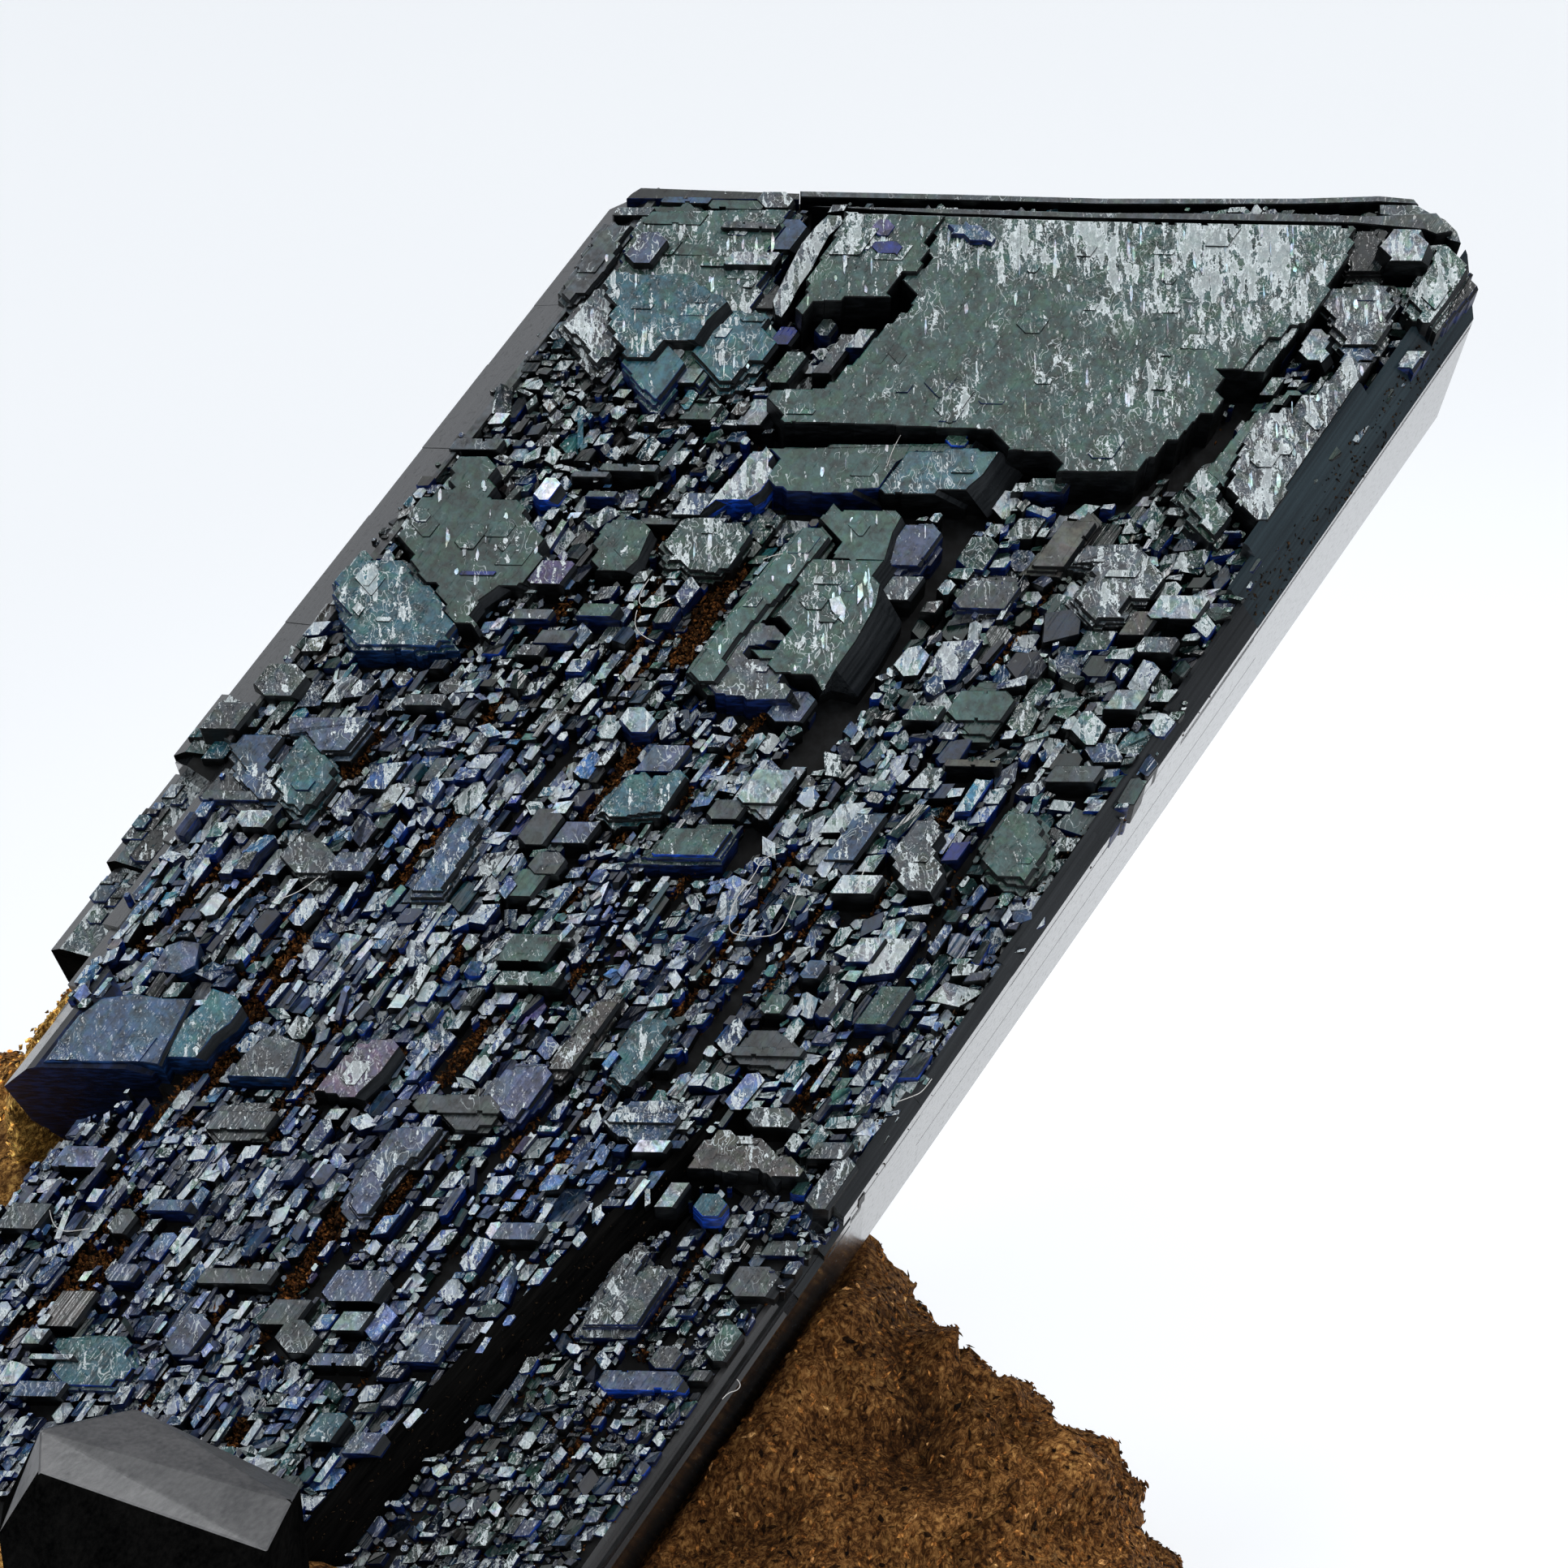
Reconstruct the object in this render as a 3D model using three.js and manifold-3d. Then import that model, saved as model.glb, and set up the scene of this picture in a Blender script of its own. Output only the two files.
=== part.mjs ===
// Vivianite specimen: one big bladed crystal group on a limonite rock.
// Millimetres, +Z up, origin on the rock's flat underside.
import * as THREE from 'three';
import { ConvexGeometry } from 'three/addons/geometries/ConvexGeometry.js';
import { mergeVertices } from 'three/addons/utils/BufferGeometryUtils.js';
import Module from 'manifold-3d';

// ---------- driving dimensions ----------
// A point on the crystal's broad (010) face, and the crystal axes there:
// C runs along the blade's length, N is the broad face's normal, P crosses the blade.
const FACE_POINT = new THREE.Vector3(4.0, 4.0, 36.0);
const LENGTH_DIR = new THREE.Vector3(0.5661, 0.6300, 0.5317);
const FACE_DIR = new THREE.Vector3(0.0059, -0.6480, 0.7616);

const BLADE_LEFT = -16.55;      // left edge of the upper part, outer border of the bevel
const BLADE_LEFT_LOW = -14.45;  // left edge of the lower part
const FOOT_LEFT = -11.6;        // left edge past the thick left crystal's end
const FOOT_LEFT_S = -18.6;      // where the lower part narrows to FOOT_LEFT
const BLADE_RIGHT = 9.2;        // right side face
const BLADE_DEPTH = 10.0;       // thickness across the broad faces
const PRISM_ANGLE = 54.0;       // {110} bevels lie at this angle to the broad face
const BEVEL_L = 1.15;           // run of the left bevel, across the blade
const BEVEL_R = 0.85;           // run of the right bevel
const END_SLOPE = 0.668;        // rise of the end edge along C per mm across
const END_AT_LEFT = 13.9;       // end edge at the blade's left corner
const TIP = [[5.5, 28.6], [7.5, 28.0], [9.2, 26.5]]; // the small truncation at the right corner, [w, s]
const FOOT_SLOPE = 0.355;       // the hidden lower end, cut where it sits in the rock
const FOOT_AT_LEFT = -34.0;
const STEP_S = -10.4;           // the long step starts here
const STEP_TOP_W = 4.3;         // the step's upper edge, at STEP_S
const STEP_FOOT_W = 0.2;        // and at the foot
const TERRACE = -1.8;           // level of the lower terrace
const GAP = 0.35;               // clearance between rock and crystals
const ROCK_DETAIL = 12;         // subdivisions of the rock's faces

const RUN = 1 / Math.tan(THREE.MathUtils.degToRad(PRISM_ANGLE));

// ---------- helpers ----------
const C = LENGTH_DIR.clone().normalize();
const N = FACE_DIR.clone().addScaledVector(C, -FACE_DIR.dot(C)).normalize();
const P = new THREE.Vector3().crossVectors(C, N);

function place(w, s, h) {
  return FACE_POINT.clone().addScaledVector(P, w).addScaledVector(C, s).addScaledVector(N, h);
}

const wasm = await Module();
wasm.setup();

function toSolid(geometry) {
  const g = geometry.clone();
  g.deleteAttribute('normal');
  g.deleteAttribute('uv');
  const m = mergeVertices(g, 1e-4);
  return new wasm.Manifold(new wasm.Mesh({
    numProp: 3,
    vertProperties: new Float32Array(m.attributes.position.array),
    triVerts: new Uint32Array(m.index.array),
  }));
}

function toGeometry(solid) {
  const m = solid.getMesh();
  const g = new THREE.BufferGeometry();
  g.setAttribute('position', new THREE.BufferAttribute(new Float32Array(m.vertProperties), 3));
  g.setIndex(new THREE.BufferAttribute(new Uint32Array(m.triVerts), 1));
  return g;
}

function hull(points) {
  return toSolid(new ConvexGeometry(points));
}

// A closed convex block from crystal coordinates [w, s, h]; grow pushes every side out.
function block(coords, grow = 0) {
  const pts = [];
  for (const [w, s, h] of coords) {
    if (grow === 0) { pts.push(place(w, s, h)); continue; }
    for (const a of [-grow, grow]) for (const b of [-grow, grow]) for (const c of [-grow, grow]) {
      pts.push(place(w + a, s + b, h + c));
    }
  }
  return hull(pts);
}

function endEdge(w) {
  if (w <= TIP[0][0]) return END_AT_LEFT + (w - BLADE_LEFT) * END_SLOPE;
  const k = w <= TIP[1][0] ? 0 : 1;
  const [a, b] = [TIP[k], TIP[k + 1]];
  return a[1] + ((b[1] - a[1]) * (w - a[0])) / (b[0] - a[0]);
}
const footEdge = (w) => FOOT_AT_LEFT + (w + 13.5) * FOOT_SLOPE;

// A slab with bevelled long edges, between two ends given as functions of w.
function slab({ left, right, top, bottom, bevelL, bevelR, end, foot, extra = [] }) {
  const sec = [
    [left + bevelL, top], [right - bevelR, top],
    [left, top - bevelL / RUN], [right, top - bevelR / RUN],
    [left, bottom + bevelL / RUN], [right, bottom + bevelR / RUN],
    [left + bevelL, bottom], [right - bevelR, bottom],
    ...extra.flatMap((w) => [[w, top], [w, bottom]]),
  ];
  return sec.flatMap(([w, h]) => [[w, end(w), h], [w, foot(w), h]]);
}

// Part of the blade left of the long step, from s down to its foot; its right side is the step's face.
function lowPart(left, s, foot) {
  const step = (at) => STEP_TOP_W + ((STEP_FOOT_W - STEP_TOP_W) * (at - STEP_S)) / (footEdge(STEP_FOOT_W) - STEP_S);
  return [s, null].flatMap((at) => {
    const right = at === null ? step(foot(STEP_FOOT_W)) : step(at);
    const end = (w) => (at === null ? foot(w) : at);
    return [
      [left + BEVEL_L, end(left), 0], [right, end(right), 0],
      [left, end(left), -BEVEL_L / RUN], [right + 1.5, end(right), -1.5 / RUN],
      [left, end(left), -BLADE_DEPTH + 1], [right + 1.5, end(right), -BLADE_DEPTH],
    ];
  });
}

// A low plate on a face: a flat top, bevelled long sides and steep ends.
function plate(outline, top, base) {
  const mid = outline.reduce((t, q) => t + q[0], 0) / outline.length;
  const run = (top - base) * RUN;
  return [
    ...outline.map(([w, s]) => [w, s, top]),
    ...outline.map(([w, s]) => [w + (w > mid ? run : -run), s, base]),
  ];
}

// ---------- the blade group: parallel crystals grown together, one solid ----------
const bladeBlocks = [
  // upper part, full width
  slab({
    left: BLADE_LEFT, right: BLADE_RIGHT, top: 0, bottom: -BLADE_DEPTH,
    bevelL: BEVEL_L, bevelR: BEVEL_R, end: endEdge, foot: () => STEP_S + 0.6, extra: [TIP[0][0], TIP[1][0]],
  }),
  // lower part, left of the long step: first wide, then narrower toward the foot
  lowPart(BLADE_LEFT_LOW, STEP_S + 1, () => FOOT_LEFT_S),
  lowPart(FOOT_LEFT, FOOT_LEFT_S + 1, footEdge),
  // the thick left crystal whose end stands free
  [[-14.35, -1.4], [-13.5, 0.62], [-13.25, 0.86], [-11.0, 0.86], [-10.4, 0.1], [-10.2, -6.5], [-13.6, -6.5], [-14.35, -5.4]]
    .flatMap(([w, h]) => [[w, -16.4 - (w + 14) * 0.5, h], [w, -20.45 + (w + 13.2) * 0.66, h]]),
  // lower terrace, right of the long step
  slab({
    left: -8, right: BLADE_RIGHT, top: TERRACE, bottom: -BLADE_DEPTH,
    bevelL: 0.4, bevelR: BEVEL_R, end: () => STEP_S + 1.4, foot: footEdge,
  }),
  // ramp of narrow steps between the upper part and the terrace
  [
    [5.2, STEP_S + 1, -0.2], [8.3, STEP_S + 1, -0.2], [9.1, STEP_S + 1, -1.2], [9.1, STEP_S - 3, -2.9],
    [8.3, STEP_S - 3, -TERRACE * -1], [4.6, STEP_S - 3, TERRACE], [5.2, STEP_S + 1, -4], [9.1, STEP_S + 1, -4],
    [4.6, STEP_S - 3, -4], [9.1, STEP_S - 3, -4],
  ],
  // a thinner parallel crystal on the underside
  slab({
    left: -13.2, right: 7.2, top: -BLADE_DEPTH + 1, bottom: -BLADE_DEPTH - 3.2,
    bevelL: 0.9, bevelR: 0.9, end: (w) => 1.5 + (w + 13.2) * END_SLOPE, foot: (w) => footEdge(w) + 1,
  }),
  // narrower crystal under that, toward the foot
  slab({
    left: -9.5, right: 3.0, top: -BLADE_DEPTH - 2.4, bottom: -BLADE_DEPTH - 4.9,
    bevelL: 0.8, bevelR: 0.8, end: (w) => -9.5 + (w + 9.5) * END_SLOPE, foot: (w) => footEdge(w) + 3,
  }),
  // crystals that show past the left edge, lower than the broad face
  slab({
    left: -16.95, right: -12.5, top: -2.7, bottom: -8.4, bevelL: 1.0, bevelR: 0.4,
    end: () => -8.6, foot: (w) => -13.6 + (w + 17) * 0.3,
  }),
  slab({
    left: -16.75, right: -12.5, top: -3.6, bottom: -7.8, bevelL: 0.9, bevelR: 0.4,
    end: () => -12.4, foot: (w) => -16.7 + (w + 17) * 0.35,
  }),
  slab({
    left: -17.15, right: -13.0, top: -0.9, bottom: -7.2, bevelL: 1.0, bevelR: 0.4,
    end: () => -7.2, foot: (w) => -10.1 + (w + 17) * 0.5,
  }),
];

// plates on the broad face; outlines are [w, s]
const plates = [
  { top: 1.2, base: -0.6, outline: [[-9.43, 17.07], [4.53, 25.90], [5.17, 23.09], [4.46, 20.99], [4.41, 18.21], [3.98, 16.67], [3.19, 14.42], [1.40, 13.18], [-6.65, 9.68], [-7.85, 10.64], [-8.57, 13.38]] },
  { top: 0.9, base: -0.6, outline: [[-6.98, 8.52], [-0.91, 12.98], [-0.22, 12.78], [0.09, 10.44], [-2.33, 8.77], [-6.28, 6.38]] },
  { top: 0.9, base: -0.6, outline: [[-3.91, 7.68], [-1.88, 9.25], [-1.31, 2.97], [-1.91, 2.06], [-3.42, 0.70], [-4.13, 1.19]] },
  { top: 0.9, base: -0.6, outline: [[7.00, 22.35], [5.26, 16.25], [5.82, 15.75], [7.20, 15.51], [7.30, 15.48]] },
  { top: 0.5, base: -0.6, outline: [[-15.0, 13.55], [-11.28, 16.40], [-8.82, 12.79], [-9.41, 9.75], [-11.96, 8.17], [-14.18, 8.38]] },
  { top: 0.6, base: -0.6, outline: [[-14.60, -1.24], [-13.51, -0.48], [-11.68, -1.89], [-11.72, -2.92], [-13.47, -3.96], [-14.60, -3.55]] },
  { top: 0.4, base: -0.6, outline: [[-14.80, 1.04], [-13.26, 2.64], [-11.69, 2.23], [-10.02, 0.35], [-11.43, -1.62], [-13.57, -0.42]] },
  { top: 0.9, base: -0.6, outline: [[-3.79, -1.84], [-0.10, 0.54], [0.33, 0.35], [0.10, -3.27], [-1.81, -4.65], [-3.95, -4.21]] },
  { top: 0.5, base: -0.6, outline: [[3.78, 1.30], [7.30, 3.63], [7.60, 2.67], [7.30, 0.09], [4.90, -0.81], [3.70, -0.37]] },
  { top: 1.0, base: -0.9, outline: [[-13.06, -19.9], [-11.0, -18.5], [-11.50, -14.62], [-13.20, -16.64]] },
  { top: 1.0, base: -0.9, outline: [[-10.14, -18.05], [-9.32, -17.49], [-9.69, -14.78], [-10.99, -14.89]] },
  { top: 0.4, base: -0.6, outline: [[-8.43, -17.34], [-6.97, -16.43], [-7.14, -15.19], [-8.36, -15.63]] },
  { top: -0.8, base: -2.4, outline: [[4.64, -17.28], [5.94, -16.38], [5.74, -14.54], [4.16, -14.61]] },
  { top: -1.0, base: -2.4, outline: [[5.93, -18.39], [7.70, -17.32], [7.70, -14.91], [6.94, -14.65], [6.31, -16.29]] },
  { top: 1.0, base: -0.6, outline: [[4.91, 25.50], [5.25, 26.45], [6.30, 26.80], [6.90, 26.02], [6.24, 24.83]] },
  { top: 0.6, base: -0.6, outline: [[5.58, 23.03], [6.35, 24.27], [7.20, 24.76], [7.20, 22.69], [6.71, 21.70]] },
];
for (const p of plates) bladeBlocks.push(plate(p.outline, p.top, p.base));

let blade = block(bladeBlocks[0]);
for (const b of bladeBlocks.slice(1)) blade = blade.add(block(b));

// ---------- the front crystal: thick and leaning back, on its own ----------
const frontTop = [
  [-16.6, -15.4, 26.35], [-14.2, -15.1, 26.75], [-9.5, -16.9, 25.45], // back ridge
  [-16.55, -16.9, 27.45], [-9.5, -18.6, 26.35],                      // ridge between the two end faces
  [-16.4, -18.3, 27.15], [-10.0, -20.4, 26.15],                      // front ridge
];
const LEAN = new THREE.Vector3(-0.09, 0.30, 1).normalize();          // the crystal's long axis
const FRONT_FOOT_Z = 8.0;
function frontPoints(grow) {
  const pts = [];
  const list = [...frontTop, [-17.6, -16.6, 25.0], [-9.35, -18.2, 24.4], [-17.3, -18.2, 25.2], [-9.6, -20.0, 24.6]];
  for (const [x, y, z] of list) {
    const top = new THREE.Vector3(x, y, z);
    const k = (z - FRONT_FOOT_Z) / LEAN.z;
    const foot = top.clone().addScaledVector(LEAN, -k);
    for (const q of [top, foot]) {
      if (grow === 0) { pts.push(q); continue; }
      for (const a of [-grow, grow]) for (const b of [-grow, grow]) for (const c of [-grow, grow]) {
        pts.push(q.clone().add(new THREE.Vector3(a, b, c)));
      }
    }
  }
  return pts;
}
const frontCrystal = hull(frontPoints(0));

// ---------- the rock: a rough lump with a flat underside and pockets for the crystals ----------
const ROCK_CENTRE = new THREE.Vector3(-5, -3, 5);
// points that the rock's surface passes through
const rockPoints = [
  // top, under the blade
  place(9.3, -8.0, -10.0), place(4, -7.0, -10.6), place(-3, -9.5, -11.0), place(-10, -13.0, -10.5), place(-17.6, -16.2, -10.4),
  place(-2, -16, -8), place(4, -20, -8), place(-8, -24, -8),
  // right ridge, falling to the ground
  new THREE.Vector3(9.8, -3.0, 18.0), new THREE.Vector3(12.9, -5.0, 15.6), new THREE.Vector3(15.8, -6.2, 12.6),
  new THREE.Vector3(18.3, -6.5, 6.0), new THREE.Vector3(20.8, -5.5, 0.0),
  new THREE.Vector3(8.5, 3.2, 14.8), new THREE.Vector3(12.5, 1.8, 11.2),
  // face toward the front, right of the blade
  new THREE.Vector3(7.0, -9.0, 17.2), new THREE.Vector3(9.5, -15.5, 13.5), new THREE.Vector3(13.5, -17.0, 6.0),
  new THREE.Vector3(1.5, -13.0, 14.0), new THREE.Vector3(2.0, -22.5, 11.0), new THREE.Vector3(4.0, -27.0, 3.5),
  // front
  new THREE.Vector3(-6, -25.5, 13.5), new THREE.Vector3(-16, -26.0, 15.5), new THREE.Vector3(-11, -30.0, 9.0), new THREE.Vector3(-12, -31.0, 1.0),
  new THREE.Vector3(-24.5, -17.5, 19.0), new THREE.Vector3(-27, -22.0, 9.0), new THREE.Vector3(-27, -22.5, 1.0),
  // left side
  new THREE.Vector3(-22.3, 7.5, 22.2), new THREE.Vector3(-27.5, 3.0, 18.0), new THREE.Vector3(-32.0, -3.0, 8.0),
  new THREE.Vector3(-33.0, 4.0, 1.0), new THREE.Vector3(-31.5, -10.0, 18.0),
  // back
  new THREE.Vector3(-23.0, 14.0, 14.0), new THREE.Vector3(-24.0, 18.5, 2.0), new THREE.Vector3(-11.0, 15.5, 16.0),
  new THREE.Vector3(-9.0, 22.0, 3.0), new THREE.Vector3(3.0, 12.5, 12.0), new THREE.Vector3(6.0, 17.0, 1.5),
  new THREE.Vector3(13.0, 6.0, 8.5), new THREE.Vector3(17.0, 7.0, 0.0),
  // underside, below the cut
  new THREE.Vector3(-5, -3, -6), new THREE.Vector3(8, -8, -5), new THREE.Vector3(-18, 4, -5), new THREE.Vector3(-10, -18, -5), new THREE.Vector3(-4, 10, -5),
];
const SHARP = 7.0;
function solveRadii() {
  const dirs = rockPoints.map((q) => q.clone().sub(ROCK_CENTRE).normalize());
  const radii = rockPoints.map((q) => q.distanceTo(ROCK_CENTRE));
  const mean = radii.reduce((a, b) => a + b, 0) / radii.length;
  const n = dirs.length;
  const a = dirs.map((d, i) => [...dirs.map((e, j) => Math.exp(-SHARP * (1 - d.dot(e))) + (i === j ? 0.02 : 0)), radii[i] - mean]);
  for (let i = 0; i < n; i++) {
    let best = i;
    for (let r = i + 1; r < n; r++) if (Math.abs(a[r][i]) > Math.abs(a[best][i])) best = r;
    [a[i], a[best]] = [a[best], a[i]];
    for (let r = i + 1; r < n; r++) {
      const f = a[r][i] / a[i][i];
      for (let c = i; c <= n; c++) a[r][c] -= f * a[i][c];
    }
  }
  const x = new Array(n).fill(0);
  for (let i = n - 1; i >= 0; i--) {
    let t = a[i][n];
    for (let c = i + 1; c < n; c++) t -= a[i][c] * x[c];
    x[i] = t / a[i][i];
  }
  return (d) => mean + dirs.reduce((t, e, i) => t + x[i] * Math.exp(-SHARP * (1 - d.dot(e))), 0);
}
const rockRadius = solveRadii();
const lumps = (q) => 0.45 * Math.sin(0.55 * q.x + 1.2 * Math.sin(0.33 * q.y) + 0.7)
  * Math.cos(0.47 * q.y - 0.6 * Math.sin(0.41 * q.z)) + 0.35 * Math.sin(1.13 * q.z + 0.9 * q.x + 0.4) * Math.sin(0.97 * q.y + 0.3 * q.x);

// broken faces: flat cuts across the lump's bulges, each a normal and the share of the reach that it leaves
const ROCK_CUTS = [
  [0.15, -1.0, 0.16, 0.93], [-0.80, -0.62, 0.10, 0.90], [-1.0, 0.12, 0.22, 0.92], [-0.55, 0.80, 0.30, 0.88],
  [0.20, 1.0, 0.40, 0.90], [0.75, 0.62, 0.30, 0.90], [0.55, -0.80, 0.40, 0.92], [-0.25, -0.85, 0.55, 0.95],
  [0.95, -0.30, 0.12, 0.93],
].map(([x, y, z, share]) => ({ n: new THREE.Vector3(x, y, z).normalize(), share }));

const ball = new THREE.IcosahedronGeometry(1, ROCK_DETAIL);
const pos = ball.attributes.position;
const dirs = [];
for (let i = 0; i < pos.count; i++) dirs.push(new THREE.Vector3().fromBufferAttribute(pos, i).normalize());
const reach = dirs.map((d) => rockRadius(d));
for (const cut of ROCK_CUTS) cut.at = cut.share * Math.max(...dirs.map((d, i) => reach[i] * d.dot(cut.n)));
dirs.forEach((d, i) => {
  let r = reach[i];
  for (const { n, at } of ROCK_CUTS) if (d.dot(n) > 1e-3) r = Math.min(r, at / d.dot(n));
  const q = ROCK_CENTRE.clone().addScaledVector(d, r);
  q.addScaledVector(d, lumps(q));
  pos.setXYZ(i, q.x, q.y, q.z);
});
let rock = toSolid(ball);
// flat underside at z = 0
const under = new THREE.BoxGeometry(120, 120, 40);
under.translate(0, 0, -20);
rock = rock.subtract(toSolid(under));
// pockets
for (const b of bladeBlocks) rock = rock.subtract(block(b, GAP));
rock = rock.subtract(hull(frontPoints(GAP)));
const lumpsOfRock = rock.decompose().sort((a, b) => b.volume() - a.volume());
rock = lumpsOfRock[0];

// ---------- the scene graph ----------
const specimen = new THREE.Group();
function add(name, solid, color, roughness, metalness = 0) {
  const mesh = new THREE.Mesh(toGeometry(solid), new THREE.MeshStandardMaterial({ color, roughness, metalness, flatShading: true }));
  mesh.name = name;
  specimen.add(mesh);
}
add('matrix_rock', rock, 0x6b4522, 0.95);
add('vivianite_blade', blade, 0x1d2a2c, 0.18);
add('front_crystal', frontCrystal, 0x15181a, 0.2);

export default specimen;
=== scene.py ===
# Vivianite: a bladed crystal group on a limonite rock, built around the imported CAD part.
import bpy
import bmesh
import math
import numpy as np
from mathutils import Vector, Matrix
from mathutils.kdtree import KDTree


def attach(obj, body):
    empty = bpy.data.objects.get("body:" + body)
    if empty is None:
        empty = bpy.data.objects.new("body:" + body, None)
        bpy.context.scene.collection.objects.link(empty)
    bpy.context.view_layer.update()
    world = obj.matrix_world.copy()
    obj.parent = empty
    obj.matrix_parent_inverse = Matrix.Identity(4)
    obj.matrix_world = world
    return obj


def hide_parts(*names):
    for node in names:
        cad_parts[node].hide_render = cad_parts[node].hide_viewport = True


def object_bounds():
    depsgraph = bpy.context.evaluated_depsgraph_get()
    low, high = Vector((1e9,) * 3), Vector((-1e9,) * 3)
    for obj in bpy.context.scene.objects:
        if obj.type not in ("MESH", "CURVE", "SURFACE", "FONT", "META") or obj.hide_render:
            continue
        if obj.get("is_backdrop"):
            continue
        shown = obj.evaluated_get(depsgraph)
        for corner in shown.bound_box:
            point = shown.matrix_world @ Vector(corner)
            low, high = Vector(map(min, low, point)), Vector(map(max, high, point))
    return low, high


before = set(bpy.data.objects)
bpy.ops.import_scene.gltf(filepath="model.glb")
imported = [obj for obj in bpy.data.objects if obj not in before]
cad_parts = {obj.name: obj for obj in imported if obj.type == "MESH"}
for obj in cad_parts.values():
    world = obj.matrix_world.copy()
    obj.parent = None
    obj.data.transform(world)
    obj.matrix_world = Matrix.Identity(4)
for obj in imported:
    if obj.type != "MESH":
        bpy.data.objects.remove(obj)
bounds_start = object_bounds()
RNG = np.random.default_rng(20)
MM = 0.001

# ------------------------------------------------------------------ crystal axes (mm)
def unit(v):
    v = np.asarray(v, float)
    return v / np.linalg.norm(v)

O = np.array([4.0, 4.0, 36.0])
C = unit([0.5661, 0.6300, 0.5317])
N = np.array([0.0059, -0.6480, 0.7616])
N = unit(N - C * N.dot(C))
P = np.cross(C, N)
E_DIR = unit(P + 0.665 * C)          # direction of the end edges
V_DIR = unit(np.cross(N, E_DIR))     # across them, up the blade
K = 1.376                            # rise of a prism face per mm across

def place(a):
    a = np.asarray(a, float)
    return O + a[..., 0:1] * P + a[..., 1:2] * C + a[..., 2:3] * N

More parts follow.
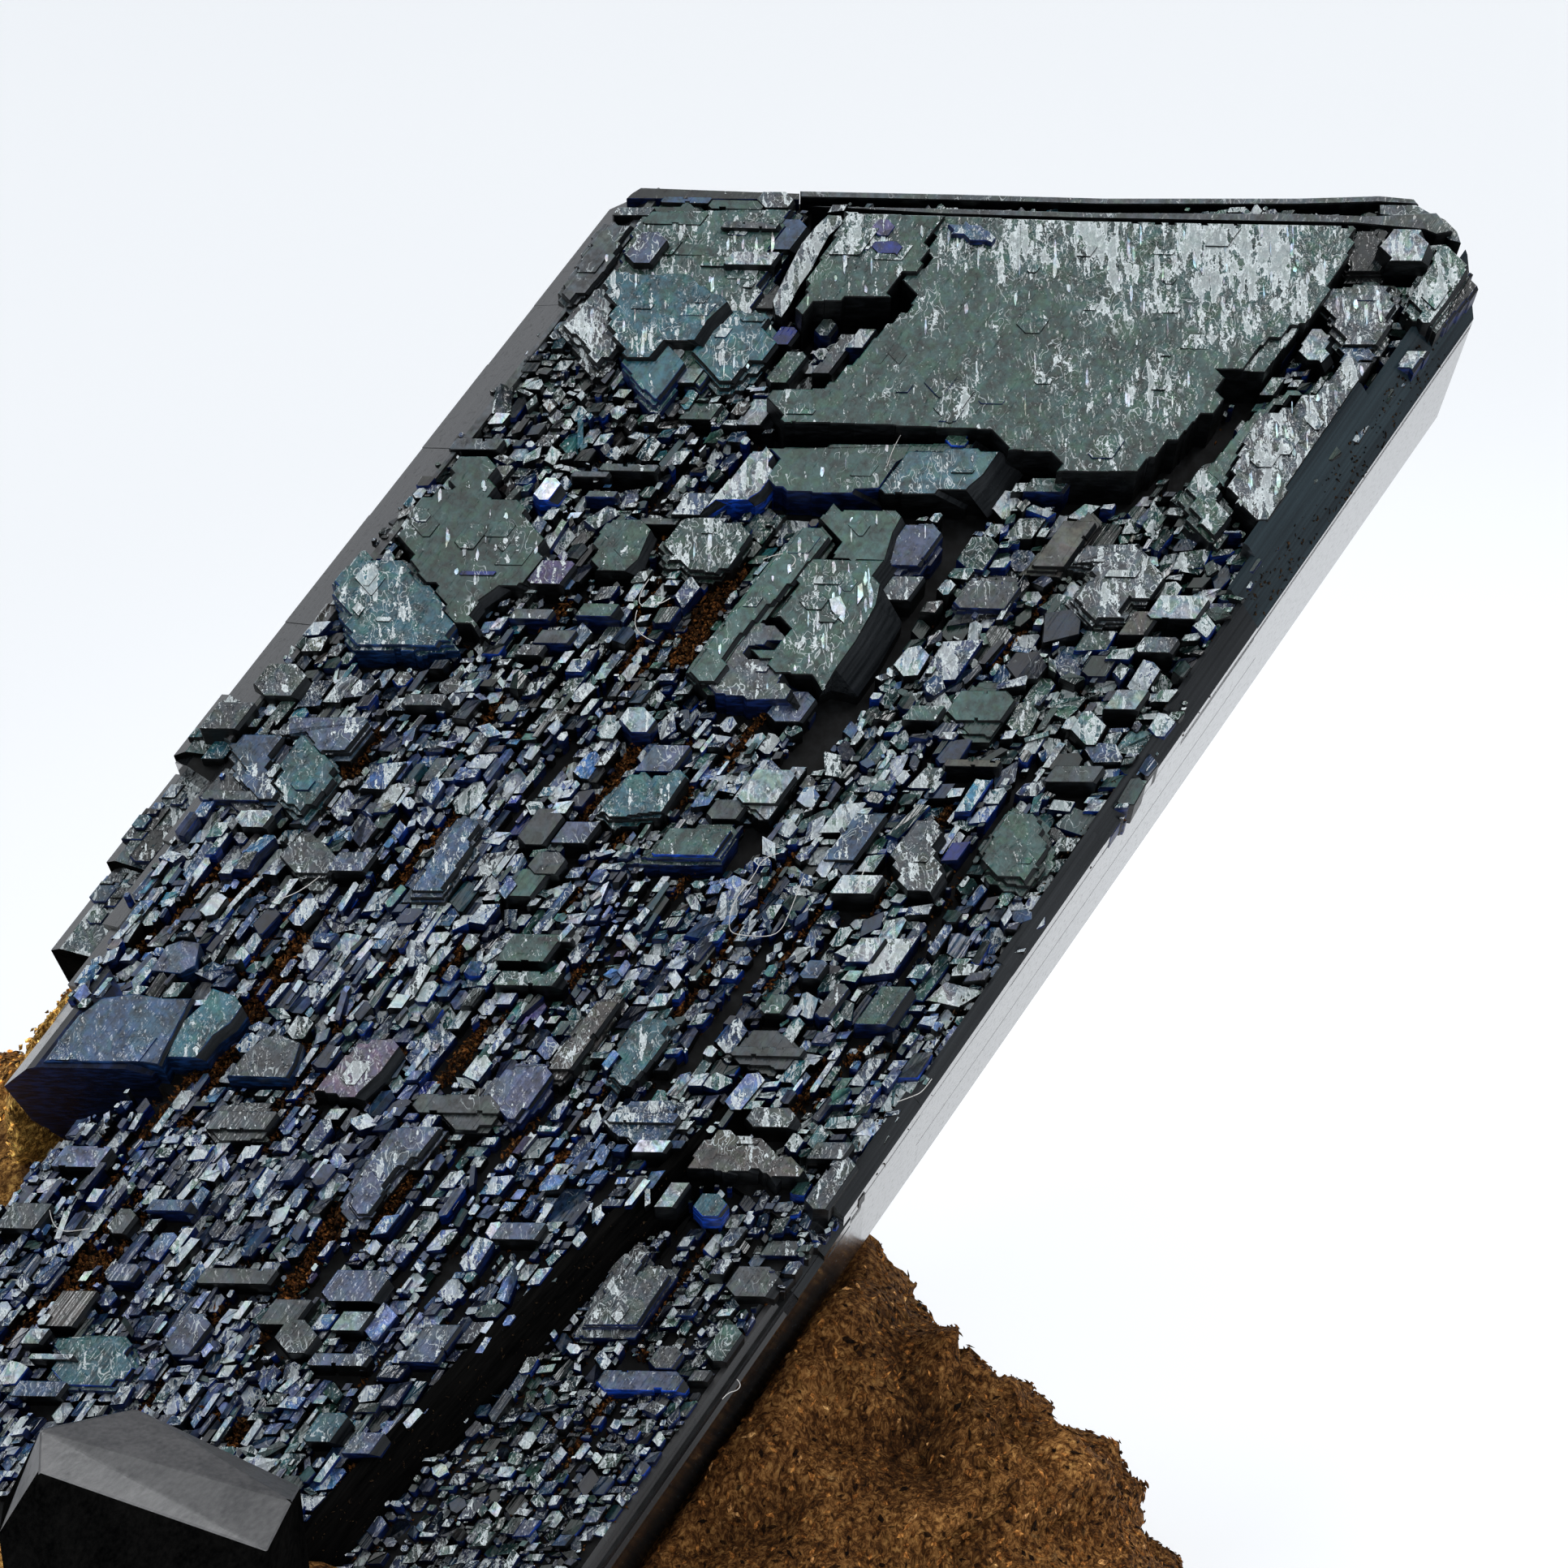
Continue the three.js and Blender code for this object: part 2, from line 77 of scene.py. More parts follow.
# ------------------------------------------------------------------ plates read off the specimen: [w, s] outlines in mm
# name, top level, base level, kind, share of whitish etching and painted highlight, outline
PLATES = [
    ('u_head', 0.3, -1.3, 'green', 0.55, [(-14.858, 13.642), (-11.007, 16.447), (-10.35, 14.325), (-9.506, 11.026), (-9.806, 9.493), (-10.301, 9.429), (-12.406, 9.023), (-13.946, 10.068), (-14.586, 12.11)]),
    ('m_plate', 1.45, -1.2, 'green', 0.3, [(-6.445, 18.583), (-2.704, 20.955), (0.924, 23.355), (4.573, 25.771), (5.21, 22.964), (4.501, 20.866), (4.392, 19.437), (3.69, 18.952), (4.448, 18.095), (4.019, 16.564), (3.236, 14.318), (1.444, 13.081), (0.928, 13.541), (-0.237, 12.839), (-0.995, 13.101), (-1.888, 12.587), (-5.404, 10.398), (-6.589, 9.58), (-7.542, 10.33), (-6.513, 11.11), (-6.216, 11.591), (-5.91, 13.257), (-5.708, 14.44), (-5.532, 15.016), (-6.304, 15.885), (-5.946, 16.661), (-6.335, 17.806)]),
    ('m_upper_left', 1.7, -1.2, 'green', 0.35, [(-9.169, 16.754), (-6.381, 18.468), (-6.396, 17.784), (-6.007, 16.641), (-6.402, 16.016), (-6.202, 15.067), (-7.014, 14.506), (-7.877, 13.7), (-8.151, 12.952), (-8.494, 12.994), (-8.863, 14.914)]),
    ('m_right_low', 1.25, -1.2, 'green', 0.45, [(3.656, 19.045), (4.36, 19.531), (4.469, 20.962), (4.851, 22.065), (5.065, 21.234), (4.747, 19.694)]),
    ('m_lens', 1.75, 1.4, 'blue', 0.1, [(-6.142, 18.247), (-5.734, 18.671), (-4.938, 18.795), (-4.596, 18.466), (-5.239, 18.163), (-5.862, 18.015)]),
    ('m_navy', 1.78, 1.4, 'navy', 0, [(-7.726, 16.39), (-7.254, 16.717), (-6.867, 16.702), (-6.855, 16.357), (-7.396, 16.089)]),
    ('m_purple', 1.78, 1.4, 'purple', 0.1, [(-8.09, 17.023), (-7.822, 17.279), (-7.486, 16.874), (-7.754, 16.618)]),
    ('m_notch', 0.9, -1.0, 'green', 0.5, [(-2.184, 12.38), (-2.332, 13.068), (-1.549, 12.543), (-1.911, 12.156)]),
    ('thin_strip', 0.95, -1.2, 'grey', 0.9, [(-9.137, 12.79), (-9.464, 13.126), (-9.691, 14.381), (-9.841, 15.341), (-9.804, 16.079), (-9.711, 16.643), (-9.348, 16.858), (-9.135, 16.684), (-9.255, 16.066), (-9.168, 15.38), (-9.05, 14.788), (-9.044, 14.085), (-8.914, 13.295), (-8.9, 12.813)]),
    ('thin_top', 0.8, -0.8, 'grey', 0.5, [(-9.82, 16.806), (-9.855, 17.14), (-9.443, 17.425), (-9.419, 17.154)]),
    ('u_small_a', 0.5, -1.0, 'grey', 0.4, [(-7.943, 13.04), (-7.607, 13.94), (-7.338, 13.915), (-7.577, 13.152)]),
    ('u_small_b', 0.6, -1.0, 'grey', 0.3, [(-6.923, 11.868), (-7.033, 12.629), (-7.069, 13.795), (-6.735, 13.815), (-6.604, 12.647), (-6.709, 11.877)]),
    ('u_small_c', 0.8, -1.0, 'white', 0.8, [(-6.645, 13.165), (-6.449, 14.175), (-6.17, 14.228), (-6.201, 13.437), (-6.495, 13.129)]),
    ('u_small_d', 0.7, -1.0, 'green', 0.5, [(-7.987, 10.798), (-8.142, 11.666), (-7.882, 12.299), (-7.575, 12.127), (-7.491, 11.315), (-7.644, 10.758)]),
    ('u_small_e', 0.4, -1.0, 'navy', 0.2, [(-8.65, 12.085), (-8.875, 12.736), (-8.628, 12.977), (-8.367, 12.736), (-8.299, 12.082)]),
    ('end_a', 0.05, -1.2, 'grey', 0.2, [(-11.091, 17.09), (-11.225, 17.286), (-6.917, 20.119), (-2.9, 22.716), (2.35, 26.344), (4.492, 27.933), (5.473, 28.467), (5.714, 28.38), (4.617, 27.73), (2.476, 26.143), (-2.77, 22.516), (-6.786, 19.921)]),
    ('end_b', 0.55, -1.2, 'grey', 0.15, [(-10.458, 16.811), (-6.495, 19.443), (-2.499, 22.025), (2.737, 25.608), (4.742, 26.886), (6.421, 28.191), (7.21, 27.911), (6.837, 27.51), (6.418, 27.436), (4.403, 26.329), (-2.952, 21.461), (-6.706, 19.045), (-9.495, 17.369)]),
    ('end_corner', 0.2, -1.2, 'grey', 0.3, [(4.687, 27.575), (5.67, 28.254), (6.197, 28.258), (6.713, 28.327), (7.271, 28.173), (7.61, 27.87), (7.222, 27.745), (6.605, 27.893), (5.809, 27.774), (4.874, 27.272)]),
    ('tip_round', 1.55, -1.1, 'white', 0.9, [(5.698, 25.564), (5.736, 26.051), (6.051, 26.587), (6.512, 26.835), (6.95, 26.571), (7.091, 25.89), (6.231, 25.296)]),
    ('tip_green', 1.0, -1.1, 'green', 0.8, [(7.589, 24.738), (7.364, 25.605), (7.317, 26.386), (7.222, 26.995), (7.711, 27.049), (8.362, 26.683), (8.399, 26.32), (8.419, 25.382), (8.381, 24.442), (7.968, 24.368)]),
    ('tip_q', 0.95, -1.1, 'grey', 0.7, [(5.167, 23.306), (5.14, 23.745), (5.623, 24.256), (6.602, 24.861), (7.102, 24.397), (7.331, 23.677), (7.344, 22.811), (6.487, 22.219), (5.623, 22.918)]),
    ('tip_q2', 0.8, -1.1, 'blue', 0.5, [(6.361, 22.115), (7.247, 22.762), (7.593, 22.547), (7.194, 21.957), (6.677, 21.705)]),
    ('tip_rough', 0.6, -1.0, 'dark', 0.3, [(4.827, 24.984), (4.731, 25.988), (5.215, 26.608), (5.527, 26.002), (6.006, 25.727), (6.017, 25.308), (5.151, 24.71)]),
    ('tip_mid', 0.3, -1.0, 'green', 0.4, [(6.707, 25.223), (7.19, 25.593), (7.49, 25.304), (7.379, 24.731), (7.047, 24.82)]),
    ('tip_small', 0.7, -1.1, 'white', 0.6, [(5.393, 21.575), (5.329, 22.021), (5.566, 22.43), (5.953, 22.452), (6.275, 21.834), (6.221, 21.379), (5.796, 21.224)]),
    ('tip_bit_a', 0.2, -1.0, 'white', 0.7, [(8.063, 23.046), (8.276, 23.649), (8.729, 23.962), (8.778, 23.68), (8.681, 23.088), (8.248, 22.894)]),
    ('tip_bit_b', 0.1, -1.0, 'grey', 0.7, [(7.608, 22.965), (7.717, 23.286), (8.022, 23.041), (7.934, 22.734)]),
    ('tip_bit_c', 0.1, -1.1, 'grey', 0.6, [(7.984, 24.104), (8.072, 24.412), (8.25, 24.323), (8.14, 24.0)]),
    ('tip_edge', 0.25, -1.2, 'dark', 0.3, [(8.206, 26.467), (8.427, 27.118), (8.844, 26.837), (8.778, 26.082), (8.649, 24.932), (8.415, 24.912)]),
    ('groove_bit', 0.2, -1.0, 'white', 0.8, [(5.089, 19.525), (5.084, 19.974), (5.33, 20.563), (5.492, 20.501), (5.396, 19.771), (5.227, 19.55)]),
    ('groove_bit2', 0.3, -1.0, 'white', 0.6, [(5.783, 20.26), (5.707, 20.626), (5.879, 20.745), (6.006, 20.345)]),
    ('groove_strip', 0.2, -1.0, 'dark', 0.1, [(4.5, 20.41), (4.886, 22.257), (5.068, 22.559), (5.086, 21.937), (4.746, 20.51)]),
    ('e_plate', 0.95, -1.3, 'grey', 0.85, [(5.758, 18.834), (6.342, 19.998), (6.792, 21.384), (6.993, 22.045), (7.597, 22.253), (7.565, 21.12), (7.599, 19.693), (7.602, 18.322), (7.627, 16.974), (7.761, 15.844), (7.455, 15.464), (6.593, 15.581), (6.083, 15.907), (5.636, 17.478)]),
    ('e_left', 0.7, -1.3, 'green', 0.15, [(5.211, 15.986), (5.31, 17.563), (5.422, 18.743), (6.108, 20.187), (6.327, 20.13), (5.751, 18.901), (5.65, 17.557), (5.961, 15.957), (5.484, 16.037)]),
    ('j1', 0.75, -1.1, 'green', 0.8, [(5.024, 15.216), (4.991, 15.841), (5.249, 16.156), (5.778, 15.804), (6.664, 14.887), (6.628, 14.322), (5.982, 14.383), (5.456, 14.731)]),
    ('j_bit', 0.4, -1.1, 'white', 0.7, [(6.722, 14.771), (6.786, 15.053), (7.166, 15.078), (7.131, 14.749)]),
    ('h_corner', 0.35, -1.0, 'grey', 0.55, [(-15.663, 13.089), (-15.341, 13.779), (-14.968, 13.893), (-14.693, 13.364), (-15.017, 12.998)]),
    ('h_a', 0.35, -1.0, 'green', 0.15, [(-14.67, 13.883), (-13.892, 14.709), (-13.254, 14.719), (-13.148, 14.289), (-13.274, 13.916), (-13.763, 13.327), (-14.27, 13.406)]),
    ('h_b', 0.3, -1.0, 'green', 0.15, [(-13.214, 13.737), (-12.517, 14.399), (-11.934, 14.3), (-11.56, 13.667), (-12.141, 12.981), (-12.717, 13.117)]),
    ('h_c', 0.55, -1.0, 'grey', 0.4, [(-12.423, 14.915), (-11.954, 15.49), (-11.282, 15.632), (-10.986, 15.156), (-11.69, 14.598)]),
    ('h_d', 0.75, -1.0, 'white', 0.75, [(-11.281, 13.547), (-11.541, 14.291), (-11.115, 14.692), (-10.452, 14.332), (-10.305, 13.796), (-10.644, 13.456)]),
    ('h_e', 0.25, -1.0, 'blue', 0.1, [(-11.238, 15.709), (-10.631, 16.415), (-10.168, 15.552), (-10.27, 14.767), (-10.873, 14.993)]),
    ('h_blue', 0.75, -1.0, 'lav', 0.3, [(-14.43, 12.187), (-14.215, 12.978), (-13.951, 13.196), (-13.58, 12.668), (-13.498, 12.05), (-14.016, 11.692)]),
    ('h_big', 1.0, -1.2, 'teal', 0.55, [(-14.288, 11.137), (-13.834, 11.31), (-13.246, 11.61), (-12.263, 12.395), (-11.68, 12.199), (-10.597, 12.242), (-10.755, 11.327), (-10.692, 10.6), (-11.499, 9.939), (-11.537, 9.18), (-12.135, 8.767), (-12.947, 9.287)]),
    ('h_big_low', 0.75, -1.2, 'teal', 0.25, [(-12.369, 8.995), (-11.611, 9.275), (-11.421, 10.0), (-10.631, 9.778), (-10.569, 9.055), (-10.661, 8.194), (-11.162, 8.23), (-11.74, 8.42)]),
    ('h_left', 0.65, -1.2, 'grey', 0.8, [(-14.561, 8.835), (-14.45, 9.58), (-14.303, 10.458), (-14.186, 10.927), (-13.179, 9.685), (-12.728, 8.596), (-12.916, 8.187), (-13.577, 8.533), (-14.181, 8.572)]),
    ('h_purple', 0.6, -1.2, 'teal', 0.35, [(-10.656, 10.721), (-10.735, 11.473), (-10.418, 12.255), (-9.286, 12.685), (-8.677, 12.123), (-8.591, 11.309), (-8.998, 10.296), (-9.339, 9.921), (-10.051, 10.126)]),
    ('h_fan', 0.1, -1.0, 'dark', 0.2, [(-10.584, 12.581), (-10.634, 13.718), (-9.901, 14.046), (-9.122, 13.097), (-9.315, 12.822)]),
    ('h_bit_a', 0.35, -1.0, 'white', 0.5, [(-10.468, 9.215), (-10.591, 9.618), (-10.289, 10.142), (-10.012, 10.018), (-10.212, 9.531), (-10.338, 9.166)]),
    ('h_bit_b', 0.1, -1.0, 'green', 0.4, [(-9.789, 8.645), (-9.55, 9.122), (-9.095, 9.471), (-8.945, 8.707), (-9.323, 8.342)]),
    ('h_bit_c', 0.4, -1.0, 'white', 0.6, [(-8.112, 9.426), (-8.042, 10.237), (-7.662, 10.465), (-7.45, 9.883), (-7.485, 9.202), (-7.784, 9.134)]),
    ('h_top_a', 0.2, -1.0, 'blue', 0.2, [(-14.686, 14.545), (-13.673, 15.317), (-13.416, 15.134), (-13.939, 14.772), (-14.472, 14.332)]),
    ('h_top_b', 0.25, -1.0, 'green', 0.2, [(-13.294, 15.331), (-12.254, 16.157), (-11.861, 15.961), (-12.588, 15.242), (-12.97, 15.05)]),
    ('h_top_c', 0.3, -1.0, 'grey', 0.7, [(-12.159, 16.299), (-11.309, 16.887), (-11.106, 16.451), (-11.441, 16.003), (-11.913, 16.037)]),
    ('h_slope', 0.3, -1.0, 'grey', 0.1, [(-15.39, 10.061), (-15.667, 11.721), (-15.514, 12.829), (-14.994, 13.009), (-14.864, 12.275), (-14.724, 11.302), (-14.832, 10.092), (-15.008, 9.617)]),
    ('h1', 0.75, -1.1, 'white', 0.8, [(-7.144, 5.998), (-7.063, 7.278), (-7.014, 8.475), (-6.77, 8.849), (-6.441, 8.734), (-6.047, 7.98), (-6.046, 7.436), (-6.189, 7.099), (-7.029, 6.417)]),
    ('h2', 0.75, -1.1, 'green', 0.2, [(-6.616, 8.852), (-4.461, 10.547), (-1.411, 12.722), (-1.262, 12.31), (-2.726, 11.436), (-3.036, 10.742), (-3.0, 9.675), (-3.471, 9.316), (-3.604, 9.054), (-4.407, 8.499), (-5.475, 7.966), (-5.74, 7.851), (-6.164, 8.241)]),
    ('h3', 0.85, -1.1, 'rain', 0.3, [(-2.956, 9.652), (-3.005, 10.368), (-2.939, 10.823), (-2.661, 11.426), (-2.008, 11.98), (-1.174, 12.59), (-0.539, 12.891), (-0.513, 11.918), (-0.661, 11.305), (-1.452, 10.452), (-2.72, 9.577)]),
    ('h4', 0.8, -1.1, 'green', 0.1, [(-3.944, 7.91), (-3.89, 8.422), (-3.479, 8.366), (-2.265, 9.272), (-1.866, 9.277), (-1.787, 8.655), (-1.471, 7.728), (-2.265, 7.079), (-2.847, 6.845), (-3.493, 7.612)]),
    ('mid', 0.8, -1.2, 'green', 0.35, [(-3.394, 6.468), (-2.312, 7.148), (-1.471, 7.728), (-1.113, 6.969), (-0.833, 6.328), (-0.666, 4.948), (-0.653, 3.801), (-0.605, 3.012), (-1.098, 3.198), (-2.152, 2.635), (-2.518, 2.943), (-3.224, 2.852), (-2.602, 3.513), (-2.567, 4.133), (-3.217, 4.183), (-3.187, 5.037)]),
    ('mid_left', 0.85, -1.2, 'green', 0.3, [(-4.34, 1.135), (-4.389, 2.355), (-4.407, 3.67), (-4.376, 5.194), (-4.214, 6.987), (-3.724, 7.495), (-3.326, 7.365), (-3.351, 6.405), (-3.408, 5.36), (-3.543, 4.433), (-3.651, 3.693), (-3.784, 2.772), (-3.756, 2.065), (-3.52, 1.371), (-3.822, 1.098)]),
    ('mid_low', 0.65, -1.2, 'grey', 0.5, [(-3.555, 1.507), (-3.76, 2.157), (-3.81, 2.851), (-3.65, 3.692), (-2.955, 3.938), (-2.556, 3.716), (-3.215, 3.062), (-3.373, 2.755), (-3.135, 2.589), (-2.592, 2.963), (-1.923, 2.436), (-1.446, 2.501), (-1.408, 2.134), (-2.406, 1.445), (-3.319, 1.078), (-3.837, 1.115)]),
    ('mid_glint', 0.87, 0.7, 'bright', 1, [(-2.161, 5.61), (-1.93, 5.903), (-1.568, 5.686), (-1.302, 5.205), (-1.541, 5.239), (-1.883, 5.336)]),
    ('mid_glint2', 0.87, 0.7, 'bright', 1, [(-1.676, 6.479), (-1.611, 6.657), (-1.308, 6.299), (-1.306, 5.934)]),
    ('mid_right', 0.5, -1.1, 'lav', 0.3, [(-1.461, 7.82), (-1.662, 8.762), (-1.469, 9.302), (-1.05, 9.692), (-0.656, 9.287), (-0.565, 8.507), (-0.881, 7.784)]),
    ('mid_right2', 0.3, -1.1, 'grey', 0.5, [(-0.814, 6.689), (-1.047, 7.4), (-0.711, 8.002), (-0.224, 8.103), (-0.326, 7.428), (-0.431, 6.852)]),
    ('mid_foot', 0.1, -1.1, 'lav', 0.4, [(-1.963, 1.248), (-1.703, 1.986), (-1.169, 2.553), (-0.53, 3.191), (-0.536, 2.66), (-0.921, 1.967), (-1.439, 1.379)]),
    ('h5', 0.55, -1.1, 'green', 0.5, [(-7.591, 4.305), (-7.479, 5.397), (-6.771, 5.954), (-5.984, 6.26), (-5.498, 5.919), (-5.42, 5.13), (-5.693, 4.403), (-6.387, 4.058), (-6.83, 4.156), (-7.135, 3.878)]),
    ('h6', 0.55, -1.1, 'blue', 0.7, [(-7.929, 5.324), (-7.95, 6.296), (-7.617, 6.629), (-7.207, 6.265), (-7.274, 5.777)]),
    ('f1', 0.45, -1.2, 'green', 0.2, [(-13.868, -0.651), (-14.269, -0.321), (-14.678, -0.198), (-14.691, 0.471), (-14.837, 1.322), (-14.579, 1.841), (-14.188, 2.179), (-14.669, 3.147), (-13.968, 3.631), (-13.101, 2.521), (-12.198, 2.94), (-11.295, 2.476), (-10.436, 1.718), (-10.46, 0.962), (-11.034, 0.23), (-11.269, -0.535), (-10.81, -1.385), (-11.446, -1.591), (-12.027, -1.225), (-12.61, -0.858), (-12.99, -0.986), (-13.408, -0.804)]),
    ('f1_hole', 0.5, 0.3, 'navy', 0, [(-12.27, 0.157), (-11.766, 0.506), (-11.392, 0.293), (-11.409, 0.013), (-11.715, -0.131)]),
    ('f2', 0.55, -1.2, 'teal', 0.6, [(-15.37, -2.343), (-15.191, -1.211), (-14.825, -1.363), (-14.047, -0.826), (-13.575, -1.038), (-13.041, -1.205), (-12.538, -1.16), (-11.988, -1.481), (-11.39, -2.0), (-11.167, -2.178), (-12.035, -3.009), (-12.235, -3.081), (-13.487, -3.945), (-13.856, -3.702), (-14.228, -3.626), (-14.811, -3.096)]),
    ('f3', 0.4, -1.1, 'green', 0.3, [(-9.523, 3.522), (-9.358, 4.179), (-8.681, 4.646), (-8.208, 4.464), (-7.964, 3.45), (-8.078, 2.9), (-8.831, 2.414), (-9.187, 2.606)]),
    ('f4', 0.5, -1.1, 'purple', 0.6, [(-10.387, 1.39), (-10.331, 2.102), (-9.749, 2.167), (-9.515, 1.488), (-9.52, 0.881), (-9.939, 1.028)]),
    ('f5', 0.4, -1.1, 'green', 0.4, [(-8.489, 1.008), (-8.335, 1.716), (-7.861, 1.842), (-7.591, 1.327), (-7.867, 0.837)]),
    ('f6', 0.3, -1.1, 'grey', 0.2, [(-9.01, -0.636), (-9.078, -0.017), (-8.396, 0.387), (-8.204, -0.013), (-8.416, -0.591)]),
    ('f7', 0.35, -1.1, 'grey', 0.3, [(-11.394, 4.64), (-11.322, 5.341), (-10.734, 5.405), (-10.469, 5.21), (-10.94, 4.714)]),
    ('f8', 0.4, -1.1, 'grey', 0.4, [(-10.753, 5.57), (-10.475, 6.071), (-9.617, 6.423), (-9.311, 6.257), (-9.484, 5.83), (-9.969, 5.802), (-10.51, 5.36)]),
    ('f9', 0.35, -1.1, 'grey', 0.2, [(-10.604, 4.331), (-10.508, 4.774), (-10.131, 5.0), (-9.867, 4.806), (-10.178, 4.353)]),
    ('f10', 0.5, -1.1, 'bright', 0.8, [(-12.001, 3.287), (-11.917, 3.788), (-11.751, 4.176), (-11.506, 4.277), (-11.428, 3.99), (-11.574, 3.31)]),
    ('f11', 0.2, -1.1, 'grey', 0.4, [(-9.366, -0.367), (-10.21, 0.153), (-9.733, 0.582), (-9.234, 0.325)]),
    ('f12', 0.35, -1.1, 'grey', 0.6, [(-9.287, -1.116), (-9.212, -0.567), (-8.739, -0.572), (-8.7, -0.976), (-8.991, -1.31)]),
    ('f13', 0.2, -1.1, 'grey', 0.3, [(-15.182, 3.515), (-15.146, 4.127), (-14.579, 4.449), (-13.945, 4.369), (-14.08, 3.759), (-14.761, 3.289)]),
    ('f14', 0.45, -1.1, 'grey', 0.5, [(-11.092, -4.652), (-11.223, -4.217), (-10.515, -3.729), (-10.189, -3.833), (-10.404, -4.309)]),
    ('f15', 0.3, -1.1, 'grey', 0.2, [(-8.708, 4.68), (-7.926, 5.356), (-7.724, 5.291), (-8.039, 4.531)]),
    ('g1', 0.55, -1.2, 'grey', 0.6, [(-15.401, -8.881), (-15.861, -8.774), (-15.63, -7.829), (-15.345, -7.37), (-14.966, -7.371), (-14.994, -8.045), (-15.146, -8.802)]),
    ('g2', 0.45, -1.1, 'lav', 0.35, [(-13.818, -7.744), (-13.701, -6.977), (-12.912, -6.432), (-11.916, -5.745), (-11.705, -5.861), (-11.737, -6.96), (-12.31, -7.453), (-12.989, -7.172), (-13.588, -7.422)]),
    ('g3', 0.4, -1.1, 'blue', 0.3, [(-14.65, -8.947), (-14.456, -8.161), (-13.73, -7.661), (-13.615, -8.233), (-13.316, -8.84), (-12.653, -9.514), (-12.859, -9.657), (-13.879, -9.552)]),
    ('g4', 0.45, -1.1, 'teal', 0.4, [(-13.071, -8.53), (-13.155, -7.286), (-12.174, -7.424), (-11.687, -7.575), (-11.457, -8.388), (-11.678, -9.347), (-12.432, -9.383)]),
    ('g5', 0.25, -1.1, 'grey', 0.4, [(-14.511, -10.408), (-14.397, -9.52), (-13.168, -9.482), (-12.681, -9.631), (-12.768, -10.014), (-13.547, -10.229)]),
    ('g6', 0.6, -1.1, 'white', 0.7, [(-12.996, -10.64), (-13.002, -10.259), (-12.488, -9.905), (-12.274, -9.982), (-12.334, -10.441), (-12.754, -10.795)]),
    ('g7', 0.35, -1.1, 'grey', 0.8, [(-15.366, -6.963), (-15.526, -6.414), (-15.208, -5.699), (-14.563, -5.419), (-14.156, -5.964), (-14.459, -6.403), (-15.125, -6.863)]),
    ('block1', 1.0, -1.3, 'blue', 0.2, [(-13.089, -20.207), (-13.128, -19.127), (-13.11, -18.436), (-12.879, -17.657), (-12.166, -16.98), (-11.367, -16.615), (-10.641, -16.115), (-10.285, -18.029), (-10.201, -18.34), (-10.628, -18.542)]),
    ('block1_tri', 1.06, 0.9, 'blue', 0.7, [(-12.981, -20.092), (-13.125, -19.393), (-12.26, -19.595)]),
    ('block2', 0.85, -1.3, 'teal', 0.45, [(-10.177, -17.965), (-10.472, -16.935), (-10.284, -15.97), (-10.346, -15.484), (-9.626, -15.298), (-9.279, -15.432), (-9.254, -16.034), (-9.451, -16.664), (-9.458, -17.501)]),
    ('block3', 0.65, -1.2, 'grey', 0.45, [(-8.378, -17.394), (-8.373, -16.592), (-8.206, -15.798), (-7.849, -15.459), (-7.192, -15.315), (-6.973, -15.935), (-6.901, -16.438)]),
    ('block4', 0.75, -1.2, 'lav', 0.4, [(-12.255, -16.078), (-12.356, -15.177), (-12.06, -14.753), (-11.571, -14.542), (-11.255, -15.201), (-11.463, -15.657)]),
    ('rainbow', 0.2, -1.2, 'rain2', 0.4, [(-11.108, -22.486), (-11.158, -21.791), (-10.951, -21.344), (-10.357, -21.118), (-10.036, -21.414), (-10.127, -21.932), (-10.767, -22.372)]),
    ('k1', 0.6, -1.1, 'grey', 0.6, [(4.114, -0.186), (4.037, 0.465), (4.154, 1.187), (4.395, 1.546), (4.836, 1.336), (5.225, 0.484), (5.786, -0.085), (5.814, -0.574), (5.197, -0.904), (4.742, -0.582)]),
    ('k2', 0.5, -1.1, 'green', 0.35, [(6.481, 1.487), (6.335, 2.251), (6.465, 3.145), (7.229, 3.35), (7.89, 2.843), (8.117, 2.041), (7.958, 1.421), (7.42, 1.241), (6.795, 1.193)]),
    ('k3', 0.4, -1.1, 'brown', 0.1, [(3.906, 3.333), (3.822, 3.958), (4.436, 4.219), (4.999, 4.281), (5.167, 3.845), (4.785, 3.419), (4.353, 3.251)]),
    ('k4', 0.45, -1.1, 'green', 0.2, [(2.004, 3.859), (1.93, 4.332), (2.298, 4.783), (2.743, 4.663), (2.656, 4.111), (2.321, 3.749)]),
    ('k5', 0.45, -1.1, 'blue', 0.3, [(2.718, -1.407), (2.49, -0.54), (2.53, 0.291), (3.134, 0.74), (3.247, -0.499), (3.235, -1.37)]),
    ('k6', 0.3, -1.1, 'green', 0.15, [(2.908, 5.339), (3.1, 5.966), (3.844, 6.314), (4.384, 5.864), (4.381, 5.042), (3.781, 4.759)]),
    ('k7', 0.55, -1.1, 'white', 0.8, [(5.049, -3.605), (4.867, -2.63), (5.19, -2.534), (5.506, -3.134), (5.464, -3.821)]),
    ('k8', 0.7, -1.1, 'white', 0.9, [(3.403, -2.244), (3.288, -1.943), (3.819, -1.354), (4.336, -0.966), (4.348, -1.339), (4.185, -1.895), (3.613, -2.289)]),
    ('k9', 0.35, -1.1, 'grey', 0.25, [(6.675, 5.037), (6.777, 5.433), (7.503, 5.933), (7.899, 5.556), (7.821, 4.984), (7.248, 4.621)]),
    ('k10', 0.45, -1.1, 'white', 0.6, [(6.903, 7.632), (6.984, 8.345), (7.212, 8.832), (7.633, 8.694), (7.695, 8.178), (7.479, 7.766)]),
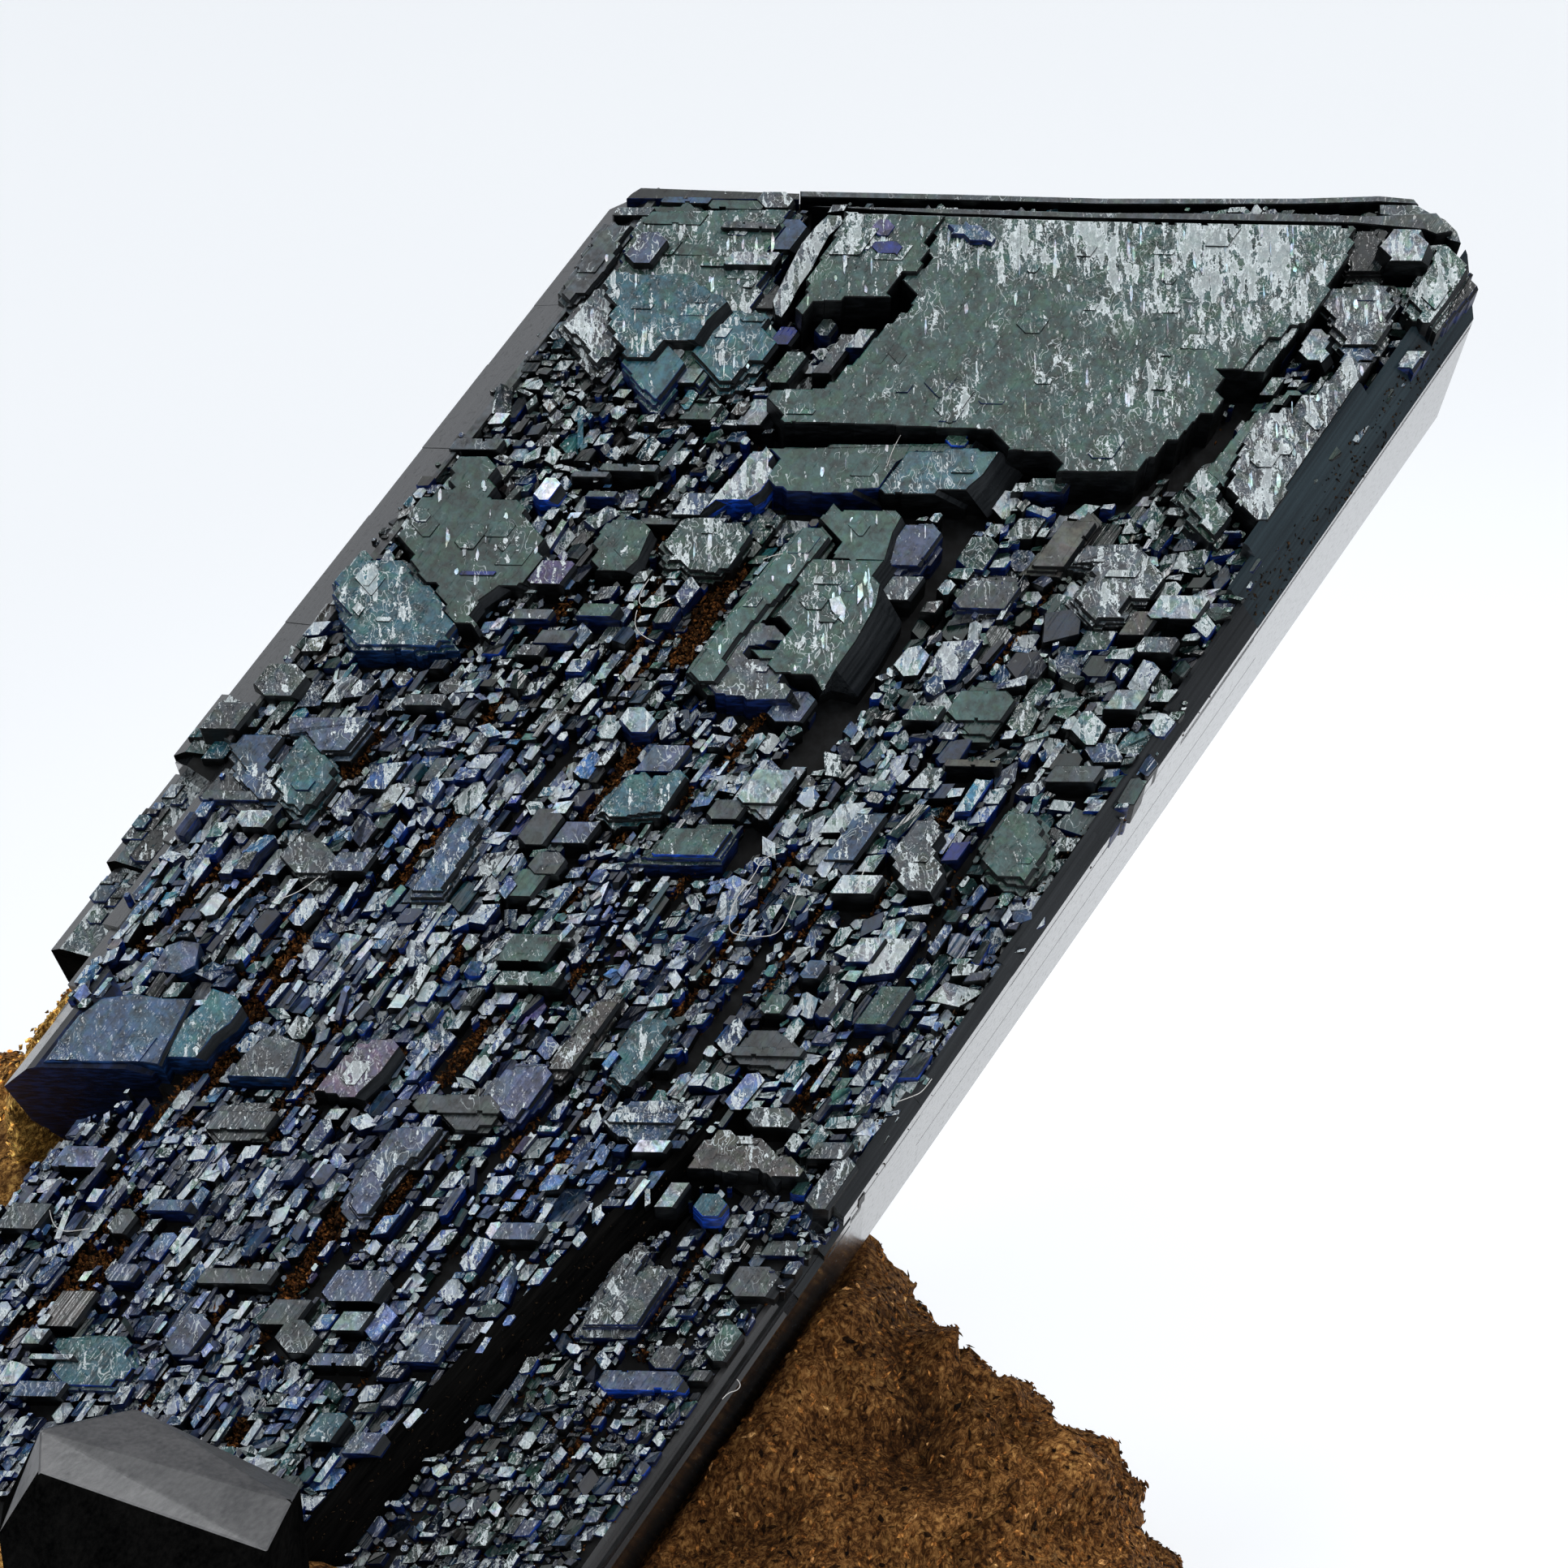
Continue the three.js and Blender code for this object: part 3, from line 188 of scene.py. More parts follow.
    ('k11', 0.55, -1.1, 'grey', 0.7, [(6.648, 9.784), (6.734, 10.308), (7.39, 10.794), (7.552, 10.54), (7.49, 10.166), (7.074, 9.78)]),
    ('k12', 0.3, -1.1, 'grey', 0.3, [(1.243, 7.841), (0.953, 8.646), (1.4, 9.223), (2.24, 9.669), (2.521, 9.057), (2.096, 8.496), (1.677, 8.341)]),
    ('k13', 0.5, -1.1, 'green', 0.5, [(0.888, 12.357), (0.783, 13.173), (1.093, 13.455), (1.75, 13.157), (1.555, 12.749)]),
    ('j2', 0.5, -1.1, 'brown', 0.1, [(2.339, 10.242), (2.497, 11.498), (2.757, 12.321), (2.906, 12.797), (3.264, 12.671), (3.297, 11.915), (3.223, 11.323), (3.044, 10.661)]),
    ('j3', 0.55, -1.1, 'grey', 0.6, [(3.41, 11.124), (3.46, 11.799), (4.75, 12.824), (5.346, 12.561), (6.08, 11.892), (5.853, 11.3), (5.515, 11.167), (5.791, 10.456), (5.096, 9.843), (4.449, 9.997), (4.101, 10.158), (4.256, 11.136), (4.033, 11.386)]),
    ('j4', 0.5, -1.1, 'white', 0.8, [(6.314, 11.442), (6.741, 12.005), (7.399, 12.492), (7.591, 12.19), (7.519, 11.073), (7.229, 11.006), (6.758, 11.081)]),
    ('j5', 0.4, -1.1, 'brown', 0.3, [(5.881, 10.058), (5.898, 10.737), (6.439, 11.311), (6.56, 10.793), (6.432, 10.239), (6.126, 9.961)]),
    ('l1', 0.6, -1.1, 'green', 0.5, [(-2.061, -4.444), (-1.831, -3.774), (-1.305, -3.219), (-1.162, -2.64), (-0.586, -2.242), (-0.299, -2.525), (-0.25, -3.164), (-1.164, -3.857)]),
    ('l2', 0.55, -1.1, 'teal', 0.6, [(-4.055, -4.132), (-4.047, -3.32), (-3.998, -2.607), (-3.755, -2.343), (-3.349, -2.354), (-2.794, -1.615), (-2.515, -2.102), (-2.475, -3.074), (-3.047, -3.565), (-3.737, -4.105)]),
    ('l3', 0.5, -1.1, 'white', 0.6, [(-0.812, -1.39), (-0.87, -0.557), (-0.398, -0.135), (0.064, 0.346), (0.257, -0.556), (0.192, -1.214), (-0.365, -1.243)]),
    ('l4', 0.4, -1.1, 'lav', 0.35, [(-3.908, -2.35), (-3.942, -1.56), (-3.981, -1.066), (-3.608, -0.808), (-3.023, -0.764), (-3.198, -1.568), (-3.618, -2.02)]),
    ('l5', 0.65, -1.1, 'white', 0.7, [(-5.274, -1.319), (-5.284, -0.606), (-4.703, -0.729), (-4.352, -1.01), (-4.508, -1.444), (-4.994, -1.453)]),
    ('l6', 0.3, -1.1, 'grey', 0.25, [(-1.328, -2.145), (-1.349, -1.675), (-1.053, -1.309), (-0.562, -1.488), (-0.527, -1.979), (-0.94, -2.264)]),
    ('l7', 0.35, -1.1, 'grey', 0.1, [(-5.71, -6.346), (-5.772, -5.36), (-5.318, -4.918), (-4.875, -4.677), (-4.979, -5.392), (-5.258, -6.29)]),
    ('l8', 0.35, -1.1, 'lav', 0.2, [(-4.65, -5.423), (-4.741, -4.778), (-4.375, -4.429), (-3.951, -4.94), (-3.922, -5.497), (-4.21, -5.696)]),
    ('l9', 0.55, -1.1, 'blue', 0.7, [(-7.265, -9.477), (-7.423, -8.377), (-7.469, -7.129), (-7.306, -6.631), (-6.977, -6.533), (-6.749, -7.273), (-6.612, -8.391), (-6.509, -8.955)]),
    ('l10', 0.45, -1.1, 'grey', 0.5, [(-11.178, -10.765), (-11.285, -10.04), (-11.102, -9.785), (-10.47, -9.798), (-9.869, -10.022), (-9.833, -10.571), (-10.261, -10.994), (-10.705, -10.982)]),
    ('l11', 0.35, -1.1, 'grey', 0.3, [(-4.92, -6.761), (-4.765, -6.207), (-4.344, -5.852), (-4.037, -6.024), (-4.172, -6.692), (-4.531, -6.875)]),
    ('l12', 0.3, -1.1, 'green', 0.2, [(-4.862, -7.784), (-4.973, -6.905), (-4.716, -6.536), (-4.317, -6.836), (-4.289, -7.643), (-4.515, -7.926)]),
    ('l13', 0.45, -1.1, 'lav', 0.5, [(-9.878, -10.093), (-9.735, -9.451), (-9.268, -9.161), (-8.976, -9.471), (-9.012, -10.26), (-9.361, -10.373)]),
    ('n7a', 0.4, -1.1, 'green', 0.3, [(-3.653, -9.705), (-3.925, -9.075), (-3.779, -8.344), (-3.554, -8.062), (-3.081, -8.808), (-2.73, -9.382), (-3.076, -9.746)]),
    ('n7b', 0.55, -1.1, 'green', 0.5, [(-3.592, -10.532), (-3.306, -9.835), (-2.716, -9.303), (-2.087, -8.995), (-1.938, -9.204), (-2.456, -9.75)]),
    ('n8', 0.4, -1.1, 'grey', 0.3, [(-3.191, -8.569), (-3.279, -7.936), (-2.812, -7.993), (-2.407, -8.218), (-2.663, -8.457)]),
    ('n1', 0.5, -1.1, 'pink', 0.5, [(-5.974, -16.24), (-5.964, -15.558), (-5.793, -14.762), (-5.602, -14.198), (-5.127, -13.686), (-4.694, -13.696), (-4.686, -14.615), (-4.859, -15.533), (-5.251, -15.986)]),
    ('n2', 0.45, -1.1, 'lav', 0.4, [(-3.086, -18.425), (-3.309, -17.554), (-3.244, -16.661), (-3.291, -16.025), (-2.678, -15.298), (-2.207, -15.034), (-2.238, -15.816), (-2.528, -16.653), (-2.583, -17.477), (-2.421, -18.268), (-2.68, -18.567)]),
    ('n3', 0.45, -1.1, 'rain2', 0.3, [(-1.554, -13.362), (-1.658, -12.758), (-1.362, -12.124), (-0.717, -11.679), (-0.401, -11.953), (-0.394, -13.052), (-0.524, -13.539), (-1.117, -13.55)]),
    ('n4', 0.4, -1.1, 'grey', 0.0, [(-3.315, -14.681), (-2.479, -13.921), (-1.406, -13.488), (-1.049, -13.732), (-1.274, -14.253), (-1.931, -14.675), (-2.474, -14.592)]),
    ('n5', 0.55, -1.1, 'brown', 0.5, [(-0.498, -11.808), (-0.621, -11.216), (-0.526, -9.913), (-0.385, -9.008), (-0.121, -8.701), (-0.005, -9.119), (-0.046, -9.954), (-0.187, -11.655)]),
    ('n6', 0.3, -1.1, 'grey', 0.1, [(-7.934, -18.779), (-8.023, -18.137), (-7.551, -17.751), (-6.857, -17.456), (-6.564, -17.927), (-6.914, -18.595), (-7.415, -18.94)]),
    ('n9', 0.3, -1.1, 'lav', 0.3, [(1.031, -16.087), (1.186, -15.68), (1.901, -15.638), (2.074, -16.418), (1.954, -16.83), (1.478, -16.499)]),
    ('n10', 0.35, -1.1, 'lav', 0.3, [(-1.873, -21.085), (-2.135, -20.612), (-1.872, -19.836), (-1.338, -19.588), (-0.878, -19.806), (-0.792, -20.489), (-1.205, -20.98)]),
    ('n11', 0.45, -1.1, 'white', 0.5, [(-1.133, -21.783), (-1.239, -21.119), (-0.897, -20.735), (-0.644, -20.916), (-0.545, -21.613)]),
    ('n12', 0.35, -1.1, 'lav', 0.3, [(-1.206, -22.983), (-1.201, -22.51), (-0.582, -21.82), (-0.123, -21.797), (0.118, -22.364), (-0.6, -22.917)]),
    ('n13', 0.35, -1.1, 'lav', 0.25, [(0.967, -20.9), (0.976, -20.305), (1.212, -19.612), (1.607, -19.87), (1.771, -20.582), (1.789, -21.214), (1.383, -21.347)]),
    ('n14', 0.4, -1.1, 'teal', 0.35, [(0.068, -24.68), (-0.026, -24.078), (0.281, -23.576), (0.632, -23.77), (0.714, -24.438), (0.505, -24.871)]),
    ('n15', 0.45, -1.1, 'lav', 0.5, [(1.295, -24.338), (1.207, -23.821), (1.566, -23.429), (1.864, -23.513), (1.866, -24.234), (1.664, -24.517)]),
    ('p1', 0.25, -1.1, 'teal', 0.2, [(-7.704, -26.609), (-6.226, -25.474), (-5.871, -25.817), (-5.349, -25.986), (-5.419, -26.444), (-5.615, -26.813), (-6.823, -27.586), (-7.256, -27.416), (-7.357, -26.899)]),
    ('p2', 0.3, -1.1, 'brown', 0.0, [(-8.496, -26.046), (-8.342, -25.229), (-8.037, -24.841), (-7.718, -25.096), (-7.643, -26.285), (-8.091, -26.565)]),
    ('p3', 0.3, -1.1, 'blue', 0.35, [(-7.741, -28.405), (-7.872, -27.852), (-7.184, -27.496), (-6.76, -27.73), (-6.739, -28.298), (-7.357, -28.665)]),
    ('p4', 0.35, -1.1, 'grey', 0.1, [(-5.382, -22.848), (-5.322, -22.212), (-4.598, -21.654), (-3.698, -21.332), (-3.679, -21.676), (-4.442, -22.26)]),
    ('p5', 0.3, -1.1, 'grey', 0.15, [(-3.126, -22.821), (-3.151, -22.189), (-2.735, -21.665), (-2.349, -21.459), (-2.276, -22.118), (-2.486, -22.676)]),
    ('p6', 0.4, -1.1, 'grey', 0.2, [(-2.417, -22.948), (-2.501, -22.358), (-1.92, -22.017), (-1.461, -22.231), (-1.566, -22.891), (-2.017, -23.084)]),
    ('p7', 0.3, -1.1, 'lav', 0.3, [(-5.15, -25.098), (-5.0, -24.112), (-4.417, -23.415), (-4.202, -23.857), (-4.46, -24.624), (-4.776, -25.194)]),
    ('p8', 0.5, -1.1, 'white', 0.9, [(-8.03, -27.132), (-7.953, -26.844), (-7.105, -26.847), (-7.026, -27.026), (-7.398, -27.4), (-7.753, -27.41)]),
    ('p9', 0.55, -1.1, 'white', 0.9, [(-8.52, -27.188), (-8.317, -26.519), (-8.089, -26.656), (-8.047, -27.097), (-8.292, -27.324)]),
    ('p10', 0.3, -1.1, 'lav', 0.1, [(-7.741, -24.281), (-7.6, -23.678), (-7.129, -23.502), (-7.057, -23.989), (-7.394, -24.339)]),
    ('p11', 0.25, -1.1, 'grey', 0.3, [(-11.428, -24.654), (-11.376, -24.016), (-10.57, -23.4), (-10.35, -23.761), (-10.755, -24.34), (-11.122, -25.043)]),
    ('p12', 0.3, -1.1, 'grey', 0.1, [(-8.639, -23.198), (-8.658, -22.7), (-8.441, -22.19), (-8.074, -22.508), (-8.157, -22.955)]),
    ('p13', 0.35, -1.1, 'blue', 0.2, [(-7.965, -21.847), (-7.872, -21.331), (-7.224, -21.065), (-7.042, -21.542), (-7.52, -21.991)]),
    ('r1', 0.5, -1.1, 'brown', 0.5, [(4.654, -11.842), (4.534, -11.076), (5.009, -10.14), (5.914, -9.821), (6.981, -9.785), (7.533, -10.161), (6.862, -10.684), (6.193, -10.782), (5.564, -11.366)]),
    ('r2', 0.6, -1.1, 'grey', 0.6, [(5.24, -9.403), (5.341, -8.905), (5.901, -8.642), (6.377, -8.863), (6.324, -9.388), (5.746, -9.664)]),
    ('r3', 0.45, -1.1, 'grey', 0.7, [(8.386, -10.764), (8.116, -10.197), (8.045, -9.49), (8.205, -8.774), (8.585, -8.815), (8.713, -9.695), (8.749, -10.695)]),
    ('r4', 0.55, -1.1, 'grey', 0.5, [(7.608, -9.368), (7.404, -8.81), (7.836, -8.451), (8.265, -8.521), (8.21, -9.044), (7.95, -9.526)]),
    ('r5', 0.5, -1.1, 'teal', 0.5, [(1.11, -10.868), (0.815, -9.9), (0.747, -9.08), (1.109, -8.613), (1.556, -8.522), (1.825, -9.204), (1.758, -10.175), (1.518, -10.894)]),
    ('r6', 0.75, -1.1, 'blue', 1.0, [(1.873, -12.015), (2.013, -11.37), (2.613, -10.742), (3.202, -10.734), (3.487, -11.268), (3.234, -11.837), (2.605, -11.997)]),
    ('r7', 0.7, -1.1, 'bright', 1.0, [(2.998, -12.136), (3.154, -11.725), (3.72, -11.517), (3.756, -12.159), (3.436, -12.379)]),
    ('r8', 0.5, -1.1, 'white', 0.7, [(4.511, -13.328), (4.494, -12.798), (4.625, -12.225), (4.899, -12.278), (4.933, -12.917), (4.796, -13.312)]),
    ('r9', 0.45, -1.1, 'teal', 0.5, [(5.357, -12.851), (5.358, -12.429), (5.683, -11.963), (6.224, -11.893), (6.285, -12.151), (5.81, -12.569)]),
    ('r10', 0.3, -1.1, 'grey', 0.1, [(3.664, -8.115), (3.738, -7.661), (4.128, -6.927), (4.545, -6.795), (5.371, -7.0), (5.038, -7.6), (4.245, -7.962)]),
    ('r11', 0.4, -1.1, 'green', 0.4, [(3.607, -6.389), (3.65, -5.798), (4.082, -5.688), (4.158, -6.321), (3.944, -6.53)]),
    ('r12', 0.4, -1.1, 'blue', 0.4, [(4.073, -4.975), (3.944, -4.437), (4.086, -4.119), (4.453, -4.306), (4.482, -4.787)]),
    ('r13', 0.4, -1.1, 'grey', 0.3, [(5.102, -5.608), (5.013, -4.952), (5.202, -4.353), (5.457, -4.552), (5.438, -5.314), (5.368, -5.735)]),
    ('r14', 0.45, -1.1, 'green', 0.5, [(6.208, -5.485), (6.121, -4.83), (6.543, -4.135), (6.666, -3.612), (6.723, -3.166), (7.039, -3.105), (7.111, -3.743), (6.812, -4.447), (6.601, -5.276)]),
    ('t1', -0.85, -2.8, 'grey', 0.6, [(4.622, -17.249), (4.48, -15.791), (4.451, -14.908), (4.678, -14.3), (4.921, -14.434), (5.046, -15.161), (5.599, -14.509), (5.842, -14.643), (5.861, -15.559), (5.898, -16.37)]),
    ('t2', -1.1, -2.8, 'grey', 0.4, [(6.779, -17.128), (6.767, -16.691), (7.106, -16.16), (7.528, -16.256), (7.353, -16.851)]),
    ('t3', -1.2, -2.8, 'lav', 0.3, [(5.919, -18.348), (5.916, -17.757), (6.004, -17.042), (6.476, -16.955), (7.214, -16.952), (7.923, -16.909), (7.899, -17.044)]),
    ('t4', -1.3, -2.8, 'green', 0.4, [(7.981, -15.895), (7.98, -15.299), (8.312, -14.711), (8.628, -14.613), (8.588, -15.238), (8.536, -15.929)]),
    ('t5', -1.2, -2.8, 'grey', 0.3, [(7.436, -13.66), (7.384, -12.942), (8.058, -12.629), (8.541, -12.9), (8.42, -13.584), (7.959, -13.902)]),
    ('t6', -1.2, -2.8, 'grey', 0.4, [(7.705, -12.116), (7.726, -11.586), (8.097, -11.391), (8.581, -11.664), (8.372, -12.352), (8.006, -12.423)]),
    ('t7', -1.4, -2.8, 'grey', 0.5, [(8.125, -16.781), (8.056, -16.175), (8.396, -16.238), (8.46, -16.669)]),
    ('wall_bit', -0.9, -2.6, 'teal', 0.7, [(2.177, -21.173), (2.126, -20.736), (2.255, -20.38), (2.579, -20.128), (2.7, -20.459), (2.611, -20.992), (2.362, -21.223)]),
    ('end_left', 0.12, -1.3, 'dark', 0.1, [(-15.641, 14.008), (-15.52, 14.344), (-11.227, 17.24), (-11.093, 17.044), (-15.674, 13.733)]),
]
# brown-filled grooves, then open grooves left bare so that the near-black painted shade of the sunk core shows in them:
# (line, half width)
GROOVES = [
    ([(-5.5, 5.372), (-5.443, 4.565), (-5.354, 3.446), (-5.245, 2.482), (-5.099, 1.513)], 0.428),
    ([(-4.413, -0.664), (-4.567, -1.592), (-4.446, -2.818), (-4.391, -3.594), (-4.591, -4.446)], 0.302),
    ([(-7.859, -6.635), (-7.928, -7.395), (-8.007, -8.352), (-7.981, -9.362)], 0.328),
    ([(-11.952, -10.492), (-11.836, -11.314), (-11.845, -12.218), (-11.932, -12.725)], 0.252),
    ([(-9.465, -12.394), (-9.379, -13.506), (-9.368, -14.883), (-9.376, -16.515), (-9.21, -17.55)], 0.403),
    ([(-4.81, -13.679), (-4.848, -14.544), (-4.915, -15.364)], 0.378),
    ([(-3.406, -18.758), (-3.316, -19.693), (-3.228, -20.745), (-3.11, -21.71)], 0.353),
    ([(-2.274, -15.145), (-2.332, -16.103), (-2.398, -17.458), (-2.408, -18.675)], 0.328),
    ([(-3.156, -11.416), (-3.213, -12.392), (-3.189, -13.556)], 0.227),
    ([(-9.146, 1.334), (-9.246, 0.592), (-9.46, 0.008)], 0.302),
    ([(-11.568, -5.764), (-11.587, -6.762), (-11.535, -7.936), (-11.647, -9.053)], 0.302),
    ([(-2.534, -1.401), (-2.472, -2.108), (-2.566, -2.855)], 0.252),
    ([(-8.4, -23.706), (-8.604, -24.746), (-8.849, -26.198), (-9.108, -27.622)], 0.252),
    ([(-1.873, -25.435), (-1.776, -26.039)], 0.302),
    ([(-11.391, 17.49), (-11.406, 16.898)], 0.227),
    ([(-9.22, 13.246), (-9.216, 12.681)], 0.151),
    ([(-7.25, -15.112), (-7.065, -15.855), (-7.012, -16.5)], 0.252),
    ([(-8.784, -18.8), (-8.846, -19.365)], 0.227),
    ([(-6.881, -2.367), (-7.346, -2.852)], 0.202),
    ([(-1.935, -7.361), (-1.822, -9.022), (-1.769, -10.461)], 0.151),
    ([(-2.672, -10.393), (-2.791, -11.415)], 0.176),
    ([(-5.374, -9.414), (-5.145, -10.366), (-5.248, -11.068)], 0.202),
    ([(-6.683, -10.793), (-6.784, -11.496)], 0.151),
    ([(-4.811, -20.331), (-4.74, -21.636)], 0.176),
    ([(1.221, -13.289), (1.147, -14.195)], 0.176),
    ([(-6.588, -22.006), (-6.762, -22.578)], 0.151),
    ([(-2.649, -25.676), (-3.052, -25.661)], 0.176),
]
BLACK = [
    ([(-10.319, 17.007), (-9.986, 15.437), (-9.974, 14.016), (-10.061, 12.747)], 0.353),
    ([(-6.802, 9.633), (-7.31, 8.763), (-7.384, 6.817), (-7.379, 5.452), (-7.401, 3.908)], 0.227),
    ([(-0.537, 12.921), (-0.376, 10.799), (-0.274, 8.319), (-0.068, 5.939), (0.032, 3.512), (-0.078, 0.968)], 0.554),
    ([(0.074, 0.746), (0.048, -1.224), (0.079, -2.817)], 0.328),
    ([(2.893, -11.402), (2.884, -13.089), (2.816, -14.048)], 0.151),
    ([(2.612, -6.474), (2.78, -8.235), (2.349, -9.773), (1.956, -12.201)], 0.176),
    ([(2.409, -3.769), (2.579, -5.553), (2.6, -7.109), (2.666, -8.935)], 0.227),
    ([(-0.085, -11.45), (-0.082, -13.144), (-0.481, -15.103)], 0.202),
    ([(-2.091, -16.212), (-2.154, -17.774), (-2.365, -19.126)], 0.202),
    ([(-0.594, -14.111), (-0.403, -16.871), (-0.725, -18.899), (-0.747, -20.705)], 0.151),
    ([(6.498, 0.006), (6.428, -2.584), (6.502, -5.358)], 0.126),
    ([(-8.658, -7.875), (-8.596, -9.441), (-8.638, -11.067)], 0.126),
    ([(4.097, 18.726), (4.589, 16.98), (4.451, 15.504)], 0.302),
    ([(4.93, 20.351), (4.836, 18.539), (5.018, 17.276)], 0.252),
    ([(-12.67, -20.802), (-11.537, -20.021)], 0.605),
]
LINT = [
    [(1.311, -2.181, 0.75), (0.981, -2.535, 0.75), (1.102, -3.279, 0.75), (1.035, -4.055, 0.75), (1.192, -4.673, 0.75), (1.497, -5.156, 0.75), (1.902, -5.003, 0.75), (2.541, -4.625, 0.75), (2.77, -4.216, 0.75), (2.656, -3.569, 0.75), (2.51, -3.006, 0.75), (2.369, -2.405, 0.75)],
    [(9.506, -16.29, 0.75), (9.706, -16.328, 0.75), (9.698, -16.566, 0.75), (9.51, -16.754, 0.75), (9.482, -17.006, 0.75)],
    [(-10.174, -23.696, 0.75), (-9.891, -23.98, 0.75), (-9.517, -23.992, 0.75), (-9.185, -23.793, 0.75), (-8.874, -23.489, 0.75)],
    [(-7.181, 2.974, 0.75), (-7.184, 2.536, 0.75), (-6.999, 2.097, 0.75), (-6.701, 2.203, 0.75), (-6.392, 2.516, 0.75), (-6.272, 2.832, 0.75)],
    [(-6.909, 1.925, 0.75), (-6.762, 1.495, 0.75), (-6.285, 1.26, 0.75), (-5.842, 1.334, 0.75)],
    [(-3.466, 11.612, 0.75), (-3.405, 10.967, 0.75), (-3.212, 10.45, 0.75)],
    [(-10.543, -12.259, 0.75), (-10.245, -11.832, 0.75), (-9.993, -11.342, 0.75), (-9.819, -10.746, 0.75)],
    [(9.145, -5.476, 0.75), (9.155, -5.929, 0.75), (8.992, -6.256, 0.75), (8.675, -6.658, 0.75)],
    [(-4.635, 5.569, 0.75), (-4.266, 6.16, 0.75), (-3.689, 6.222, 0.75), (-3.743, 5.849, 0.75)],
    [(3.683, -0.8, 0.75), (3.845, -1.483, 0.75), (3.901, -1.92, 0.75)],
]
# tinted patches: w, s, radius, kind
SPOTS = [
    (-11.42, 9.879, 0.63, 'teal'),
    (-1.901, 11.419, 0.88, 'rain'),
    (-12.201, -5.769, 0.88, 'lav'),
    (-9.969, 2.439, 0.40, 'purple'),
    (-10.678, -21.946, 0.66, 'rain2'),
    (-1.043, -12.399, 0.86, 'rain2'),
    (-5.23, -15.191, 0.55, 'pink'),
    (-1.979, -10.252, 0.55, 'purple'),
    (-0.874, -6.028, 0.66, 'teal'),
    (-0.997, -7.062, 0.50, 'pink'),
    (0.463, -24.086, 0.66, 'teal'),
    (3.948, -6.011, 0.50, 'green'),
    (-5.098, -24.84, 0.76, 'purple'),
    (0.226, -14.374, 0.60, 'purple'),
    (-7.375, -23.648, 0.55, 'purple'),
    (-2.612, -20.756, 0.55, 'purple'),
    (-3.522, 0.382, 0.60, 'blue'),
    (-0.976, -3.707, 0.66, 'blue'),
    (-6.23, -5.399, 0.60, 'navy'),
    (5.709, 1.384, 0.60, 'navy'),
    (0.0, -14.894, 0.76, 'blue'),
    (-2.216, -17.632, 0.91, 'blue'),
    (1.127, -18.926, 1.01, 'blue'),
    (-2.33, -19.516, 0.45, 'navy'),
    (0.656, -10.766, 0.45, 'navy'),
    (-3.292, -14.103, 0.35, 'navy'),
    (-7.603, -23.746, 1.51, 'lav'),
    (-4.678, -24.403, 1.51, 'lav'),
    (0.91, -20.261, 1.51, 'lav'),
    (1.184, -15.29, 1.51, 'lav'),
    (2.04, -14.399, 1.76, 'blue'),
    (3.034, -11.585, 1.26, 'blue'),
    (-3.959, -17.318, 1.51, 'lav'),
    (0.654, -3.862, 1.01, 'lav'),
    (-2.482, -6.342, 1.01, 'lav'),
    (-7.683, -5.104, 1.01, 'lav'),
    (-11.127, -5.521, 1.01, 'lav'),
]
# areas of the large plates whitened by etching and painted highlight: along the end edge, up the blade, half sizes,
# strength
ETCH_AND_HIGHLIGHT = [
    (12.12, 18.18, 5.79, 3.02, 0.72),
    (15.23, 17.36, 3.02, 3.53, 0.55),
    (7.15, 18.09, 1.51, 2.27, 0.50),
    (10.23, 13.25, 2.77, 2.02, 0.20),
    (8.67, 12.37, 1.76, 1.51, 0.15),
    (5.32, 18.06, 1.26, 1.26, 0.45),
    (2.18, 18.29, 1.26, 1.51, 0.50),
    (11.78, 13.28, 1.26, 1.76, 0.30),
]
# rock: (x, y, z), reach, height of extra swellings and hollows
ROCK_BUMPS = [
    ((17.6, -6.4, 8.6), 2.2, 0.8),
    ((7.5, -6.6, 18.6), 0.85, -1.15),
    ((5.6, -6.2, 18.8), 0.9, -1.1),
    ((8.9, -6.4, 18.4), 1.1, 0.6),
    ((6.4, -4.8, 19.8), 0.8, 0.4),
    ((-19.6, 8.6, 25.2), 2.8, 0.75),
]

# ------------------------------------------------------------------ mesh pile
TOP, WALL, SIDE, BEV, FACE, GREY, SHADE_BLK, PRISM = 0, 1, 2, 3, 4, 5, 6, 7

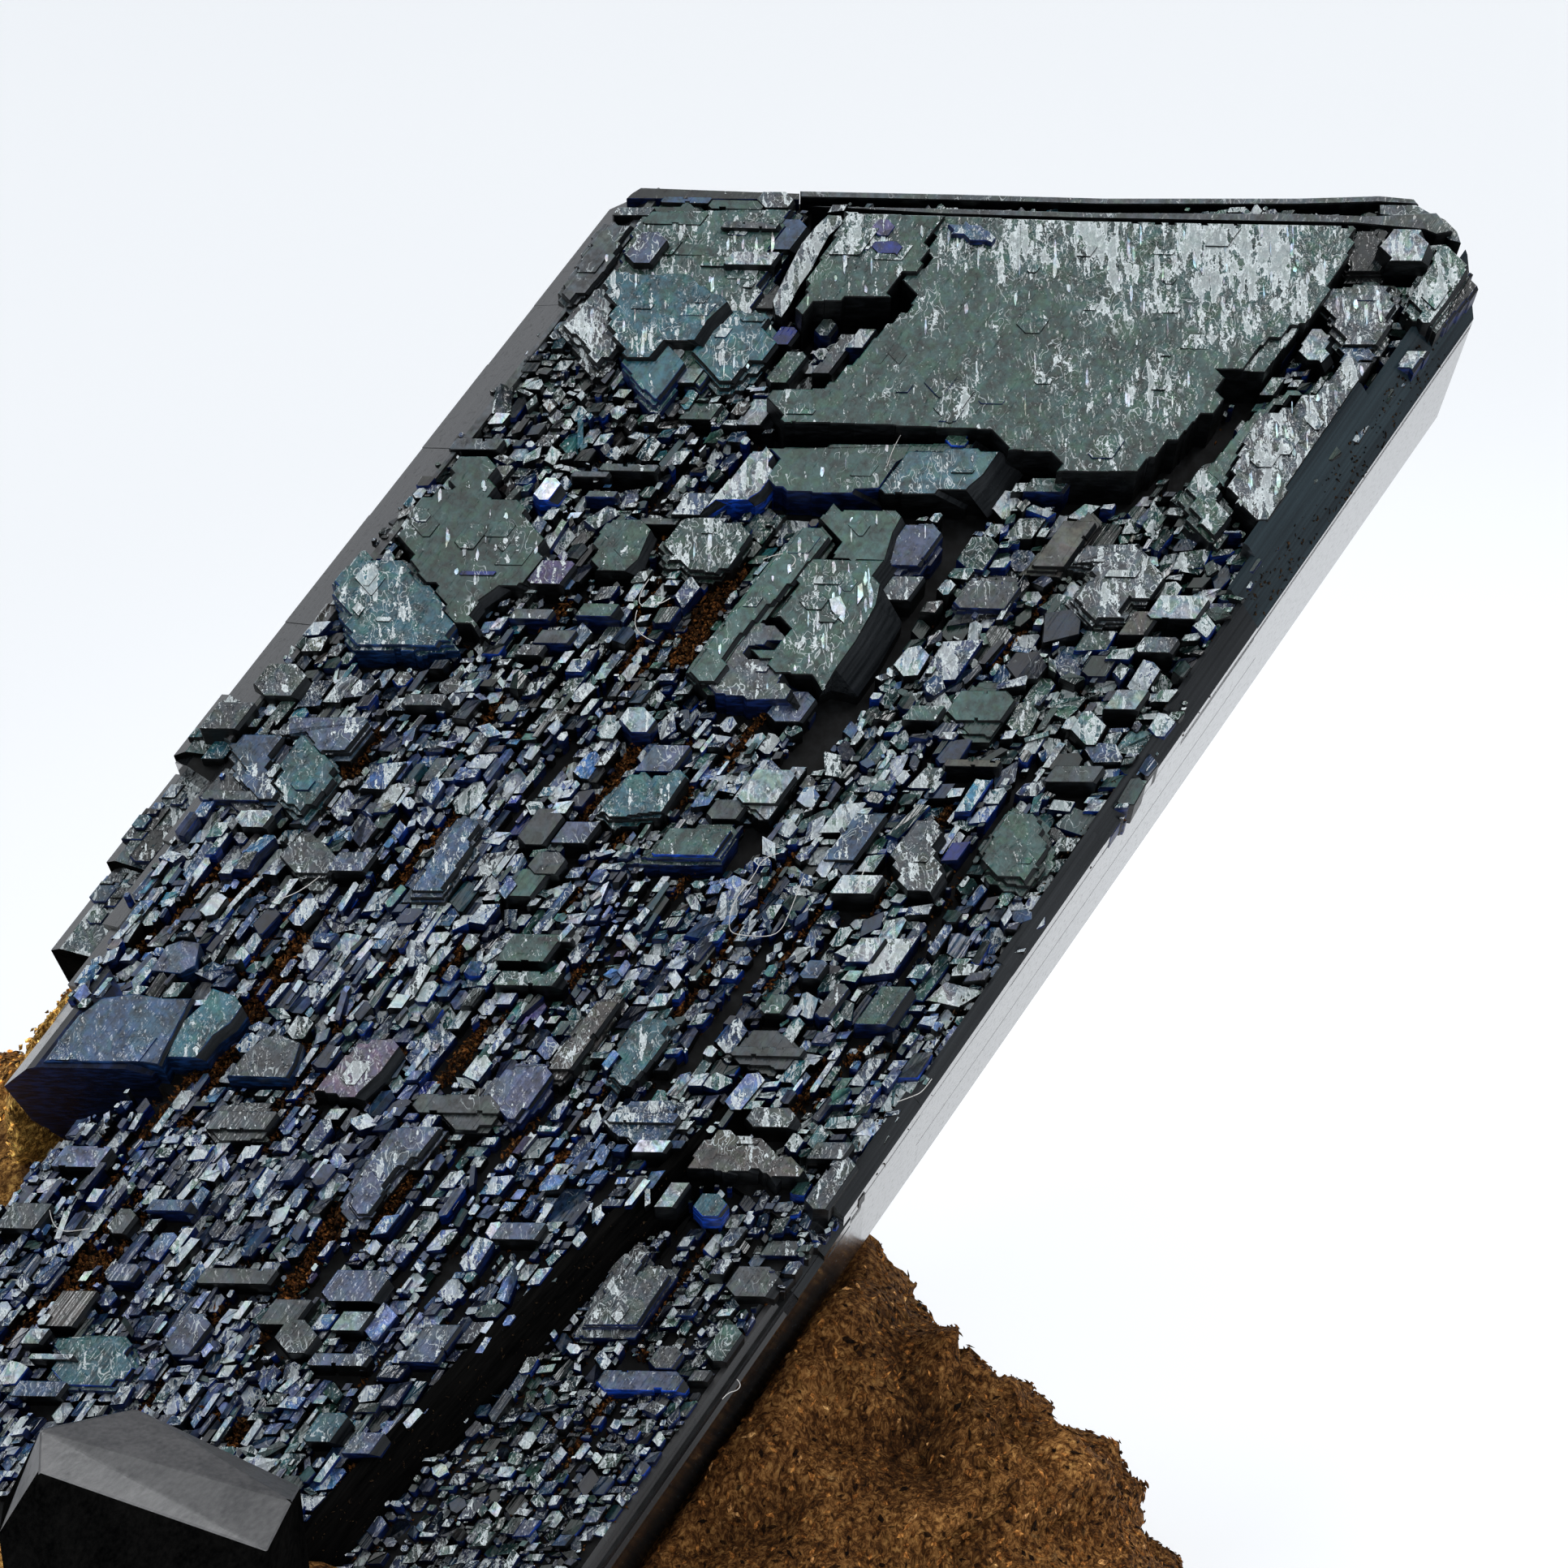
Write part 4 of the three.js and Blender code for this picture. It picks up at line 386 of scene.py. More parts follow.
class Pile:
    """Faces collected as arrays; every face has a material number and a tint."""
    def __init__(self):
        self.v, self.loops, self.sizes, self.mats, self.cols = [], [], [], [], []
        self.n = 0

    def add(self, verts, faces, mats, cols):
        verts = np.asarray(verts, np.float64).reshape(-1, 3)
        self.v.append(verts)
        for f in faces:
            self.loops.append(np.asarray(f, np.int64) + self.n)
            self.sizes.append(len(f))
        self.mats.append(np.asarray(mats, np.int64))
        self.cols.append(np.asarray(cols, np.float64).reshape(-1, 4))
        self.n += len(verts)

    def add_many(self, verts, template, mats, cols):
        """verts (k, m, 3); template: list of faces; mats (faces,) or (k, faces); cols (k, faces, 4)."""
        k, m = verts.shape[:2]
        if k == 0:
            return
        self.v.append(verts.reshape(-1, 3))
        flat = np.concatenate([np.asarray(f) for f in template])
        base = self.n + np.arange(k)[:, None] * m
        self.loops.append((flat[None, :] + base).reshape(-1))
        self.sizes.extend([len(f) for f in template] * k)
        mats = np.broadcast_to(np.asarray(mats), (k, len(template)))
        self.mats.append(mats.reshape(-1))
        self.cols.append(np.asarray(cols).reshape(-1, 4))
        self.n += k * m

    def build(self, name, materials, smooth=False):
        me = bpy.data.meshes.new(name)
        v = np.concatenate(self.v) * MM
        loops = np.concatenate(self.loops)
        sizes = np.asarray(self.sizes, np.int64)
        starts = np.concatenate([[0], np.cumsum(sizes)[:-1]])
        me.vertices.add(len(v))
        me.vertices.foreach_set("co", v.astype(np.float32).ravel())
        me.loops.add(len(loops))
        me.loops.foreach_set("vertex_index", loops.astype(np.int32))
        me.polygons.add(len(sizes))
        me.polygons.foreach_set("loop_start", starts.astype(np.int32))
        me.polygons.foreach_set("material_index", np.concatenate(self.mats).astype(np.int32))
        me.update(calc_edges=True)
        me.validate()
        cols = np.concatenate(self.cols)
        if len(me.polygons) == len(sizes):
            per = np.repeat(cols, sizes, axis=0)
            att = me.color_attributes.new("tint", "FLOAT_COLOR", "CORNER")
            att.data.foreach_set("color", per.astype(np.float32).ravel())
        else:
            raise RuntimeError(name + ": faces were dropped")
        me.polygons.foreach_set("use_smooth", np.full(len(sizes), smooth))
        for m in materials:
            me.materials.append(m)
        ob = bpy.data.objects.new(name, me)
        bpy.context.scene.collection.objects.link(ob)
        tris = int((sizes - 2).sum())
        print(name, "triangles", tris)
        return ob

def area2(poly):
    x, y = poly[:, 0], poly[:, 1]
    return 0.5 * np.sum(x * np.roll(y, -1) - np.roll(x, -1) * y)

def ccw(poly):
    poly = np.asarray(poly, float)
    return poly if area2(poly) > 0 else poly[::-1]

def offset(poly, dist):
    """Move each edge of a CCW outline outward by dist[edge] (edge i joins i and i+1)."""
    n = len(poly)
    d = np.broadcast_to(np.asarray(dist, float), (n,))
    e = np.roll(poly, -1, 0) - poly
    ln = np.maximum(np.linalg.norm(e, axis=1), 1e-9)
    nrm = np.stack([e[:, 1], -e[:, 0]], 1) / ln[:, None]
    out = poly.copy()
    for i in range(n):
        n1, n2 = nrm[i - 1], nrm[i]
        d1, d2 = d[i - 1], d[i]
        det = n1[0] * n2[1] - n1[1] * n2[0]
        if abs(det) < 0.25:
            m = n1 + n2
            m = m / max(np.linalg.norm(m), 1e-6)
            out[i] = poly[i] + m * 0.5 * (d1 + d2)
        else:
            x = (d1 * n2[1] - d2 * n1[1]) / det
            y = (n1[0] * d2 - n2[0] * d1) / det
            mv = np.array([x, y])
            lim = 2.2 * max(abs(d1), abs(d2))
            ln_mv = np.linalg.norm(mv)
            if ln_mv > lim:
                mv *= lim / ln_mv
            out[i] = poly[i] + mv
    return out

def edge_class(poly):
    """-1 left prism side, +1 right prism side, 2 lower end, 3 upper end for every edge of a CCW outline."""
    e = np.roll(poly, -1, 0) - poly
    out = []
    for dx, dy in e:
        if abs(dy) > 2.2 * abs(dx):
            out.append(1 if dy > 0 else -1)
        else:
            out.append(2 if dx > 0 else 3)
    return np.array(out)

# white is a whitened tint, partly etching and partly painted highlight; bright is a painted glint
TINTS = {
    "green": (0.026, 0.058, 0.048), "grey": (0.046, 0.056, 0.058), "teal": (0.018, 0.070, 0.082),
    "blue": (0.024, 0.052, 0.094), "lav": (0.044, 0.060, 0.098), "purple": (0.062, 0.050, 0.108),
    "white": (0.17, 0.20, 0.20), "bright": (0.62, 0.66, 0.67), "navy": (0.004, 0.014, 0.10),
    "dark": (0.010, 0.013, 0.013), "brown": (0.060, 0.056, 0.048), "pink": (0.080, 0.060, 0.088),
    "rain": (0.035, 0.085, 0.095), "rain2": (0.060, 0.075, 0.13),
}
# the first colour is painted shade: near black for walls, the sunk core and gap floors, far darker than the tops of the
# same crystal
PAINTED_SHADE_WALL, NAVY_WALL, BLUE_WALL = (.0035, .004, .0045), (.004, .012, .060), (.006, .045, .33)

LATTICE = [unit([1, .662]), np.array([0.0, 1.0]), unit([-1, .257]), unit([-1, -.662]), np.array([0.0, -1.0]), unit([1, -.257])]

def nibble(poly, g, step=.26, keep_right=False):
    """Redraw every edge of an outline as small steps along the crystal's own edge directions."""
    poly = ccw(poly)
    out = []
    n = len(poly)
    for i in range(n):
        a, b = poly[i], poly[(i + 1) % n]
        out.append(a)
        d = b - a
        ln = np.hypot(*d)
        if ln < .12 or (keep_right and abs(d[1]) > 2.2 * abs(d[0]) and d[1] > 0):
            continue
        for k in range(6):
            u, v = LATTICE[k], LATTICE[(k + 1) % 6]
            det = u[0] * v[1] - u[1] * v[0]
            al = (d[0] * v[1] - d[1] * v[0]) / det
            be = (u[0] * d[1] - u[1] * d[0]) / det
            if al >= -1e-9 and be >= -1e-9:
                break
        else:
            continue
        small = min(al, be)
        if small < .05:
            # nearly along a crystal edge: a few shallow nicks only
            main = u if al > be else v
            if ln > 1.3:
                m = int(ln / .8)
                side = np.array([main[1], -main[0]])
                for q in range(1, m + 1):
                    if g.random() < .45:
                        t0 = (q - .5 + g.uniform(-.3, .3)) / (m + .5)
                        nick = g.uniform(.03, .09)
                        t1 = t0 + g.uniform(.06, .22) / ln
                        if t1 < .97:
                            out += [a + d * t0, a + d * t0 - side * nick, a + d * t1 - side * nick, a + d * t1]
            continue
        m = int(np.clip(round(ln / step), 1, 14))
        wa = g.uniform(.15, 1.9, m) ** 1.4; wa *= al / wa.sum()
        wb = g.uniform(.15, 1.9, m) ** 1.4; wb *= be / wb.sum()
        first = g.random() < .5
        pcur = a.copy()
        for q in range(m):
            for w_ in ((0, 1) if first else (1, 0)):
                pcur = pcur + (u * wa[q] if w_ == 0 else v * wb[q])
                out.append(pcur.copy())
        out.pop()
    out = np.array(out)
    keep = np.hypot(*(out - np.roll(out, 1, 0)).T) > .012
    return out[keep]

def angular(outline, g):
    """The parallel-sided crystal that best fills a small outline."""
    po = ccw(outline)
    lo, hi = po.min(0), po.max(0)
    W, L = .94 * (hi[0] - lo[0]), .97 * (hi[1] - lo[1])
    x0 = .45 * W if g.random() < .6 else g.uniform(-.1, .45) * W
    hx = hexagon(W, max(L, .8 * W), x0)
    k = math.sqrt(min(1.25, 1.12 * abs(area2(po)) / max(area2(hx), 1e-3)))
    return hx * k + .5 * (lo + hi)

def plate(pile, outline, top, base, tint, white, chamfer=0.035, bevel=0.0, tilt=(0.0, 0.0), wallcol=None):
    """A plate with a flat top, a fine chamfer, steep ends and, on its right side, a prism face of the given drop."""
    poly = ccw(outline)
    n = len(poly)
    cls = edge_class(poly)
    mid = poly.mean(0)
    def lift(q, h):
        return np.column_stack([q, h + (q - mid) @ np.asarray(tilt)])
    inner = offset(poly, -chamfer)
    rings = [lift(inner, top), lift(poly, top - chamfer)]
    if bevel > 0:
        run = np.where(cls == 1, bevel / K, np.where(cls == -1, 0.25 * bevel / K, 0.0))
        rings.append(lift(offset(poly, run), top - chamfer - bevel))
        last = offset(poly, run)
    else:
        last = poly
    rings.append(np.column_stack([last, np.full(n, base)]))
    pts = place(np.concatenate(rings))
    faces, mats, cols = [list(range(n))], [TOP], [(*tint, white)]
    wc = wallcol if wallcol is not None else PAINTED_SHADE_WALL
    for r in range(len(rings) - 1):
        for i in range(n):
            j = (i + 1) % n
            faces.append([(r + 1) * n + i, (r + 1) * n + j, r * n + j, r * n + i])
            if r == 0:
                # chamfers on the left side and upper end take the top material with 1.5 times the tint and more
                # whitening: painted highlight; the others take the wall colour
                if cls[i] in (-1, 3):
                    mats.append(TOP); cols.append((*(np.array(tint) * 1.5), min(1, white + .15)))
                else:
                    mats.append(WALL); cols.append((*wc, 0))
            elif bevel > 0 and r == 1 and cls[i] in (1, -1):
                mats.append(BEV); cols.append((*wc, 0))
            else:
                mats.append(WALL); cols.append((*wc, 0))
    k = (len(rings) - 1) * n
    faces.append([k + n - 1 - i for i in range(n)])
    mats.append(WALL); cols.append((*wc, 0))
    pile.add(pts, faces, mats, cols)

def extrude(pile, section, end, foot, mats, tint=(0.03, 0.035, 0.035), capmat=WALL, white=0.0, caps=None):
    """A long prism along C: section [(w, h)...] counter-clockwise seen from the tip, between foot(w) and end(w)."""
    k = len(section)
    a = [(w, foot(w), h) for w, h in section] + [(w, end(w), h) for w, h in section]
    faces, fm, cols = [], [], []
    for i in range(k):
        j = (i + 1) % k
        faces.append([i, j, k + j, k + i])
        fm.append(mats[i]); cols.append((*tint, white))
    faces.append(list(range(k))[::-1]); fm.append(capmat); cols.append((*tint, white))
    for cap in (caps or [list(range(k))]):
        faces.append([k + i for i in cap]); fm.append(capmat); cols.append((*tint, white))
    sec = np.array(section)
    pts = place(np.array(a))
    # keep the faces pointing out whichever way the section runs
    if area2(sec) > 0:
        faces = [f[::-1] for f in faces]
    pile.add(pts, faces, fm, cols)

def hexagon(W, L, x0):
    T = L / 2
    e1, e2 = .662, .257
    return np.array([
        [-W / 2, -T + e2 * (W / 2 - x0)], [-x0, -T], [W / 2, -T + e1 * (x0 + W / 2)],
        [W / 2, T - e2 * (W / 2 - x0)], [x0, T], [-W / 2, T - e1 * (x0 + W / 2)]])

def inside(px, py, poly):
    """Which points lie in an outline."""
    res = np.zeros(px.shape, bool)
    n = len(poly)
    j = n - 1
    for i in range(n):
        xi, yi = poly[i]
        xj, yj = poly[j]
        if yi != yj:
            hit = ((yi > py) != (yj > py)) & (px < (xj - xi) * (py - yi) / (yj - yi) + xi)
            res ^= hit
        j = i
    return res

def seg_dist(px, py, line):
    """Distance to a polyline."""
    best = np.full(px.shape, 1e9)
    for (x0, y0), (x1, y1) in zip(line[:-1], line[1:]):
        dx, dy = x1 - x0, y1 - y0
        t = np.clip(((px - x0) * dx + (py - y0) * dy) / (dx * dx + dy * dy), 0, 1)
        best = np.minimum(best, np.hypot(px - x0 - t * dx, py - y0 - t * dy))
    return best

def wave(x, y, seed, octaves=3):
    """Smooth seeded noise about -1..1, made of sines."""
    g = np.random.default_rng(seed)
    out = np.zeros_like(x, dtype=float)
    amp, f, tot = 1.0, 1.0, 0.0
    for _ in range(octaves):
        for _ in range(4):
            a = g.uniform(0, 2 * np.pi)
            k = f * g.uniform(.7, 1.4)
            out += amp * np.sin(k * (np.cos(a) * x + np.sin(a) * y) + g.uniform(0, 6.28)) / 2.0
        tot += amp
        amp *= .55
        f *= 2.1
    return out / tot / 1.1

# ------------------------------------------------------------------ materials
def new_mat(name):
    m = bpy.data.materials.new(name)
    m.use_nodes = True
    nt = m.node_tree
    for n in list(nt.nodes):
        nt.nodes.remove(n)
    out = nt.nodes.new("ShaderNodeOutputMaterial")
    b = nt.nodes.new("ShaderNodeBsdfPrincipled")
    nt.links.new(b.outputs[0], out.inputs[0])
    return m, nt, b

class G:
    """Short helpers for building node graphs."""
    def __init__(self, nt):
        self.nt = nt

    def node(self, kind, **kw):
        n = self.nt.nodes.new(kind)
        for k, v in kw.items():
            setattr(n, k, v)
        return n

    def link(self, a, b):
        self.nt.links.new(a, b)

    def math(self, op, a, b=None, c=None, clamp=False):
        n = self.node("ShaderNodeMath", operation=op, use_clamp=clamp)
        for i, x in enumerate((a, b, c)):
            if x is None:
                continue
            if isinstance(x, (int, float)):
                n.inputs[i].default_value = x
            else:
                self.link(x, n.inputs[i])
        return n.outputs[0]

    def dot(self, v, d):
        n = self.node("ShaderNodeVectorMath", operation="DOT_PRODUCT")
        self.link(v, n.inputs[0])
        n.inputs[1].default_value = tuple(d)
        return n.outputs["Value"]

    def combine(self, x, y, z):
        n = self.node("ShaderNodeCombineXYZ")
        for i, a in enumerate((x, y, z)):
            if isinstance(a, (int, float)):
                n.inputs[i].default_value = a
            else:
                self.link(a, n.inputs[i])
        return n.outputs[0]

    def noise(self, v, scale, detail=3.0, rough=0.55, dist=0.0):
        n = self.node("ShaderNodeTexNoise")
        self.link(v, n.inputs["Vector"])
        n.inputs["Scale"].default_value = scale
        n.inputs["Detail"].default_value = detail
        n.inputs["Roughness"].default_value = rough
        n.inputs["Distortion"].default_value = dist
        return n.outputs["Fac"]

    def ramp(self, fac, stops, interp="LINEAR"):
        n = self.node("ShaderNodeValToRGB")
        n.color_ramp.interpolation = interp
        els = n.color_ramp.elements
        while len(els) < len(stops):
            els.new(0.5)
        for e, (p, c) in zip(els, stops):
            e.position = p
            e.color = (*c, 1) if len(c) == 3 else c
        self.link(fac, n.inputs[0])
        return n.outputs[0]

    def step(self, fac, lo, hi):
        n = self.node("ShaderNodeMapRange", interpolation_type="SMOOTHSTEP")
        self.link(fac, n.inputs["Value"])
        for k, x in (("From Min", lo), ("From Max", hi)):
            if isinstance(x, (int, float)):
                n.inputs[k].default_value = x
            else:
                self.link(x, n.inputs[k])
        return n.outputs[0]

    def mix(self, fac, a, b, mode="MIX"):
        n = self.node("ShaderNodeMix", data_type="RGBA", blend_type=mode)
        for k, x in ((0, fac), (6, a), (7, b)):
            if isinstance(x, (int, float)):
                n.inputs[k].default_value = x
            elif isinstance(x, tuple):
                n.inputs[k].default_value = (*x, 1)
            else:
                self.link(x, n.inputs[k])
        return n.outputs[2]

    def crystal_coords(self):
        tc = self.node("ShaderNodeTexCoord").outputs["Object"]
        sub = self.node("ShaderNodeVectorMath", operation="SUBTRACT")
        self.link(tc, sub.inputs[0])
        sub.inputs[1].default_value = tuple(O * MM)
        q = sub.outputs[0]
        f = 1000.0
        return (self.dot(q, P * f), self.dot(q, C * f), self.dot(q, N * f), self.dot(q, E_DIR * f), self.dot(q, V_DIR * f), q)

    def bump(self, height, strength, dist):
        n = self.node("ShaderNodeBump")
        n.inputs["Strength"].default_value = strength
        n.inputs["Distance"].default_value = dist
        self.link(height, n.inputs["Height"])
        return n.outputs[0]

def crystal_top():
    m, nt, b = new_mat("vivianite_top")
    g = G(nt)
    w, s, h, e, v, q = g.crystal_coords()
    att = g.node("ShaderNodeAttribute", attribute_name="tint")
    tint, alpha = att.outputs["Color"], att.outputs["Alpha"]
    # places where the large plates are whitened: etching and painted highlight
    dens = alpha
    for (be, bv, re_, rv, amp) in ETCH_AND_HIGHLIGHT:
        de = g.math("MULTIPLY", g.math("SUBTRACT", e, be), 1.0 / re_)
        dv = g.math("MULTIPLY", g.math("SUBTRACT", v, bv), 1.0 / rv)
        d2 = g.math("ADD", g.math("MULTIPLY", de, de), g.math("MULTIPLY", dv, dv))
        dens = g.math("ADD", dens, g.math("MULTIPLY", g.math("MULTIPLY", g.math("SUBTRACT", 1.0, d2, clamp=True), amp), g.step(h, .75, 1.0)))
    ev = g.combine(e, g.math("MULTIPLY", v, .26), g.math("MULTIPLY", h, 1.0))
    n_a = g.noise(ev, 3.9, 2.0, .5, .30)
    n_b = g.noise(g.combine(e, g.math("MULTIPLY", v, .75), h), 9.5, 2.0, .6, .8)
    n_c = g.noise(g.combine(w, s, h), .62, 2.0, .5)
    field = g.math("ADD", g.math("MULTIPLY", n_a, .66), g.math("MULTIPLY", n_b, .26))
    field = g.math("ADD", field, g.math("MULTIPLY", n_c, .30))
    lo = g.math("SUBTRACT", .80, g.math("MULTIPLY", g.math("MINIMUM", dens, 1.15), .20))
    fill = g.step(field, lo, g.math("ADD", lo, .030))
    core = g.step(field, g.math("ADD", lo, .035), g.math("ADD", lo, .085))
    rim = g.math("MULTIPLY", fill, g.math("SUBTRACT", 1.0, g.math("MULTIPLY", core, .55)))
    # thin bright contour lines: painted highlight
    n_d = g.noise(g.combine(e, g.math("MULTIPLY", v, .6), h), 3.3, 1.5, .5, .9)
    line = g.math("SUBTRACT", 1.0, g.step(g.math("ABSOLUTE", g.math("SUBTRACT", n_d, .5)), .006, .022))
    where = g.step(g.math("ADD", n_c, g.math("MULTIPLY", dens, .22)), .56, .70)
    line = g.math("MULTIPLY", g.math("MULTIPLY", line, where), .62)
    mask = g.math("MAXIMUM", rim, line)
    # body colour: mottled, with soft film tints
    soft = g.noise(g.combine(w, g.math("MULTIPLY", s, .7), h), 1.9, 3.0, .6)
    patch = g.noise(g.combine(e, v, h), 4.8, 2.0, .6, .5)
    shade = g.math("ADD", g.math("MULTIPLY", g.step(soft, .30, .70), .95), g.math("MULTIPLY", g.step(patch, .35, .65), .60))
    shade = g.math("ADD", shade, .22)
    body = g.mix(1.0, tint, g.combine(shade, shade, shade), "MULTIPLY")
    film = g.noise(g.combine(w, s, h), 1.5, 1.5, .5, .6)
    hue = g.ramp(film, [(0.30, (1.05, 1.10, 0.75)), (0.40, (0.65, 1.20, 0.95)), (0.48, (0.65, 1.05, 1.45)), (0.55, (0.95, 0.92, 1.30)), (0.62, (1.15, 0.92, 1.05)), (0.72, (0.75, 1.25, 0.80))])
    amt = g.math("ADD", .35, g.math("MULTIPLY", dens, .25), clamp=True)
    body = g.mix(amt, body, g.mix(1.0, body, hue, "MULTIPLY"))
    white = g.mix(n_b, (0.40, 0.46, 0.47), (0.80, 0.86, 0.87))
    col = g.mix(mask, body, white)
    g.link(col, b.inputs["Base Color"])
    r = g.math("ADD", 0.10, g.math("MULTIPLY", soft, 0.14))
    r = g.math("ADD", r, g.math("MULTIPLY", mask, 0.18))
    g.link(r, b.inputs["Roughness"])
    b.inputs["IOR"].default_value = 1.6
    lines = g.noise(g.combine(g.math("MULTIPLY", w, 5.0), g.math("MULTIPLY", s, 0.12), 0.0), 2.0, 2.0, .5)
    amp = g.math("ADD", .10, g.math("MULTIPLY", dens, .9))
    hh = g.math("MULTIPLY", g.math("ADD", g.math("MULTIPLY", n_d, 1.3), g.math("MULTIPLY", patch, .5)), amp)
    hh = g.math("ADD", hh, g.math("MULTIPLY", lines, .25))
    hh = g.math("ADD", hh, g.math("MULTIPLY", fill, .22))
    g.link(g.bump(hh, 0.9, 0.00010), b.inputs["Normal"])
    return m

def crystal_wall():
    m, nt, b = new_mat("vivianite_wall")
    g = G(nt)
    w, s, h, e, v, q = g.crystal_coords()
    n1 = g.noise(g.combine(w, s, g.math("MULTIPLY", h, 2.0)), 2.2, 3.0, .6)
    att = g.node("ShaderNodeAttribute", attribute_name="tint")
    k = g.math("ADD", .35, g.math("MULTIPLY", g.step(n1, .42, .66), 1.5))
    g.link(g.mix(1.0, att.outputs["Color"], g.combine(k, k, k), "MULTIPLY"), b.inputs["Base Color"])
    lines = g.noise(g.combine(g.math("MULTIPLY", e, 1.2), g.math("MULTIPLY", s, .5), g.math("MULTIPLY", h, 6.0)), 2.2, 2.0, .5)
    g.link(g.math("ADD", .30, g.math("MULTIPLY", lines, .25)), b.inputs["Roughness"])
    b.inputs["IOR"].default_value = 1.6
    b.inputs["Specular IOR Level"].default_value = 0.10
    g.link(g.bump(lines, 0.35, 0.00003), b.inputs["Normal"])
    return m

def crystal_side(name, ior_level, base_lo, base_hi, rough, coat=0.0):
    """Large prism and side faces: near black, glossy, finely striated along the crystal."""
    m, nt, b = new_mat(name)
    g = G(nt)
    w, s, h, e, v, q = g.crystal_coords()
    lines = g.noise(g.combine(g.math("MULTIPLY", w, 9.0), g.math("MULTIPLY", s, 0.05), g.math("MULTIPLY", h, 9.0)), 0.9, 3.0, .6)
    broad = g.noise(g.combine(g.math("MULTIPLY", w, 1.0), g.math("MULTIPLY", s, 0.16), h), 0.8, 3.0, .6)
    grit = g.noise(g.combine(w, s, h), 5.0, 3.0, .6)
    tone = g.math("ADD", g.math("MULTIPLY", lines, .5), g.math("MULTIPLY", broad, .5))
    g.link(g.ramp(tone, [(0.36, base_lo), (0.64, base_hi)]), b.inputs["Base Color"])
    g.link(g.math("ADD", rough, g.math("MULTIPLY", g.step(grit, .5, .8), .18)), b.inputs["Roughness"])
    b.inputs["IOR"].default_value = 1.6
    b.inputs["Specular IOR Level"].default_value = ior_level
    b.inputs["Coat Weight"].default_value = coat
    b.inputs["Coat IOR"].default_value = 1.6
    b.inputs["Coat Roughness"].default_value = 0.06
    g.link(g.bump(g.math("ADD", lines, g.math("MULTIPLY", grit, .15)), 0.30, 0.000012), b.inputs["Normal"])
    return m

def earthy(name, dark, mid, light, gold, scale=1.0):
    """Limonite: a dull iron-brown earthy crust, mottled, with dark seams."""
    m, nt, b = new_mat(name)
    g = G(nt)
    tc = g.node("ShaderNodeTexCoord").outputs["Object"]
    mp = g.node("ShaderNodeMapping")
    g.link(tc, mp.inputs[0])
    mp.inputs["Scale"].default_value = (1000, 1000, 1000)
    p = mp.outputs[0]
    mp2 = g.node("ShaderNodeMapping")
    g.link(tc, mp2.inputs[0])
    mp2.inputs["Scale"].default_value = (1000, 1000, 480)
    mp2.inputs["Rotation"].default_value = (.25, .35, 0)
    p2 = mp2.outputs[0]
    big = g.noise(p, 0.16 * scale, 4.0, .6)
    med = g.noise(p2, 0.8 * scale, 4.0, .65, .4)
    fib = g.noise(p2, 5.0 * scale, 4.0, .72, 1.6)
    vor = g.node("ShaderNodeTexVoronoi", feature="F1")
    g.link(p2, vor.inputs["Vector"])
    vor.inputs["Scale"].default_value = 4.6 * scale
    cell = vor.outputs["Distance"]
    t = g.math("ADD", g.math("MULTIPLY", fib, .85), g.math("MULTIPLY", med, .22))
    t = g.math("ADD", t, g.math("MULTIPLY", big, .16))
    t = g.math("SUBTRACT", t, g.math("MULTIPLY", cell, .16))
    col = g.ramp(t, [(0.38, dark), (0.50, mid), (0.60, light), (0.72, gold)])
    att = g.node("ShaderNodeAttribute", attribute_name="tint")
    col = g.mix(1.0, col, g.mix(1.0, att.outputs["Color"], (2.0, 2.0, 2.0), "MULTIPLY"), "MULTIPLY")
    g.link(col, b.inputs["Base Color"])
    g.link(g.math("ADD", .72, g.math("MULTIPLY", fib, .25)), b.inputs["Roughness"])
    b.inputs["IOR"].default_value = 1.5
    b.inputs["Specular IOR Level"].default_value = 0.10
    hh = g.math("ADD", g.math("MULTIPLY", fib, 1.0), g.math("MULTIPLY", med, .6))
    g.link(g.bump(hh, 0.8, 0.00022), b.inputs["Normal"])
    return m

M_TOP = crystal_top()
M_WALL = crystal_wall()
M_SIDE = crystal_side("vivianite_side", 0.5, (0.004, 0.0045, 0.005), (0.018, 0.020, 0.022), 0.06)
M_BEV = crystal_side("vivianite_bevel", 0.07, (0.0035, 0.0045, 0.0055), (0.026, 0.029, 0.032), 0.24)
# a near-black sheet with no reflection, painted shade, for the long step, the ends of the crystals past the left edge
# and the front crystal's steep faces
M_PAINTED_SHADE = crystal_side("vivianite_painted_shade", 0.0, (0.0008, 0.0009, 0.001), (0.0055, 0.0053, 0.005), 0.30)
M_PAINTED_SHADE.node_tree.nodes["Principled BSDF"].inputs["IOR"].default_value = 1.10
M_FACE = crystal_side("vivianite_face", 0.5, (0.013, 0.014, 0.015), (0.026, 0.027, 0.028), 0.15, 0.15)
M_GREY = crystal_side("vivianite_grey", 0.27, (0.012, 0.013, 0.014), (0.030, 0.030, 0.031), 0.22)
